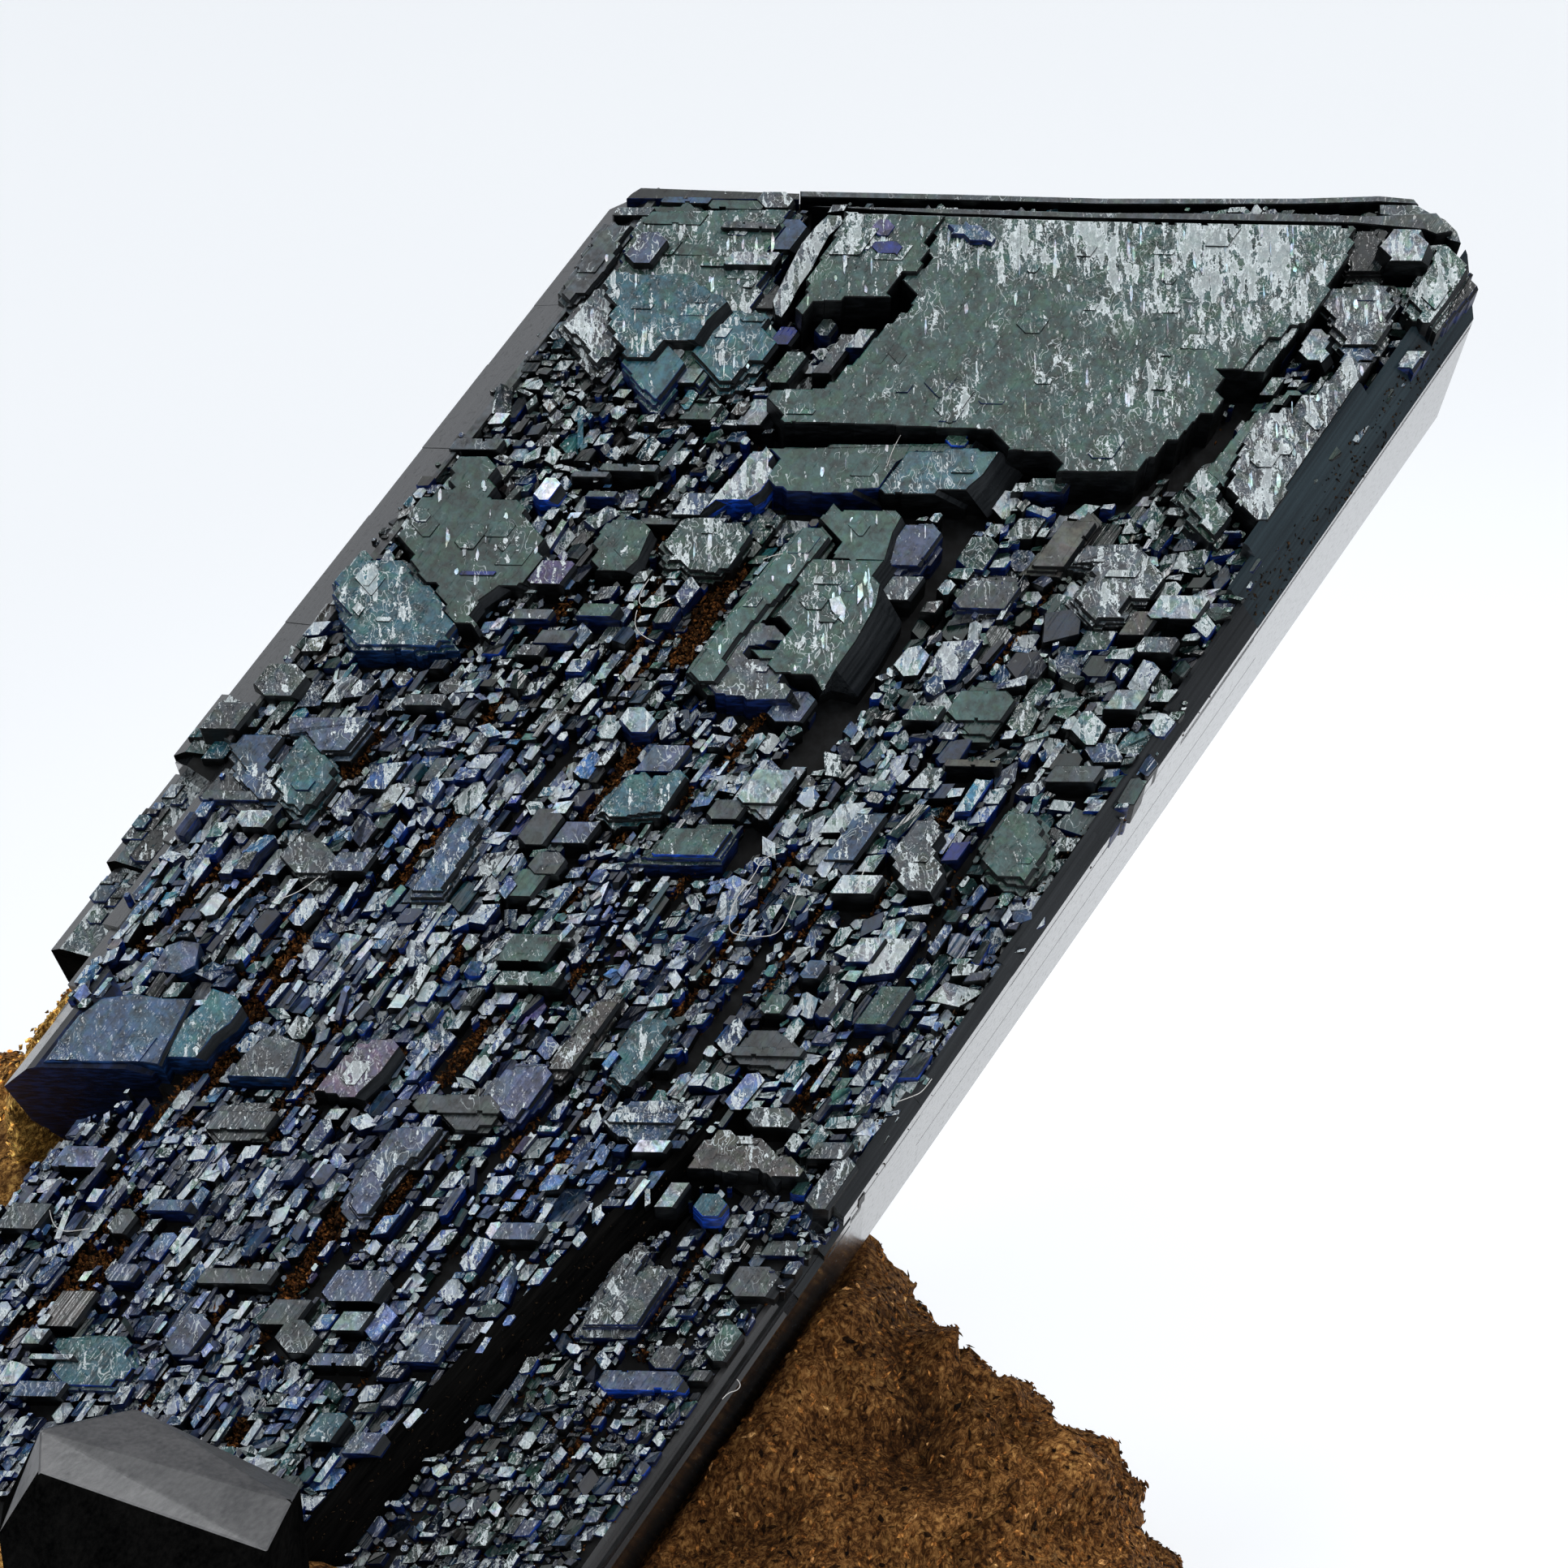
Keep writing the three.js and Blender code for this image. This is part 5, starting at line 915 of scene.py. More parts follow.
# a lighter grey copy of the crystal for the front crystal's upward faces: painted light
M_FRONT_LIT = crystal_side("vivianite_front_painted_light", 0.45, (0.050, 0.050, 0.052), (0.115, 0.113, 0.114), 0.28)
M_PRISM = crystal_side("vivianite_prism", 0.07, (0.003, 0.006, 0.009), (0.022, 0.037, 0.045), 0.24)
CRYSTAL = [M_TOP, M_WALL, M_SIDE, M_BEV, M_FACE, M_GREY, M_PAINTED_SHADE, M_PRISM]
M_ROCK = earthy("limonite", (0.016, 0.007, 0.002), (0.090, 0.037, 0.010), (0.26, 0.125, 0.038), (0.46, 0.27, 0.09))
M_FILL = earthy("limonite_fill", (0.010, 0.006, 0.004), (0.050, 0.024, 0.010), (0.17, 0.080, 0.026), (0.36, 0.20, 0.08), 1.6)

# ------------------------------------------------------------------ the blade's body
LEFT, LEFT_LOW, RIGHT, DEPTH = -16.55, -14.45, 9.2, 10.0
SUNK = -1.15
END_AT_LEFT, END_SLOPE = 13.9, .668
TIP = [(5.5, 28.6), (7.5, 28.0), (9.2, 26.5)]

def end_edge(w):
    if w <= TIP[0][0]:
        return END_AT_LEFT + (w - LEFT) * END_SLOPE
    a, b = (TIP[0], TIP[1]) if w <= TIP[1][0] else (TIP[1], TIP[2])
    return a[1] + (b[1] - a[1]) * (w - a[0]) / (b[0] - a[0])

def foot_edge(w):
    return -34 + (w + 13.5) * .355

body = Pile()
S0 = -10.4
# upper part: a core below the crystals' feet, and the smooth bevelled rims on both long edges; the core's top, seen in
# the gaps between crystals, carries the near-black painted shade
core = [(-16.0, SUNK), (5.5, SUNK), (7.5, SUNK), (8.95, SUNK), (RIGHT, -1.5), (RIGHT, -8.83), (8.35, -DEPTH), (7.5, -DEPTH), (5.5, -DEPTH),
        (-15.4, -DEPTH), (LEFT, -8.42), (LEFT, -1.75)]
extrude(body, core, end_edge, lambda w: S0 + .6, [WALL, WALL, WALL, BEV, FACE, BEV, SIDE, SIDE, SIDE, SIDE, SIDE, SIDE], PAINTED_SHADE_WALL, SIDE, 0.0,
        [[0, 1, 8, 9, 10, 11], [1, 2, 7, 8], [2, 3, 4, 5, 6, 7]])

def rim(side, s0, s1, shift=0.0, top=0.0, inner=0.0, edge_h=None):
    """A length of smooth bevelled edge; inner widens its flat top."""
    if side < 0:
        hb = -1.72 if edge_h is None else edge_h
        sec = [(LEFT + shift, hb - .5), (LEFT + shift, hb), (LEFT + shift + (top - hb) / 1.22, top), (LEFT + shift + (top - hb) / 1.22 + .12 + inner, top - .02),
               (LEFT + shift + (top - hb) / 1.22 + .16 + inner, SUNK - .3)]
        mats = [SIDE, GREY, TOP, WALL, WALL]
    else:
        hb = -1.17 if edge_h is None else edge_h
        sec = [(RIGHT + shift, hb - 1.1), (RIGHT + shift, hb), (RIGHT + shift - (top - hb) / K, top), (RIGHT + shift - (top - hb) / K - .10 - inner, top - .02),
               (RIGHT + shift - (top - hb) / K - .14 - inner, min(SUNK, top) - .3)]
        mats = [FACE, BEV, BEV, WALL, WALL]
    extrude(body, sec, s1, s0, mats, (0.05, 0.055, 0.055), WALL, .1)

flat = lambda x: (lambda w: x)
for s0, s1, sh, tp, inn in [(-8.6, -4.0, .02, -.02, .0), (-4.0, 0.5, -.01, .03, .10), (0.5, 3.4, .015, .0, .0), (3.4, 7.0, -.01, .05, .12), (7.0, 9.6, .01, .0, .0)]:
    rim(-1, flat(s0), flat(s1), sh, tp, inn)
rim(-1, flat(9.6), lambda w: min(end_edge(w), 14.75), 0, .04, .08)
for s0, s1, sh, tp, inn, eh in [(-10.2, -6.0, 0, -.08, .10, -.62), (-6.0, -1.0, 0, -.12, .0, -.58), (-1.0, 4.2, 0, -.06, .10, -.64), (4.2, 8.8, 0, -.08, .12, -.70), (8.8, 13.2, 0, -.02, .05, -.98)]:
    rim(1, flat(s0), flat(s1), sh, tp, inn, eh)

# smooth dark prism face beside the long plates near the tip, rising above the broad face
hp = .92
sec = [(RIGHT, -1.9), (RIGHT, -1.17), (RIGHT - (hp + 1.17) / K, hp), (RIGHT - (hp + 1.17) / K - .15, hp - .02), (RIGHT - (hp + 1.17) / K - .18, -1.4)]
extrude(body, sec, flat(21.4), flat(14.6), [FACE, PRISM, PRISM, WALL, WALL], (0.03, 0.035, 0.04))
hp = .45
sec = [(RIGHT, -1.9), (RIGHT, -1.17), (RIGHT - (hp + 1.17) / K, hp), (RIGHT - (hp + 1.17) / K - .15, hp - .02), (RIGHT - (hp + 1.17) / K - .18, -1.4)]
extrude(body, sec, lambda w: end_edge(w) - .02, flat(21.4), [FACE, PRISM, PRISM, WALL, WALL], (0.03, 0.035, 0.04))
extrude(body, sec, flat(14.6), flat(13.2), [FACE, PRISM, PRISM, WALL, WALL], (0.03, 0.035, 0.04))

# lower part, left of the long step
def low_block(s_top, s_bot, left_top, left_bot, step_top, step_bot, top):
    hb = -1.6
    rows = []
    for s, lf, st in ((s_bot, left_bot, step_bot), (s_top, left_top, step_top)):
        rows.append([(lf, s, hb), (lf + (top - hb) / 1.22 * .98, s, top), (st, s, top), (st + (top + DEPTH) / 6.0, s, -DEPTH), (lf, s, -DEPTH + 1)])
    k = 5
    pts = place(np.array(rows[0] + rows[1]))
    faces = [[i, (i + 1) % k, k + (i + 1) % k, k + i] for i in range(k)] + [list(range(k))[::-1], [k + i for i in range(k)]]
    mats = [SIDE, WALL, BEV, SIDE, SIDE, WALL, WALL]
    # section runs clockwise seen from the tip
    body.add(pts, faces, mats, [(*PAINTED_SHADE_WALL, 0)] * 7)

low_block(S0 + 1, -18.6, LEFT_LOW - .3, LEFT_LOW, 4.0, 2.8, SUNK)
low_block(-18.6, -19.9, -10.1, -11.1, 2.8, 2.6, SUNK)
low_block(-19.9, -21.6, -11.1, -11.85, 2.6, 2.35, SUNK)
low_block(-21.6, -33.0, -11.95, -12.35, 2.35, .6, SUNK)
# the long step: a smooth prism face between the two levels, in the near-black painted-shade material
sec_pts = []
for s, top_w in ((-34.0, .45), (-26.0, 1.75), (-20.0, 2.62), (-14.5, 3.62), (-11.0, 4.35), (-9.3, 4.7)):
    drop = 1.95 if s < -12 else (1.5 if s < -10 else .9)
    sec_pts.append([(top_w - .35, s, -1.6), (top_w - .30, s, -.10), (top_w, s, -.12), (top_w + drop / K * .80, s, -.12 - drop), (top_w + drop / K * .80, s, -3.2)])
pts = place(np.array(sum(sec_pts, [])))
faces, mats = [], []
for r in range(len(sec_pts) - 1):
    for i in range(5):
        j = (i + 1) % 5
        faces.append([r * 5 + i, r * 5 + j, (r + 1) * 5 + j, (r + 1) * 5 + i])
        mats.append(SHADE_BLK)
faces.append([4, 3, 2, 1, 0]); mats.append(WALL)
k = (len(sec_pts) - 1) * 5
faces.append([k + i for i in range(5)]); mats.append(WALL)
body.add(pts, faces, mats, [(*PAINTED_SHADE_WALL, 0)] * len(faces))
# lower-left edge rims
def rim_at(left, hb, top, s0, s1, inner=.1, mat=SIDE):
    sec = [(left, hb - .5), (left, hb), (left + (top - hb) / 1.3, top), (left + (top - hb) / 1.3 + .12 + inner, top - .02), (left + (top - hb) / 1.3 + .16 + inner, SUNK - .3)]
    extrude(body, sec, flat(s1), flat(s0), [SIDE, mat, TOP, WALL, WALL], (0.05, 0.055, 0.055), WALL, .1)
rim_at(-15.1, -1.1, -.15, -12.2, -8.0, .0, GREY)
rim_at(-15.0, -1.2, -.20, -15.4, -12.2, .0, GREY)
rim_at(-14.62, -1.0, -.05, -17.6, -15.4, .0, GREY)
# the thick left crystal whose dark end stands free of the parts below it
extrude(body, [(-14.35, -1.4), (-13.5, .62), (-13.25, .86), (-11.0, .86), (-10.4, .1), (-10.2, -9.4), (-13.3, -9.4), (-14.2, -5.4)],
        lambda w: -16.4 - (w + 14) * .5, lambda w: -20.45 + (w + 13.2) * .66, [GREY, GREY, WALL, WALL, WALL, SIDE, SIDE, GREY], (.003, .009, .036))

# lower terrace
TERR = -2.55
extrude(body, [(-8, TERR), (9.0, TERR), (RIGHT, -3.2), (RIGHT, -8.83), (8.35, -DEPTH), (-8, -DEPTH)], flat(S0 + 1.4), foot_edge,
        [WALL, BEV, FACE, BEV, SIDE, SIDE], PAINTED_SHADE_WALL)
extrude(body, [(RIGHT, -3.4), (RIGHT, -2.95), (8.72, -2.32), (8.55, -2.32), (8.45, -2.9)], flat(-13.2), lambda w: foot_edge(w) + .2, [FACE, GREY, GREY, WALL, WALL], (0.05, 0.055, 0.06))
# ramp of narrow steps from the upper part down to the terrace, along the right edge
for i, (s1, s0, tp) in enumerate([(-9.2, -11.2, -1.15), (-11.0, -12.6, -1.75), (-12.4, -14.2, -2.2)]):
    extrude(body, [(RIGHT, tp - 1.8), (RIGHT, tp - 1.1), (RIGHT - .8, tp), (5.4 - .1 * i, tp - .05), (5.0, tp - 1.2), (5.0, -4)], flat(s1), flat(s0),
            [FACE, BEV, WALL, WALL, WALL, WALL], PAINTED_SHADE_WALL)
# thinner parallel crystals on the underside
extrude(body, [(-12.3, -9.0), (6.3, -9.0), (7.2, -10.2), (7.2, -12.4), (6.3, -13.2), (-12.3, -13.2), (-13.2, -12.3), (-13.2, -10.2)],
        lambda w: 1.5 + (w + 13.2) * END_SLOPE, lambda w: foot_edge(w) + 1, [SIDE] * 8)
extrude(body, [(-8.7, -12.4), (2.2, -12.4), (3.0, -13.5), (3.0, -14.2), (2.2, -14.9), (-8.7, -14.9), (-9.5, -14.1), (-9.5, -13.5)],
        lambda w: -9.5 + (w + 9.5) * END_SLOPE, lambda w: foot_edge(w) + 3, [SIDE] * 8)
for w0, wd, s1, s0, t in [(-9.0, 2.6, 2.8, -22, .5), (-4.2, 1.7, 6.4, -18, .35), (0.6, 3.0, 9.0, -12, .55), (4.4, 1.2, 11.2, -9, .3), (-12.0, 1.6, .4, -16, .4)]:
    extrude(body, [(w0, -12.9), (w0 + wd, -12.9), (w0 + wd, -13.2), (w0 + wd - t / K, -13.2 - t), (w0 + t / K, -13.2 - t), (w0, -13.2)],
            lambda w, a=s1, c=w0: a + (w - c) * END_SLOPE, flat(s0), [SIDE] * 6)
# ledges on the underside of the upper part and on its back end
for w0, wd, s0, t in [(-14.6, 3.4, 3.0, .45), (-10.6, 2.1, 5.5, .8), (-7.9, 4.2, 8.0, .35), (-2.6, 1.4, 10.5, .6), (0.2, 5.6, 12.0, .4)]:
    extrude(body, [(w0, -9.6), (w0 + wd, -9.6), (w0 + wd, -10.0), (w0 + wd - t / K, -10.0 - t), (w0 + t / K, -10.0 - t), (w0, -10.0)],
            lambda w: end_edge(w) - .35 - .1 * t, flat(s0), [SIDE] * 6)
# crystals that show past the left edge, lower than the broad face; their left faces and ends are in the near-black
# painted-shade material
for lf, rt, tp, bt, bl, s1, s0, sl in [(-16.62, -13.0, -.85, -7.2, .40, -7.2, -9.9, .5), (-16.85, -12.5, -2.9, -8.4, .35, -9.75, -13.4, .3), (-16.66, -12.5, -3.4, -7.8, .35, -12.7, -16.7, .35)]:
    extrude(body, [(lf, tp - bl * K), (lf + bl, tp), (rt, tp), (rt, bt), (lf + bl, bt), (lf, bt + bl * K)],
            flat(s1), lambda w, a=s0, q=sl: a + (w + 17) * q, [GREY, TOP, WALL, SIDE, SIDE, SHADE_BLK], (0.030, 0.050, 0.052), SHADE_BLK, .75)
    gl = np.random.default_rng(int(-s0 * 10))
    for _ in range(16):
        cw, cs = gl.uniform(lf + .3, -14.9), gl.uniform(s0 + .9, s1 - .3)
        W = gl.uniform(.25, .7)
        plate(body, nibble(hexagon(W, W * gl.uniform(.9, 2.2), W * gl.choice([.45, .1])) + (cw, cs), gl, .3), tp + gl.uniform(.03, .28), tp - .3,
              np.array(TINTS[gl.choice(["green", "teal", "grey", "blue", "dark"])]) * gl.uniform(.4, 1.4), gl.uniform(.3, 1.0), .03, 0, tuple(gl.normal(0, .05, 2)),
              PAINTED_SHADE_WALL if gl.random() < .6 else NAVY_WALL)
# a fine ledge along the right side face
for h0, th, s0, s1, out in [(-5.3, .06, -6, 14.0, .004)]:
    extrude(body, [(RIGHT - .2, h0), (RIGHT + out, h0 - .03), (RIGHT + out, h0 - th), (RIGHT - .2, h0 - th - .04)], flat(s1), flat(s0), [FACE] * 4)

# ------------------------------------------------------------------ listed plates
plates = Pile()
for i, (name, top, base, kind, white, outline) in enumerate(PLATES):
    g = np.random.default_rng(100 + i)
    t = np.array(TINTS[kind]) * g.uniform(.85, 1.15)
    big = abs(area2(np.array(outline))) > 4.0
    mid_v = float(np.mean([-.601 * a + .875 * b for a, b in outline]))
    if kind in ("grey", "brown") and mid_v < 4 and not name.startswith(("block", "mid")):
        t *= .7
    t *= {"f1": .74, "mid_left": 1.25, "h5": .85, "m_plate": .80}.get(name, 1.0)
    bev = 0.0
    if name in ("h2", "h3", "mid", "mid_low"):
        bev = 1.15
    elif name in ("t1",):
        bev = .2
    elif not name.startswith(("m_", "end", "e_plate", "mid_glint", "f1_hole", "block1_", "thin")):
        bev = min(.35, .3 * (top - base)) * g.uniform(.4, 1.0)
    tilt = (0, 0) if big else tuple(g.normal(0, .02, 2))
    wc = PAINTED_SHADE_WALL
    if name in ("block1", "block2", "block3", "f2", "block4"):
        wc = (.005, .022, .075)
    elif name in ("l1", "r9", "p1", "t3", "h1", "f10", "m_notch"):
        wc = BLUE_WALL
    elif g.random() < .3:
        wc = NAVY_WALL
    size = abs(area2(np.array(outline)))
    if name.startswith(("end", "thin", "mid_glint", "block")):
        shape = outline
    elif size < 1.7 and not name.startswith(("m_", "tip", "e_", "wall")):
        shape = nibble(angular(outline, g), g, .4)
    else:
        shape = nibble(outline, g, .62 if big else .45, bev > .3)
    plate(plates, shape, top, base, t, white, .02 if not big else .035, bev if bev > .3 else min(bev, .12), tilt, wc)
    if size > 1.2 and bev <= .3 and not name.startswith(("m_", "end", "thin", "block", "mid_glint", "e_")):
        # lower growth steps round the plate, their tint cut to .5 to .9 of the plate's: painted shade
        for grow, down in ((.10, .22), (.22, .46)):
            ring = ccw(np.array(outline, float))
            ring = offset(ring, g.uniform(.1, 1.5, len(ring)) * grow)
            plate(plates, nibble(ring, g, .34), top - down * g.uniform(.8, 1.2), base, t * g.uniform(.5, .9), white * .8, .02, 0.0, tilt, NAVY_WALL if wc is BLUE_WALL else wc)
    # thin growth layers lying on the plate
    area = abs(area2(np.array(outline)))
    if area > .8 and not name.startswith(("end", "thin")):
        po = np.array(outline)
        lo, hi = po.min(0), po.max(0)
        want = int(min(60, area * (.5 if not name.startswith("m_plate") else .22)))
        got = 0
        for _ in range(want * 6):
            c = g.uniform(lo, hi)
            W = g.uniform(.25, .85)
            L = W * g.uniform(.8, 2.0)
            hx = hexagon(W, L, .46 * W if g.random() < .6 else g.uniform(-.46, .46) * W) + c
            if not inside(hx[:, 0], hx[:, 1], po).all():
                continue
            up = g.uniform(.02, .10)
            plate(plates, nibble(hx, g, .3), top + up, top - .05, t * g.uniform(.6, 1.5), min(1.3, white + g.uniform(-.1, .6)), .012, 0.0,
                  tuple(g.normal(0, .03, 2)), PAINTED_SHADE_WALL if g.random() < .7 else NAVY_WALL)
            got += 1
            if got >= want:
                break

# narrow whitish marks that run up the large plates: partly etching, partly painted highlight streaks
gd = np.random.default_rng(303)
for i, (name, top, base, kind, white, outline) in enumerate(PLATES):
    po = np.array(outline)
    area = abs(area2(po))
    if area < 1.5 or not name.startswith(("m_", "h", "e_", "j1", "mid", "tip", "u_head", "f1")) or name.startswith("mid_glint"):
        continue
    lo, hi = po.min(0), po.max(0)
    want = int(area * (1.2 + 4.5 * white))
    if name == "m_plate":
        want = 520
    for _ in range(want):
        c = gd.uniform(lo, hi)
        if name == "m_plate":
            q3 = c[0] * P + c[1] * C + top * N
            ce, cv = q3 @ E_DIR, q3 @ V_DIR
            dens = sum(a * max(0, 1 - ((ce - x) / rx) ** 2 - ((cv - y) / ry) ** 2) for x, y, rx, ry, a in ETCH_AND_HIGHLIGHT)
            if gd.random() > .10 + .95 * dens:
                continue
        hw, hl = gd.uniform(.025, .075), gd.uniform(.10, .42)
        m = 9
        th = np.arange(m) / m * 2 * np.pi + gd.uniform(0, .6)
        rr = gd.uniform(.65, 1.25, m)
        le, lv = hw * rr * np.cos(th), hl * rr * np.sin(th)
        # back to blade coordinates: the e direction is (1, .665), v is across it
        k_e = 1 / math.hypot(1, .665)
        ws = np.column_stack([c[0] + le * k_e - lv * .665 * k_e, c[1] + le * .665 * k_e + lv * k_e])
        if not inside(ws[:, 0], ws[:, 1], po).all():
            continue
        v_ = gd.uniform(.10, .75)
        plate(plates, ws, top + gd.uniform(.012, .035), top - .03, (v_, v_ * 1.05, v_ * 1.04), 1.0, .006, 0.0)

# ------------------------------------------------------------------ the mosaic of small crystals
RES = 0.06
W0, S0G, W1, S1G = -17.0, -35.0, 10.0, 30.0
GW, GS = int((W1 - W0) / RES), int((S1G - S0G) / RES)
gx = W0 + (np.arange(GW) + .5) * RES
gy = S0G + (np.arange(GS) + .5) * RES
GX, GY = np.meshgrid(gx, gy, indexing="ij")
cover = np.zeros((GW, GS), np.float32)
allowed = np.ones((GW, GS), bool)
level = np.zeros((GW, GS), np.float32)

end_line = np.vectorize(end_edge)(gx)[:, None]
allowed &= (GY < end_line - .25)
allowed &= (GX < 8.42 + .22 * wave(GX * 1.5, GY * 1.9, 92, 3) + .60 * (GY < 9.5)) & (GX > -15.35)
allowed &= ~((GY < -8.0) & (GX < -14.45 + .45 * (GY < -14.6)))
allowed &= ~((GY < -18.2) & (GX < np.interp(GY, [-24.5, -21.3, -19.6, -18.9, -18.2], [-11.8, -11.6, -10.9, -9.98, -9.7])))
step_w = np.interp(gy, [-34, -26, -20, -14.5, -11, -9.3], [.45, 1.75, 2.62, 3.62, 4.35, 4.7])[None, :]
low = GY < -9.3
ragged = .14 * wave(GX * 2.0, GY * 2.2, 91, 2)
on_step = low & (GX > step_w + .06 + ragged) & (GX < step_w + .86 + ragged)
terr = low & (GX >= step_w + .5)
allowed &= ~on_step
allowed &= ~(terr & (GX > 8.62 - .3 * (GY < -22)) & (GY < -13))
foot_line = np.array([foot_edge(w) for w in gx])[:, None]
allowed &= GY > foot_line + .3
taken = np.zeros_like(allowed)
shadow = np.zeros_like(allowed)
V2 = np.array([-0.601, 0.875])
for name, top, base, kind, white, outline in PLATES:
    poly = np.array(outline)
    lo, hi = poly.min(0) - 1.2, poly.max(0) + 1.2
    i0, i1 = max(0, int((lo[0] - W0) / RES)), min(GW, int((hi[0] - W0) / RES) + 1)
    j0, j1 = max(0, int((lo[1] - S0G) / RES)), min(GS, int((hi[1] - S0G) / RES) + 1)
    if i1 <= i0 or j1 <= j0:
        continue
    X, Y = GX[i0:i1, j0:j1], GY[i0:i1, j0:j1]
    ins = inside(X, Y, poly)
    taken[i0:i1, j0:j1] |= ins
    gap = .55 if name in ("m_plate", "m_upper_left", "m_right_low") else (.40 if name in ("h2", "h3", "mid", "mid_low", "h_big_low", "block1", "f2", "l1", "tip_round", "h_big") else .16)
    # a band below each plate is left bare, so that the sunk core's near-black painted shade shows there as the plate's
    # shadow
    for d in (np.arange(1, 6) / 5.0) * gap:
        shadow[i0:i1, j0:j1] |= inside(X + V2[0] * d, Y + V2[1] * d, poly)
free = allowed & ~taken & ~shadow
for line, hw in BLACK:
    free &= ~(seg_dist(GX, GY, line) < hw)
groove = np.zeros_like(free)
patchy = wave(GX * 1.1, GY * .55, 71, 2)
for line, hw in GROOVES:
    groove |= (seg_dist(GX, GY, line) < hw * (.62 + .25 * patchy)) & (patchy > -.45)
# long narrow furrows along the blade in its lower half, some filled with limonite
gf = np.random.default_rng(14)
for _ in range(96):
    fw = gf.uniform(-14, 7.6)
    fs = gf.uniform(-30, 1.5) if gf.random() < .8 else gf.uniform(-8, 9)
    if -.601 * fw + .875 * fs > 6.5:
        continue
    fl = gf.uniform(1.8, 8.5)
    line = [(fw, fs), (fw + gf.uniform(-.12, .12), fs + fl * .5), (fw + gf.uniform(-.1, .1), fs + fl)]
    hw = gf.uniform(.05, .12)
    strip = seg_dist(GX, GY, line) < hw * (1 + .4 * patchy)
    if gf.random() < .40:
        groove |= strip & (patchy > -.7)
    free &= ~strip
free &= ~groove
cover[~free] = 1.0

def region(w, s):
    """How far up and how far right a point lies on the blade, each 0 to 1, and its position v up the blade; size,
    elongation, tint and level of the small crystals are worked out from these.
    """
    v = -0.601 * w + .875 * s
    up = np.clip((v + 12) / 30, 0, 1)                     # 0 low-left, 1 top
    right = np.clip((w + 12) / 20, 0, 1)
    return up, right, v

def tint_for(w, s, g):
    up, right, v = region(w, s)
    green = .12 + .55 * up * right + .30 * right
    blue = .95 * (1 - up) * (1 - .45 * right) + .10
    r = g.random()
    if r < green:
        k = "green"
    elif r < green + blue * .85:
        k = "lav" if g.random() < .50 * (1 - up) + .12 else "blue"
    else:
        k = ("grey", "grey", "teal", "brown")[g.integers(0, 4)]
    c = np.array(TINTS[k])
    for (sw, ss, rad, kind) in SPOTS:
        d = math.hypot(w - sw, s - ss)
        if d < rad * g.uniform(.5, 1.2):
            c = np.array(TINTS[kind]) * 1.15
    return c

crystals = []
# long shallow grooves along the blade: the small crystals keep to columns between them
gc = np.random.default_rng(8)
COLS = [-17.0]
while COLS[-1] < 10:
    COLS.append(COLS[-1] + gc.uniform(.26, .62))
COLS = np.array(COLS)
COL_H = gc.normal(0, .16, len(COLS))

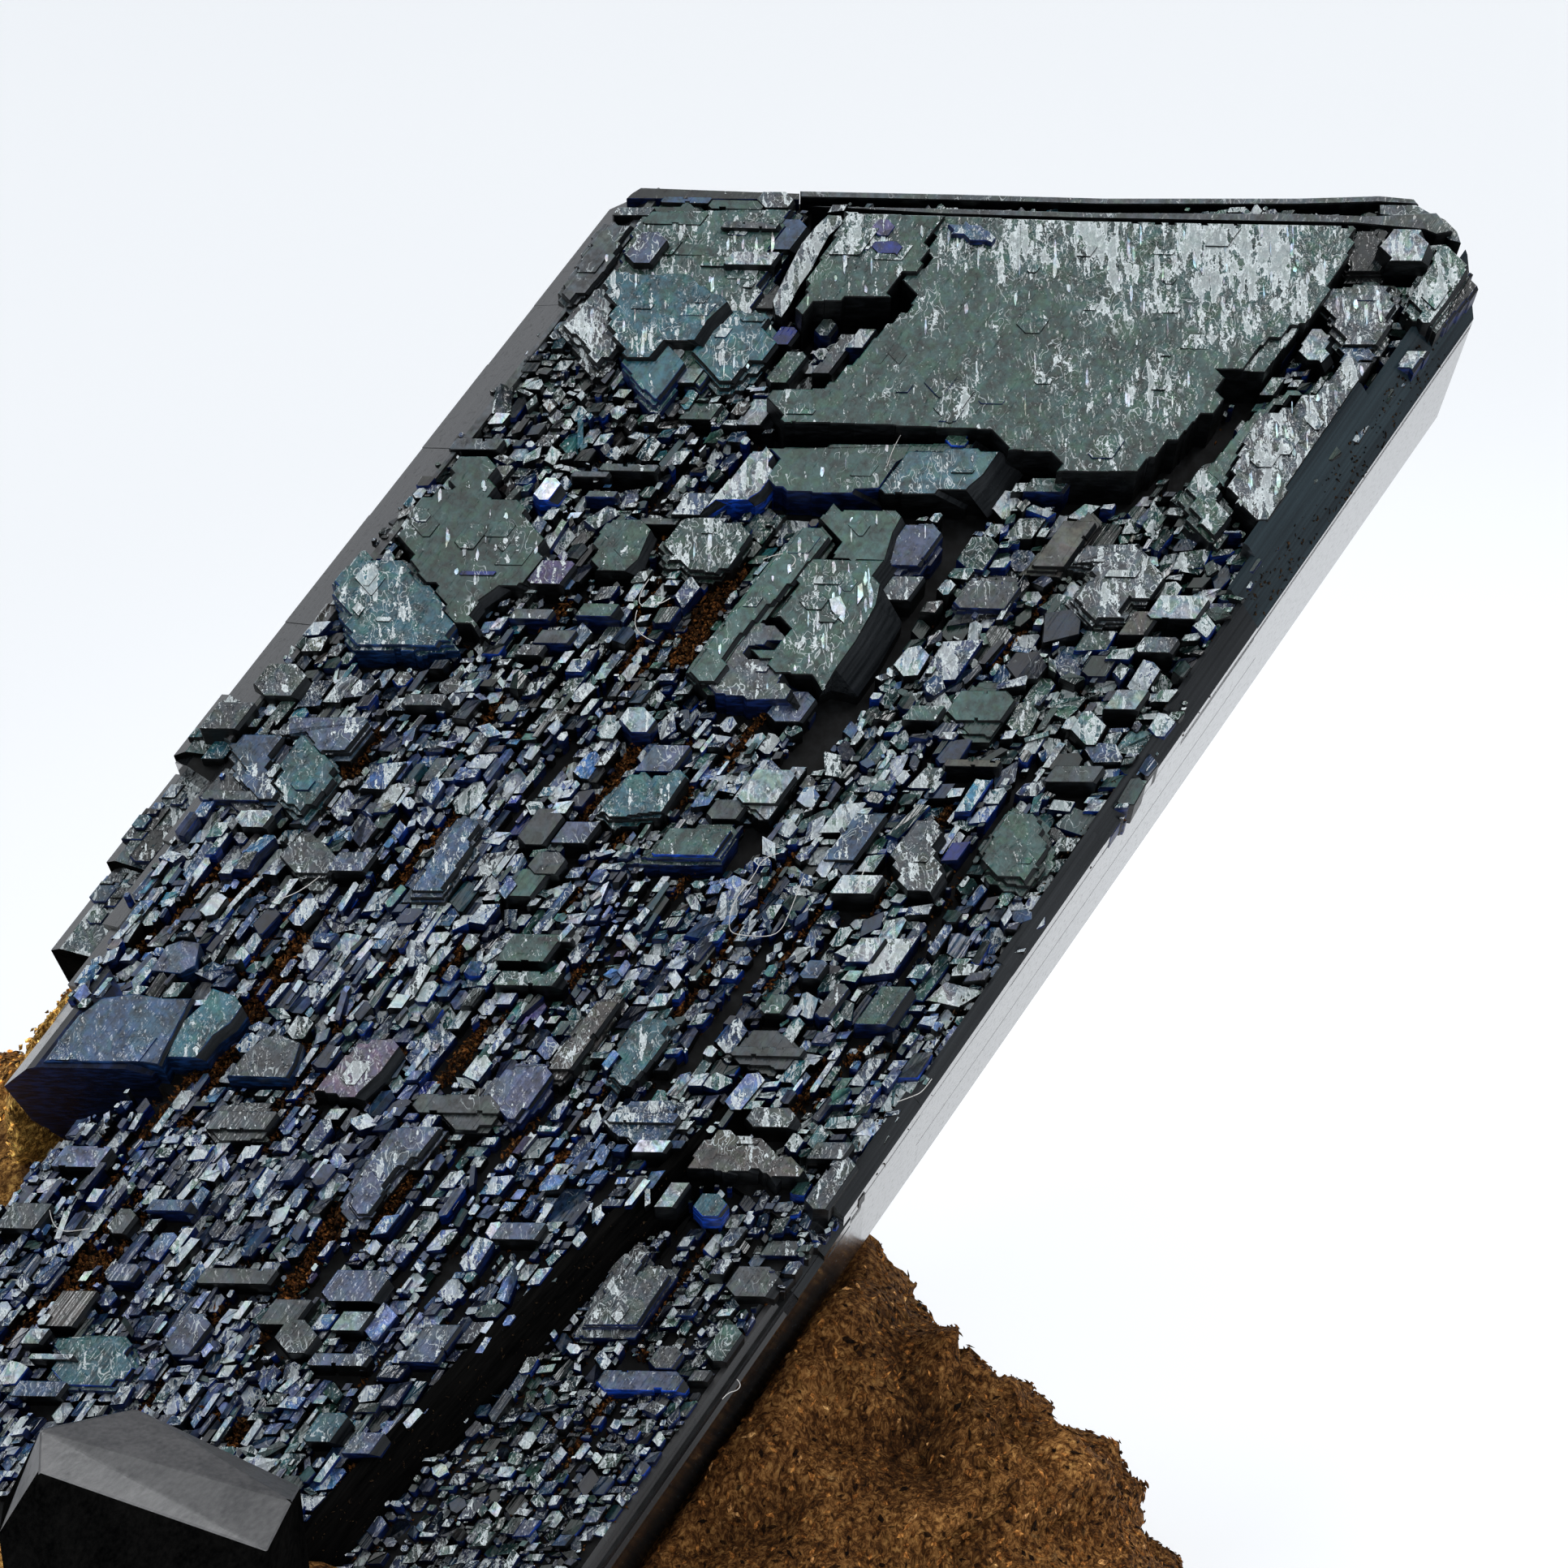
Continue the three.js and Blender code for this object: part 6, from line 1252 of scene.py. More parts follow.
def try_place(w, s, W, L, g, lim, sliver=False):
    if L < .75 * W:
        L = .75 * W
    i, j = int((w - W0) / RES), int((s - S0G) / RES)
    if not (2 < i < GW - 2 and 2 < j < GS - 2) or not free[i, j]:
        return False
    if cover[i, j] > .5 and g.random() > .12 and not sliver:
        return False
    up, right, v = region(w, s)
    isterr = terr[i, j]
    lowpart = v < 1.5 or isterr
    # keep to the columns in the lower, more finely grooved part
    ci = int(np.clip(np.searchsorted(COLS, w) - 1, 0, len(COLS) - 2))
    col_w = COLS[ci + 1] - COLS[ci]
    if lowpart and g.random() < .30 + .35 * (1 - right):
        if W > .55 * col_w:
            W = col_w * g.uniform(.86, .98)
            w = .5 * (COLS[ci] + COLS[ci + 1]) + g.normal(0, .015)
        elif g.random() < .5:
            w = COLS[ci] + .52 * W if g.random() < .5 else COLS[ci + 1] - .52 * W
    x0 = .46 * W if g.random() < .40 else g.uniform(-.46, .46) * W
    poly = hexagon(W, L, x0)
    poly *= 1 + g.normal(0, .07, (6, 2))
    straight = .86 - .34 * max(0.0, 1 - ((w - 3.5) / 6) ** 2 - ((s - 1.0) / 9) ** 2)
    r = g.normal(0, .04) if g.random() < straight else g.normal(0, .5)
    c_, s_ = math.cos(r), math.sin(r)
    poly = poly @ np.array([[c_, s_], [-s_, c_]]) + (w, s)
    lo, hi = poly.min(0), poly.max(0)
    i0, i1 = max(0, int((lo[0] - W0) / RES)), min(GW, int((hi[0] - W0) / RES) + 1)
    j0, j1 = max(0, int((lo[1] - S0G) / RES)), min(GS, int((hi[1] - S0G) / RES) + 1)
    X, Y = GX[i0:i1, j0:j1], GY[i0:i1, j0:j1]
    ins = inside(X, Y, poly)
    n = ins.sum()
    if n == 0:
        return False
    sub = cover[i0:i1, j0:j1]
    if (sub[ins] > .5).mean() > lim and not sliver:
        return False
    sub[ins] += 1
    base_lvl = float(np.interp(s, [-15.8, -9.6], [-1.9, -.40])) if isterr else (-.25 + .10 * up)
    if isterr and w - step_w[0, j] < 1.3:
        base_lvl += .25
    if w > 8.2:
        base_lvl -= (.12 + .5 * max(0.0, w - 8.6)) if s < 9.5 else .22
    if w < -11.2 and -18.6 < s < -14.4:
        base_lvl += .62
    if W < .26:
        base_lvl -= .14
    top = base_lvl + .24 * float(wave(np.array([w * .9]), np.array([s * .45]), 11)[0]) + .18 * float(wave(np.array([w * 4.0]), np.array([s * .5]), 12)[0])
    if lowpart:
        top += COL_H[ci]
    top += g.uniform(-.44, .44) + .12 * min(1.0, W - .4)
    if sliver:
        top = max(top, base_lvl + .12) + g.uniform(.02, .20)
    tilt = g.normal(0, .04, 2) if g.random() < .62 else g.normal(0, .15, 2)
    tint = tint_for(w, s, g) * g.uniform(.38, 1.48 + .32 * (1 - up))
    if isterr:
        tint = tint * .52
    tint = tint * (np.array([1.24, 1.28, 1.46]) if v < 2 and not isterr else 1.0)
    q = g.random() * (1 - .16 * (1 - up)) * (.55 if sliver else 1)
    white = (g.uniform(.25, .95) if W < .40 else g.uniform(.45, 1.2)) * (.85 if isterr else (1.18 if v < 2 else 1.0))
    # some crystals are whitened or made bright: painted highlights and glints
    if q < .14:
        white = g.uniform(.9, 1.3)
        tint = tint * .5 + np.array(TINTS["white"]) * g.uniform(.5, 1.4)
    elif q < .175:
        white = 1.3
        tint = np.array(TINTS["bright"]) * g.uniform(.4, .9)
    elif q < .38:
        white = 0.0
        tint = tint * .35
    wq = g.random()
    wall = PAINTED_SHADE_WALL
    if wq < .12 + .28 * (1 - up):
        wall = NAVY_WALL
    elif wq < .16 + .46 * (1 - up):
        wall = tuple(np.array(BLUE_WALL) * g.uniform(.12, .75))
    roof = 0.0
    if W > .2 and g.random() < .55:
        roof = g.uniform(.04, .16) * min(1, W / .5)
    crystals.append((poly, top, base_lvl - 1.35, tilt, tint, white, min(.035, .10 * W), 3 if isterr else (0 if v > 8.5 else (1 if v > -2.5 else 2)), wall, roof, W))
    return True

g = np.random.default_rng(77)
ii, jj = np.nonzero(free)
n_terr = terr[ii, jj]
for wave_no, (count, lo_w, hi_w, lim) in enumerate([(950, .66, .95, .10), (8500, .42, .66, .15), (26000, .30, .46, .18), (36000, .19, .31, .20), (26000, .11, .19, .22)]):
    pick = g.integers(0, len(ii), count)
    for t in pick:
        w, s = gx[ii[t]] + g.uniform(-.5, .5) * RES, gy[jj[t]] + g.uniform(-.5, .5) * RES
        up, right, v = region(w, s)
        fine = .72 + .42 * right * (1 - abs(up - .5)) + .18 * (wave(np.array([w * .35]), np.array([s * .3]), 21)[0])
        el = .92 + .85 * (1 - up) * (1 - .8 * right) + .45 * abs(g.normal())
        if n_terr[t]:
            fine, el = .72, 1.1 + .4 * abs(g.normal())
        W = g.uniform(lo_w, hi_w) * fine
        if wave_no == 0 and g.random() < .45 + .5 * (fine < .8):
            continue
        try_place(w, s, W, W * el * g.uniform(.8, 1.35), g, lim)
# slender rods that lie along the length
for _ in range(1500):
    t = g.integers(0, len(ii))
    w, s = gx[ii[t]], gy[jj[t]]
    up, right, v = region(w, s)
    if g.random() > .10 + .85 * (1 - up) * (1 - .7 * right):
        continue
    W = g.uniform(.09, .22)
    try_place(w, s, W, W * g.uniform(3.5, 10), g, .5)
# and narrow ones that stand a little above their neighbours, more often whitened as painted highlights
for _ in range(2300):
    t = g.integers(0, len(ii))
    w, s = gx[ii[t]], gy[jj[t]]
    up, right, v = region(w, s)
    if g.random() > .05 + .80 * (1 - up) * (1 - .8 * right) or w > 7.8 or w < -14.3 or n_terr[t]:
        continue
    W = g.uniform(.09, .20)
    try_place(w, s, W, W * g.uniform(2.0, 6.5), g, 1.0, True)
print("small crystals", len(crystals), [sum(1 for c in crystals if c[7] == k) for k in range(4)])

def prism_template(roofed, rings):
    """Two-facet or flat top, then the rings down to the base."""
    faces = [[0, 1, 4, 5], [1, 2, 3, 4]] if roofed else [[0, 1, 2, 3, 4, 5]]
    tops = len(faces)
    for r in range(rings - 1):
        for i in range(6):
            j = (i + 1) % 6
            faces.append([(r + 1) * 6 + i, (r + 1) * 6 + j, r * 6 + j, r * 6 + i])
    k = (rings - 1) * 6
    faces.append([k + 5, k + 4, k + 3, k + 2, k + 1, k])
    if rings == 3:
        # the chamfers on the upper end and left side take the top material: painted highlight
        mats = [TOP] * tops + [WALL, WALL, WALL, TOP, TOP, TOP] + [WALL] * 7
    else:
        mats = [TOP] * tops + [WALL] * 7
    return faces, mats, tops

groups = {k: Pile() for k in range(4)}
for k in range(4):
    for roofed in (False, True):
        for rings in (2, 3):
            sub = [c for c in crystals if c[7] == k and (c[9] > 0) == roofed and (c[10] > .24) == (rings == 3)]
            if not sub:
                continue
            faces, mats, tops = prism_template(roofed, rings)
            poly = np.array([c[0] for c in sub])
            top = np.array([c[1] for c in sub])[:, None]
            base = np.array([c[2] for c in sub])[:, None]
            tilt = np.array([c[3] for c in sub])
            mid = poly.mean(1, keepdims=True)
            ch = np.array([c[6] for c in sub])[:, None, None]
            ext = (poly.max(1) - poly.min(1))[:, None, :]
            inner = mid + (poly - mid) * (1 - 2 * ch * np.array([1.0, .35]) / ext)
            def lift(q, h):
                return np.concatenate([q, (h + ((q - mid) * tilt[:, None, :]).sum(2))[..., None]], 2)
            drop = 1.2 * ch[:, :, 0]
            ring_list = []
            if rings == 3:
                a = lift(inner, top)
                if roofed:
                    a[:, [1, 4], 2] += np.array([c[9] for c in sub])[:, None]
                ring_list = [a, lift(poly, top - drop)]
            else:
                a = lift(poly, top)
                if roofed:
                    a[:, [1, 4], 2] += np.array([c[9] for c in sub])[:, None]
                ring_list = [a]
            ring_list.append(np.concatenate([poly, np.broadcast_to(base[..., None], poly.shape[:2] + (1,))], 2))
            v = np.concatenate(ring_list, 1)
            cols = np.zeros((len(sub), len(faces), 4))
            tint = np.array([c[4] for c in sub])
            white = np.array([c[5] for c in sub])
            wall = np.array([c[8] for c in sub])
            cols[:, :, :3] = wall[:, None, :]
            gg = np.random.default_rng(9 + k)
            for f in range(tops):
                var = gg.uniform(.55, 1.45, (len(sub), 1)) if tops == 2 else 1.0
                cols[:, f, :3] = tint * var
                cols[:, f, 3] = white
            if rings == 3:
                # these chamfers get a lighter tint and more whitening: painted highlight
                for f in range(tops + 3, tops + 6):
                    cols[:, f, :3] = np.minimum(tint * 1.6, .6)
                    cols[:, f, 3] = np.minimum(white + .25, 1.5)
            groups[k].add_many(place(v), faces, mats, cols)

# ------------------------------------------------------------------ grains of limonite in the grooves and on the rock
ICO_V = np.array([(1, 0, 0), (-1, 0, 0), (0, 1, 0), (0, -1, 0), (0, 0, 1), (0, 0, -1)], float)
ICO_F = [[0, 2, 4], [2, 1, 4], [1, 3, 4], [3, 0, 4], [2, 0, 5], [1, 2, 5], [3, 1, 5], [0, 3, 5]]

def grains(pile, centres, normals, size, seed, tint_fn, squash=(.45, .75), stretch=(1.0, 2.4), rise=.35):
    g = np.random.default_rng(seed)
    k = len(centres)
    if k == 0:
        return
    sc = size[:, None] * np.stack([g.uniform(*stretch, k), g.uniform(.6, 1.0, k), g.uniform(*squash, k)], 1)
    t = g.normal(size=(k, 3))
    t -= normals * (t * normals).sum(1, keepdims=True)
    t += normals * g.normal(0, rise, (k, 1))
    t /= np.linalg.norm(t, axis=1, keepdims=True)
    b = np.cross(normals, t)
    b /= np.linalg.norm(b, axis=1, keepdims=True)
    n = np.cross(t, b)
    loc = (ICO_V[None] * (1 + g.normal(0, .16, (k, len(ICO_V), 1))) + g.normal(0, .18, (k, len(ICO_V), 3))) * sc[:, None, :]
    v = centres[:, None, :] + loc[..., 0:1] * t[:, None] + loc[..., 1:2] * b[:, None] + loc[..., 2:3] * n[:, None]
    c = tint_fn(centres, g)
    cols = np.repeat(np.concatenate([c, np.ones((k, 1))], 1)[:, None, :], len(ICO_F), 1)
    pile.add_many(v, ICO_F, [0] * len(ICO_F), cols)

fill = Pile()
g = np.random.default_rng(31)
gi, gj = np.nonzero(groove & allowed & ~taken)
n_fill = 9000
sel = g.integers(0, len(gi), n_fill)
ctr = place(np.column_stack([gx[gi[sel]] + g.normal(0, .05, n_fill), gy[gj[sel]] + g.normal(0, .05, n_fill), g.uniform(-.95, -.35, n_fill) - (terr[gi[sel], gj[sel]] * 1.6)]))
def fill_tint(c, g):
    k = g.uniform(.12, 1.6, len(c))[:, None]
    return k * np.array([.60, .5, .40]) * np.where(g.random((len(c), 1)) < .25, np.array([[.9, 1.0, 1.1]]), np.array([[1.1, 1.0, .9]]))
grains(fill, ctr, np.broadcast_to(N, ctr.shape), g.uniform(.035, .085, n_fill), 32, fill_tint)
# a thin scatter of brown dust in the dark gaps
di, dj = np.nonzero((cover < .5) & allowed & ~taken)
sel = g.integers(0, len(di), 4000)
ctr = place(np.column_stack([gx[di[sel]], gy[dj[sel]], g.uniform(-1.1, -.7, 4000) - (terr[di[sel], dj[sel]] * 1.4)]))
grains(fill, ctr, np.broadcast_to(N, ctr.shape), g.uniform(.03, .07, 4000), 33, lambda c, g: g.uniform(.15, .6, (len(c), 1)) * np.array([[1.0, .8, .6]]))

g = np.random.default_rng(35)
nb = 700
bs = g.uniform(-10, 25, nb)
bt = g.random(nb)
ctr = place(np.column_stack([8.35 + .85 * bt, bs, -1.17 * bt + .01]))
grains(fill, ctr, np.broadcast_to(unit(.809 * P + .588 * N), ctr.shape), g.uniform(.02, .06, nb), 36, lambda c, g: g.uniform(.05, .45, (len(c), 1)) * np.array([[.55, .62, .8]]))
nb = 260
bs = g.uniform(-30, -11, nb)
bt = g.random(nb)
sw_ = np.interp(bs, [-34, -26, -20, -14.5, -11, -9.3], [.45, 1.75, 2.62, 3.62, 4.35, 4.7])
ctr = place(np.column_stack([sw_ + .9 * bt + .02, bs, -.12 - 1.6 * bt]))
grains(fill, ctr, np.broadcast_to(unit(.85 * P + .5 * N), ctr.shape), g.uniform(.02, .05, nb), 37, lambda c, g: g.uniform(.05, .40, (len(c), 1)) * np.array([[.5, .6, .8]]))

# ------------------------------------------------------------------ the rock, from its CAD solid
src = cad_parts["matrix_rock"]
rock_me = src.data.copy()
rock = bpy.data.objects.new("rock", rock_me)
bpy.context.scene.collection.objects.link(rock)
for mod_kind, props in (("REMESH", {"mode": "VOXEL", "voxel_size": 0.00036, "use_smooth_shade": True}),):
    md = rock.modifiers.new("m", mod_kind)
    for a, b_ in props.items():
        setattr(md, a, b_)
dg = bpy.context.evaluated_depsgraph_get()
dg.update()
me2 = bpy.data.meshes.new_from_object(rock.evaluated_get(dg))
rock.modifiers.clear()
rock.data = me2
co = np.zeros(len(me2.vertices) * 3, np.float32)
me2.vertices.foreach_get("co", co)
co = co.reshape(-1, 3).astype(float) * 1000
ed = np.zeros(len(me2.edges) * 2, np.int32)
me2.edges.foreach_get("vertices", ed)
ed = ed.reshape(-1, 2)

def relax(values, rounds):
    for _ in range(rounds):
        acc = np.zeros_like(values)
        cnt = np.zeros(len(values))
        np.add.at(acc, ed[:, 0], values[ed[:, 1]])
        np.add.at(acc, ed[:, 1], values[ed[:, 0]])
        np.add.at(cnt, ed.ravel(), 1)
        values = .5 * values + .5 * acc / cnt.reshape(-1, *([1] * (values.ndim - 1)))
    return values

def slab_gap(q):
    """Clearance from the crystals' space (mm): positive outside."""
    d = q - O
    w, s, h = d @ P, d @ C, d @ N
    a = np.maximum.reduce([w - 9.2, -17.2 - w, h - .2, -15.0 - h, s - 29])
    inner = np.maximum.reduce([w - 7.4, -13.4 - w, h + 9, -15.0 - h])
    main = np.maximum.reduce([w - 9.2, -17.2 - w, h - .2, -10.0 - h])
    f = np.maximum.reduce([np.abs(q[:, 0] + 13.2) - 4.7, np.abs(q[:, 1] + 17.5) - 4.2, 8 - q[:, 2]])
    return np.minimum(np.minimum(main, inner), f)

nrm = np.zeros(len(me2.vertices) * 3, np.float32)
me2.vertices.foreach_get("normal", nrm)
nrm = relax(nrm.reshape(-1, 3).astype(float), 3)
nrm /= np.maximum(np.linalg.norm(nrm, axis=1, keepdims=True), 1e-6)
gapv = slab_gap(co)
soft = np.clip((gapv - .1) / 1.2, 0, 1)
flatfoot = np.clip((co[:, 2] - .02) / 1.2, 0, 1)
base_co = relax(co.copy(), 3)
co = co + (base_co - co) * (soft * flatfoot)[:, None]

def noise3(q, f, seed, octaves=3):
    g = np.random.default_rng(seed)
    out = np.zeros(len(q))
    amp, tot = 1.0, 0.0
    for o in range(octaves):
        for _ in range(5):
            d = g.normal(size=3)
            d /= np.linalg.norm(d)
            d2 = g.normal(size=3)
            d2 /= np.linalg.norm(d2)
            k = f * g.uniform(.7, 1.5)
            out += amp * np.sin(k * (q @ d) + 1.3 * np.sin(.8 * k * (q @ d2) + g.uniform(0, 6)) + g.uniform(0, 6)) / 2.3
        tot += amp
        amp *= .55
        f *= 2.0
    return out / tot

REACH_LEV = [8.0, 8.75, 9.26, 9.77, 10.28, 10.8, 11.31, 11.82, 12.33, 12.84, 13.36, 13.87, 14.38, 14.9, 15.4, 15.9, 16.4, 16.9, 17.5, 18.0, 18.5, 19.0]
REACH_R = [-.2, -.36, 0, -.08, .40, 1.15, 1.35, 1.55, .75, .75, 1.0, .80, .3, .45, .25, .2, .60, .7, .45, .55, .5, 0]
REACH_L = [0.0] * 8
lump = noise3(co, .45, 41) * .42
rough = noise3(co, 1.5, 42, 2) * .11
# ribs that fan down from the top of the right-hand ridge
ang = np.arctan2(co[:, 0] - 9.6, np.maximum(.5, 17.5 - co[:, 2]))
ribs = np.sin(ang * 15 + 1.3 * np.sin(co[:, 2] * .55)) * (.26 + .22 * np.sin(co[:, 2] * .9 + ang * 3)) * (co[:, 0] > 1)
ribs += np.sin(ang * 31 + 1.1 * np.sin(co[:, 2] * 1.1)) * .06 * (co[:, 0] > 1)
rough = rough + ribs
def crags(q, cell, seed, lift, seam):
    """Angular blocks: every cell of a scatter of points stands out by its own amount, with a seam round it."""
    gg = np.random.default_rng(seed)
    lo, hi = q.min(0) - 1, q.max(0) + 1
    n = int(np.prod((hi - lo) / cell))
    pts = gg.uniform(lo, hi, (n, 3))
    height = gg.normal(0, lift, n)
    tilt = gg.normal(0, lift * 1.1 / cell, (n, 3))
    tree = KDTree(n)
    for k, x in enumerate(pts):
        tree.insert(x, k)
    tree.balance()
    out = np.zeros(len(q))
    for k, x in enumerate(q):
        (c0, i0, d0), (c1, i1, d1) = tree.find_n(x, 2)
        out[k] = height[i0] + (x - pts[i0]) @ tilt[i0] - seam * math.exp(-((d1 - d0) / (.10 * cell)) ** 2)
    return out

wob = np.stack([noise3(co, .8, 60 + i, 2) for i in range(3)], 1) * .5
rough = rough + relax(crags(co + wob, 4.2, 46, .30, .20), 5) + relax(crags(co + wob, 1.9, 47, .12, .12), 4)
grain_n = g.normal(0, .022, len(co))
pits = -np.clip(noise3(co, .9, 43) - .55, 0, 1) * 1.1
# the knob and the pit on the right ridge, and the raised right outline
bumps = np.zeros(len(co))
for (bx, by, bz), rad, amp in ROCK_BUMPS:
    d2 = ((co - (bx, by, bz)) ** 2).sum(1)
    bumps += amp * np.exp(-d2 / (rad * rad))
disp = (lump + rough + grain_n + pits + bumps) * soft * flatfoot
out = co + nrm * disp[:, None]
# the outline's reach to the right, by height and depth; the reach to the left is zero throughout
lev = .5 * out[:, 1] + .866 * out[:, 2]
reach_r = np.interp(lev, REACH_LEV, REACH_R)
reach_l = np.interp(lev, [20.0, 22.5, 23.6, 24.6, 25.4, 26.2, 27.0, 28.0], REACH_L)
out[:, 0] += reach_r * np.clip((out[:, 0] - 4) / 4.5, 0, 1) ** 2 * soft * flatfoot
out[:, 0] += reach_l * np.clip((-14 - out[:, 0]) / 3, 0, 1) * soft * flatfoot
out[:, 2] = np.maximum(out[:, 2], 0.0)
me2.vertices.foreach_set("co", (out * MM).astype(np.float32).ravel())
me2.update()
me2.materials.clear()
me2.materials.append(M_ROCK)
att = me2.color_attributes.new("tint", "FLOAT_COLOR", "POINT")
gold = np.clip((-15.5 - out[:, 0]) / 3, 0, 1) * np.clip((out[:, 2] - 15) / 5, 0, 1)
gold = gold * (.55 + .45 * np.sign(noise3(out, 3.2, 49, 2)))
dk = np.clip(.5 - .5 * noise3(out, .35, 44), 0, 1)
dk = dk * .8
tcol = np.stack([.55 * (1.05 - .55 * dk) + .75 * gold, .55 * (1.0 - .55 * dk) + .85 * gold, .55 * (.95 - .5 * dk) + .70 * gold, np.ones(len(out))], 1)
# shade the deep hollows
tcol[:, :3] *= np.clip(1.04 + (lump + rough + pits)[:, None] * .55, .4, 1.3)
att.data.foreach_set("color", tcol.astype(np.float32).ravel())
print("rock triangles", sum(len(p.vertices) - 2 for p in me2.polygons))

# loose-looking grains on the rock, thickest where its crust is open
nr = np.zeros(len(me2.vertices) * 3, np.float32)
me2.vertices.foreach_get("normal", nr)
nr = nr.reshape(-1, 3).astype(float)
g = np.random.default_rng(51)
wgt = (soft > .25) * (out[:, 2] > .4)
wgt = wgt * (1.0 + 2.5 * np.clip((out[:, 0] - 2) / 6, 0, 1) * np.clip((-out[:, 1] + 6) / 8, 0, 1) + 2.0 * gold)
sel = g.choice(len(out), 22500, replace=False, p=wgt / wgt.sum())
rg = Pile()
def rock_tint(c, g):
    gd = (np.clip((-15.5 - c[:, 0]) / 3, 0, 1) * np.clip((c[:, 2] - 15) / 5, 0, 1))[:, None]
    k = (g.uniform(.10, 1.6, len(c)) ** 1.5)[:, None]
    fleck = g.random((len(c), 1)) < .08
    return k * np.where(fleck, np.array([[1.15, 1.25, 1.5]]), np.array([[.62, .53, .44]])) * (1 + gd * np.array([[3.2, 3.3, 2.2]]) * (g.random((len(c), 1)) < .6))
grains(rg, out[sel] + nr[sel] * .02, nr[sel], g.uniform(.05, .12, len(sel)), 52, rock_tint, (.30, .65), (1.2, 2.2), .17)
# a golden crust of the rock that climbs the flank of the thick left crystal
gq = np.random.default_rng(57)
nu, nv = 72, 48
uu, vv = np.meshgrid(np.arange(nu) / nu * 2 * np.pi, -np.pi / 2 + (np.arange(nv) + .5) / nv * np.pi, indexing="ij")
dirs = np.stack([np.cos(vv) * np.cos(uu), np.cos(vv) * np.sin(uu), np.sin(vv)], 2).reshape(-1, 3)
swell = 1 + .10 * noise3(dirs * 1.0, 4.2, 58, 3) + .05 * noise3(dirs * 1.0, 12.0, 59, 2)
crust_l = dirs * np.array([1.0, 3.0, 5.3]) * swell[:, None]
crust_l[:, 1] += .1 * crust_l[:, 2]
crust_v = place(crust_l + np.array([-14.62, -19.0, -8.1]))
crust = Pile()
cf = []
for a in range(nu):
    b = (a + 1) % nu
    for c in range(nv - 1):
        cf.append([a * nv + c, b * nv + c, b * nv + c + 1, a * nv + c + 1])
cf.append([a * nv + nv - 1 for a in range(nu)])
cf.append([a * nv for a in range(nu)][::-1])
crust_n = dirs[:, 0:1] / 1.0 * P + dirs[:, 1:2] / 3.0 * C + dirs[:, 2:3] / 5.3 * N
crust_n /= np.linalg.norm(crust_n, axis=1, keepdims=True)
speck = gq.uniform(.45, 1.25, len(cf))
crust.add(crust_v, cf, [0] * len(cf), [(1.6 * k, 1.95 * k, 1.6 * k, 1.0) for k in speck])
on = np.nonzero((crust_n @ P < .35) & (crust_v[:, 2] > 14))[0]
sel = gq.choice(on, 1150)
pos = crust_v[sel] + gq.normal(0, .09, (len(sel), 3))
grains(rg, pos, crust_n[sel], gq.uniform(.05, .13, len(sel)), 60,
       lambda c, g: g.uniform(.35, 1.5, (len(c), 1)) * np.array([[1.8, 2.25, 2.0]]) * np.where(g.random((len(c), 1)) < .22, 2.2, 1.0), (.4, .8), (1.0, 1.8), .2)

# ------------------------------------------------------------------ the front crystal
def front_piece():
    top = [(-16.6, -15.4, 26.35), (-14.2, -15.1, 26.75), (-9.5, -16.9, 25.45), (-16.55, -16.9, 27.45), (-9.5, -18.6, 26.35), (-16.4, -18.3, 27.15), (-10.0, -20.4, 26.15),
           (-17.9, -16.7, 24.6), (-9.35, -18.2, 24.4), (-17.75, -18.2, 24.8), (-9.6, -20.0, 24.6)]
    lean = unit([-.09, .30, 1])
    pts = []
    for q in top:
        q = np.array(q)
        pts += [q, q - lean * ((q[2] - 8.0) / lean[2])]
    bm = bmesh.new()
    for q in pts:
        bm.verts.new(Vector(q * MM))
    res = bmesh.ops.convex_hull(bm, input=bm.verts)
    junk = [x for x in res["geom_interior"] if isinstance(x, bmesh.types.BMVert)] + [x for x in res["geom_unused"] if isinstance(x, bmesh.types.BMVert)]
    bmesh.ops.delete(bm, geom=list(set(junk)), context="VERTS")
    bmesh.ops.dissolve_limit(bm, angle_limit=.03, verts=bm.verts, edges=bm.edges)
    bmesh.ops.bevel(bm, geom=list(bm.edges), offset=.00004, segments=1, affect="EDGES")
    me = bpy.data.meshes.new("front")
    bm.to_mesh(me)
    bm.free()
    ob = bpy.data.objects.new("front", me)
    bpy.context.scene.collection.objects.link(ob)
    return ob

front = front_piece()
front.name = "front_crystal_detail"
front.data.materials.append(M_FRONT_LIT)
front.data.materials.append(M_PAINTED_SHADE)
# upward faces get the lighter grey as painted light, steep faces the near-black painted shade
for p in front.data.polygons:
    p.material_index = 0 if p.normal.z > .45 else 1

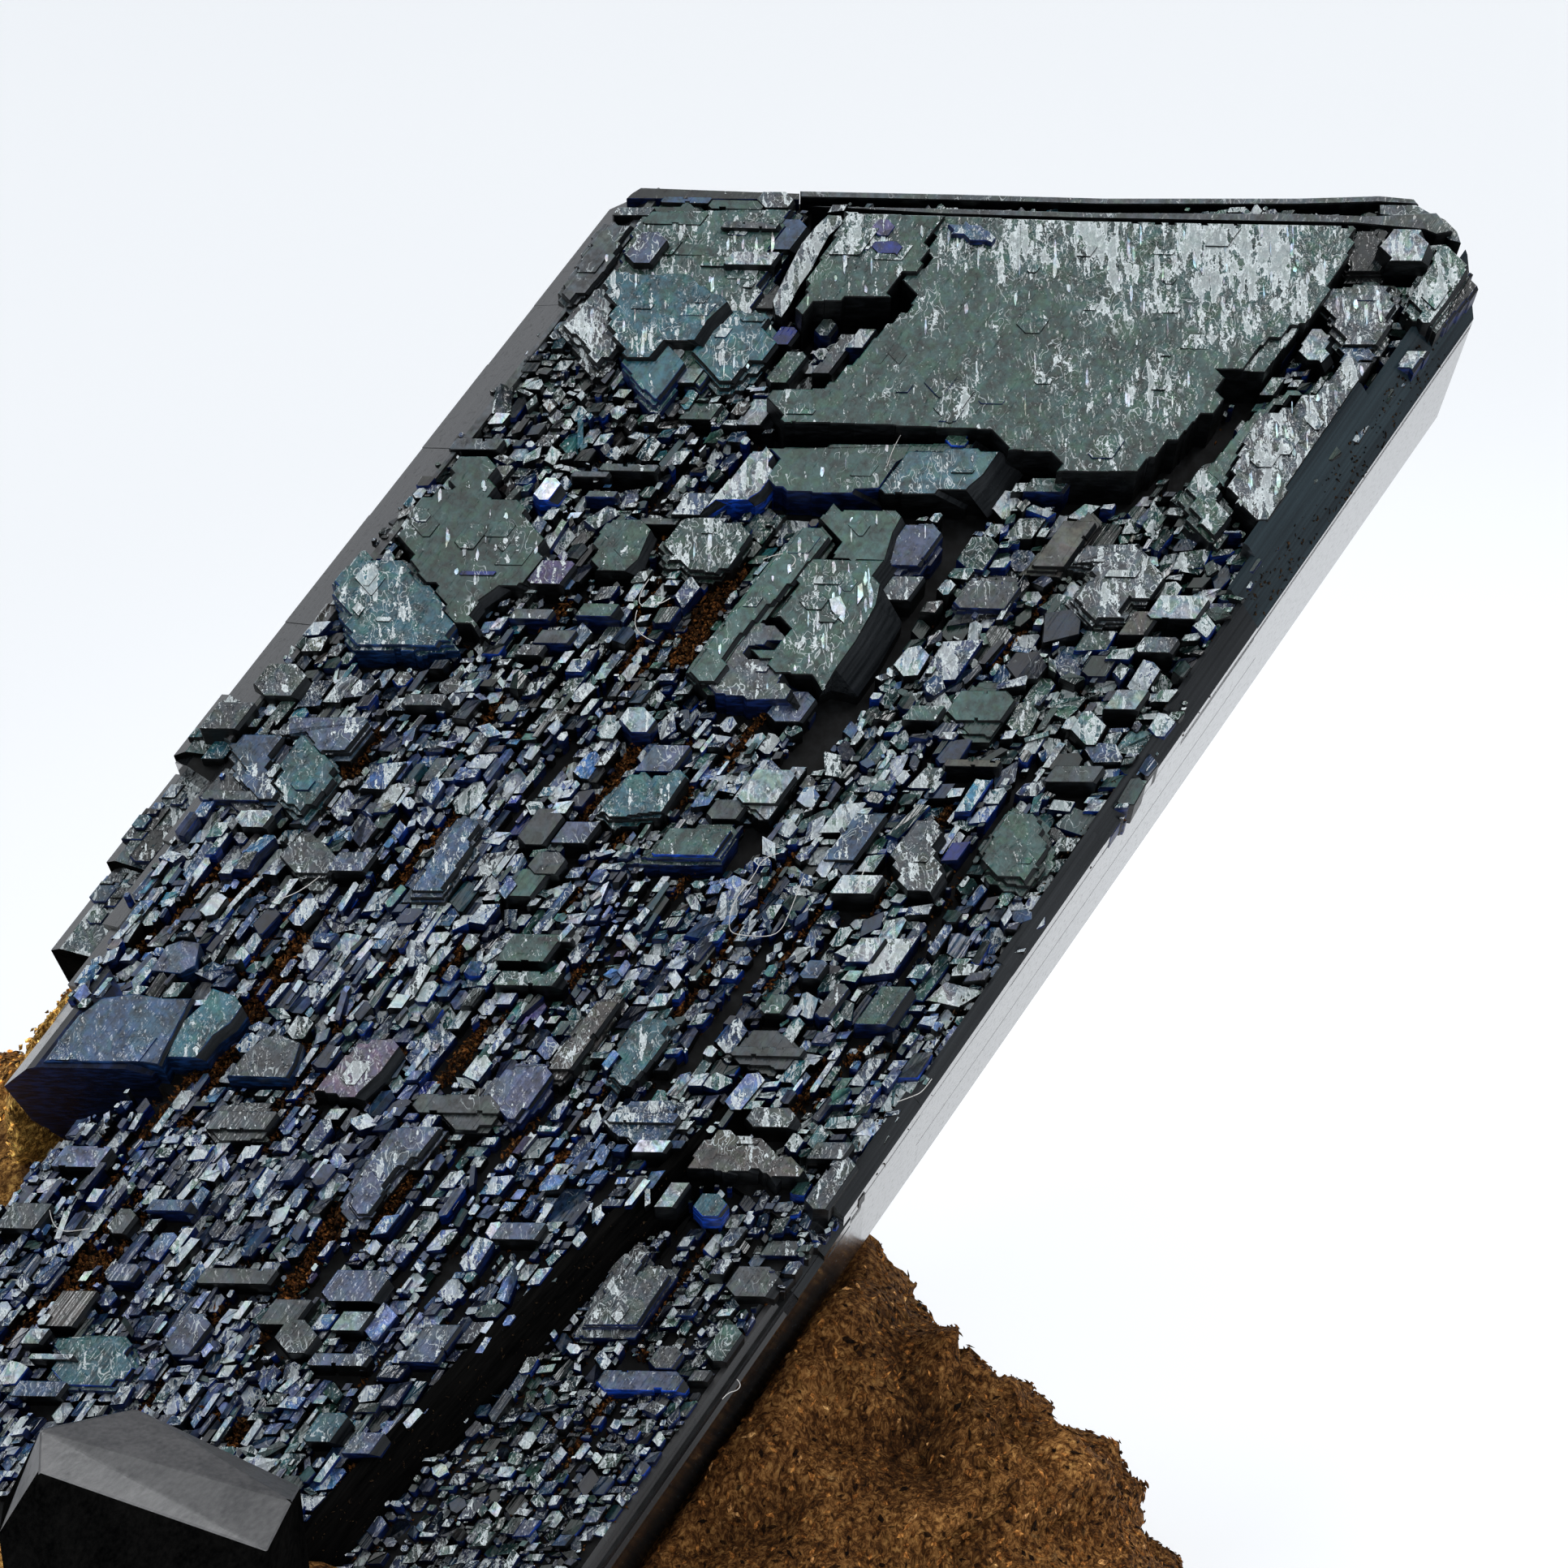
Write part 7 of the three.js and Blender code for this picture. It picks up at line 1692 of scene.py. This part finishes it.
# ------------------------------------------------------------------ lint
def lint_piece():
    cu = bpy.data.curves.new("lint", "CURVE")
    cu.dimensions = "3D"
    cu.bevel_depth = .0000135
    cu.bevel_resolution = 1
    cu.resolution_u = 6
    cu.use_fill_caps = True
    g = np.random.default_rng(61)
    for line in LINT:
        sp = cu.splines.new("NURBS")
        sp.points.add(len(line) - 1)
        for i, (w, s, h) in enumerate(line):
            q = place(np.array([[w, s, h + g.uniform(0, .12)]]))[0] * MM
            sp.points[i].co = (*q, 1)
        sp.order_u = 3
        sp.use_endpoint_u = True
    tmp = bpy.data.objects.new("tmp", cu)
    bpy.context.scene.collection.objects.link(tmp)
    dg = bpy.context.evaluated_depsgraph_get()
    me = bpy.data.meshes.new_from_object(tmp.evaluated_get(dg))
    bpy.data.objects.remove(tmp)
    ob = bpy.data.objects.new("lint_fibres", me)
    bpy.context.scene.collection.objects.link(ob)
    m, nt, b = new_mat("lint")
    gg = G(nt)
    tc = gg.node("ShaderNodeTexCoord").outputs["Object"]
    n = gg.noise(tc, 2500.0, 2.0)
    gg.link(gg.ramp(n, [(0.3, (.42, .40, .38)), (0.7, (.66, .65, .62))]), b.inputs["Base Color"])
    b.inputs["Roughness"].default_value = .7
    me.materials.clear()
    me.materials.append(m)
    return ob

lint = lint_piece()

# ------------------------------------------------------------------ objects in the frame
obs = []
o_body = body.build("blade_body", CRYSTAL)
o_plates = plates.build("blade_plates", CRYSTAL)
obs += [o_body, o_plates]
for k, nm in enumerate(("crystals_head", "crystals_middle", "crystals_low", "crystals_terrace")):
    if groups[k].n:
        obs.append(groups[k].build(nm, CRYSTAL))
o_fill = fill.build("limonite_fill", [M_FILL], True)
o_grains = rg.build("rock_grains", [M_ROCK], False)
o_crust = crust.build("rock_crust", [M_ROCK], True)
for o in obs + [front, lint]:
    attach(o, "root")
for o in (rock, o_fill, o_grains, o_crust):
    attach(o, "root")
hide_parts("vivianite_blade")
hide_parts("matrix_rock")
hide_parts("front_crystal")

# ------------------------------------------------------------------ floor, light, camera
fm, nt, b = new_mat("floor")
g_ = G(nt)
tc = g_.node("ShaderNodeTexCoord").outputs["Object"]
n = g_.noise(tc, 6.0, 2.0)
g_.link(g_.ramp(n, [(0.3, (0.620, 0.635, 0.655)), (0.7, (0.640, 0.655, 0.670))]), b.inputs["Base Color"])
b.inputs["Roughness"].default_value = .9
b.inputs["Specular IOR Level"].default_value = .1
# the floor glows a little all over like a light table, and more round the specimen: painted light filling in the
# specimen's shadow on the floor
mpf = g_.node("ShaderNodeMapping")
g_.link(tc, mpf.inputs[0])
mpf.inputs["Location"].default_value = (-.035, -.02, 0)
ln = g_.node("ShaderNodeVectorMath", operation="LENGTH")
g_.link(mpf.outputs[0], ln.inputs[0])
shadow_fill_glow = g_.math("SUBTRACT", 1.0, g_.step(ln.outputs["Value"], .015, .105))
g_.link(g_.math("ADD", .325, g_.math("MULTIPLY", shadow_fill_glow, .24)), b.inputs["Emission Strength"])
b.inputs["Emission Color"].default_value = (.96, .98, 1.0, 1)
fme = bpy.data.meshes.new("floor")
R_ = 4.0
fme.from_pydata([(-R_, -R_, 0), (R_, -R_, 0), (R_, R_, 0), (-R_, R_, 0)], [], [(0, 1, 2, 3)])
fme.materials.append(fm)
floor = bpy.data.objects.new("floor", fme)
bpy.context.scene.collection.objects.link(floor)
floor.location = (0, 0, -0.0001)
floor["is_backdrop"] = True

world = bpy.data.worlds.new("studio")
bpy.context.scene.world = world
world.use_nodes = True
wt = world.node_tree
bg = wt.nodes["Background"]
gw = G(wt)
wc_ = gw.node("ShaderNodeTexCoord").outputs["Generated"]
up_ = gw.dot(wc_, (0, 0, 1))
gw.link(gw.ramp(gw.step(up_, .02, .62), [(0.0, (0.92, 0.95, 1.0)), (0.45, (0.62, 0.65, 0.70)), (1.0, (0.20, 0.21, 0.23))]), bg.inputs[0])
bg.inputs[1].default_value = 1.0

def area_light(name, target, direction, dist, size, radiance, colour=(1, 1, 1), size_y=None):
    """A flat lamp at dist metres from target along direction, facing it, with the given radiance."""
    ld = bpy.data.lights.new(name, "AREA")
    sy = size if size_y is None else size_y
    ld.shape = "RECTANGLE"
    ld.size, ld.size_y = size, sy
    ld.energy = radiance * math.pi * size * sy
    ld.color = colour
    ob = bpy.data.objects.new(name, ld)
    d = Vector(unit(direction))
    ob.location = Vector(target) + d * dist
    ob.rotation_euler = d.to_track_quat("Z", "Y").to_euler()
    bpy.context.scene.collection.objects.link(ob)
    return ob

TARGET = O * MM
V_TO_CAM = unit([0, -math.cos(math.radians(30)), .5])
R0 = 2 * N.dot(V_TO_CAM) * N - V_TO_CAM
SIDE_V = unit(np.cross(R0, [0, 1, 0]))
UP_V = unit(np.cross(SIDE_V, R0))
def off_mirror(a, b):
    """A direction turned a degrees sideways and b degrees up from the mirror direction of the broad face."""
    return unit(R0 + SIDE_V * math.tan(math.radians(a)) + UP_V * math.tan(math.radians(b)))

area_light("soft_top", TARGET, off_mirror(0, 3), .9, .62, 1.05, (1.0, 1.0, 1.0))
area_light("window_a", TARGET, off_mirror(-31, 8), .9, .22, 11.0, (1.0, 1.0, 1.0), .30)
area_light("window_b", TARGET, off_mirror(30, -6), .9, .20, 11.0, (.95, .98, 1.0), .26)
area_light("window_c", TARGET, off_mirror(4, 38), .9, .24, 11.0, (.97, .99, 1.0), .16)
area_light("window_d", TARGET, off_mirror(-6, -34), .9, .20, 10.0, (1.0, 1.0, 1.0), .14)

cam_d = bpy.data.cameras.new("camera")
cam_d.sensor_width = 36.0
cam_d.lens = 93.17
cam_d.clip_start = .01
cam_d.clip_end = 10
cam = bpy.data.objects.new("camera", cam_d)
cam.location = (0.004, -0.105119, 0.099)
cam.rotation_euler = (math.radians(60), 0, 0)
bpy.context.scene.collection.objects.link(cam)
bpy.context.scene.camera = cam
bpy.context.scene.view_settings.view_transform = "Standard"
bpy.context.scene.view_settings.look = "None"

bounds_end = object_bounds()
def plain(x):
    if hasattr(x, "items"):
        return {k: plain(v) for k, v in x.items()}
    if isinstance(x, (float, int)):
        return float(x)
    return [plain(y) for y in x]
plain(bounds_start)
plain(bounds_end)
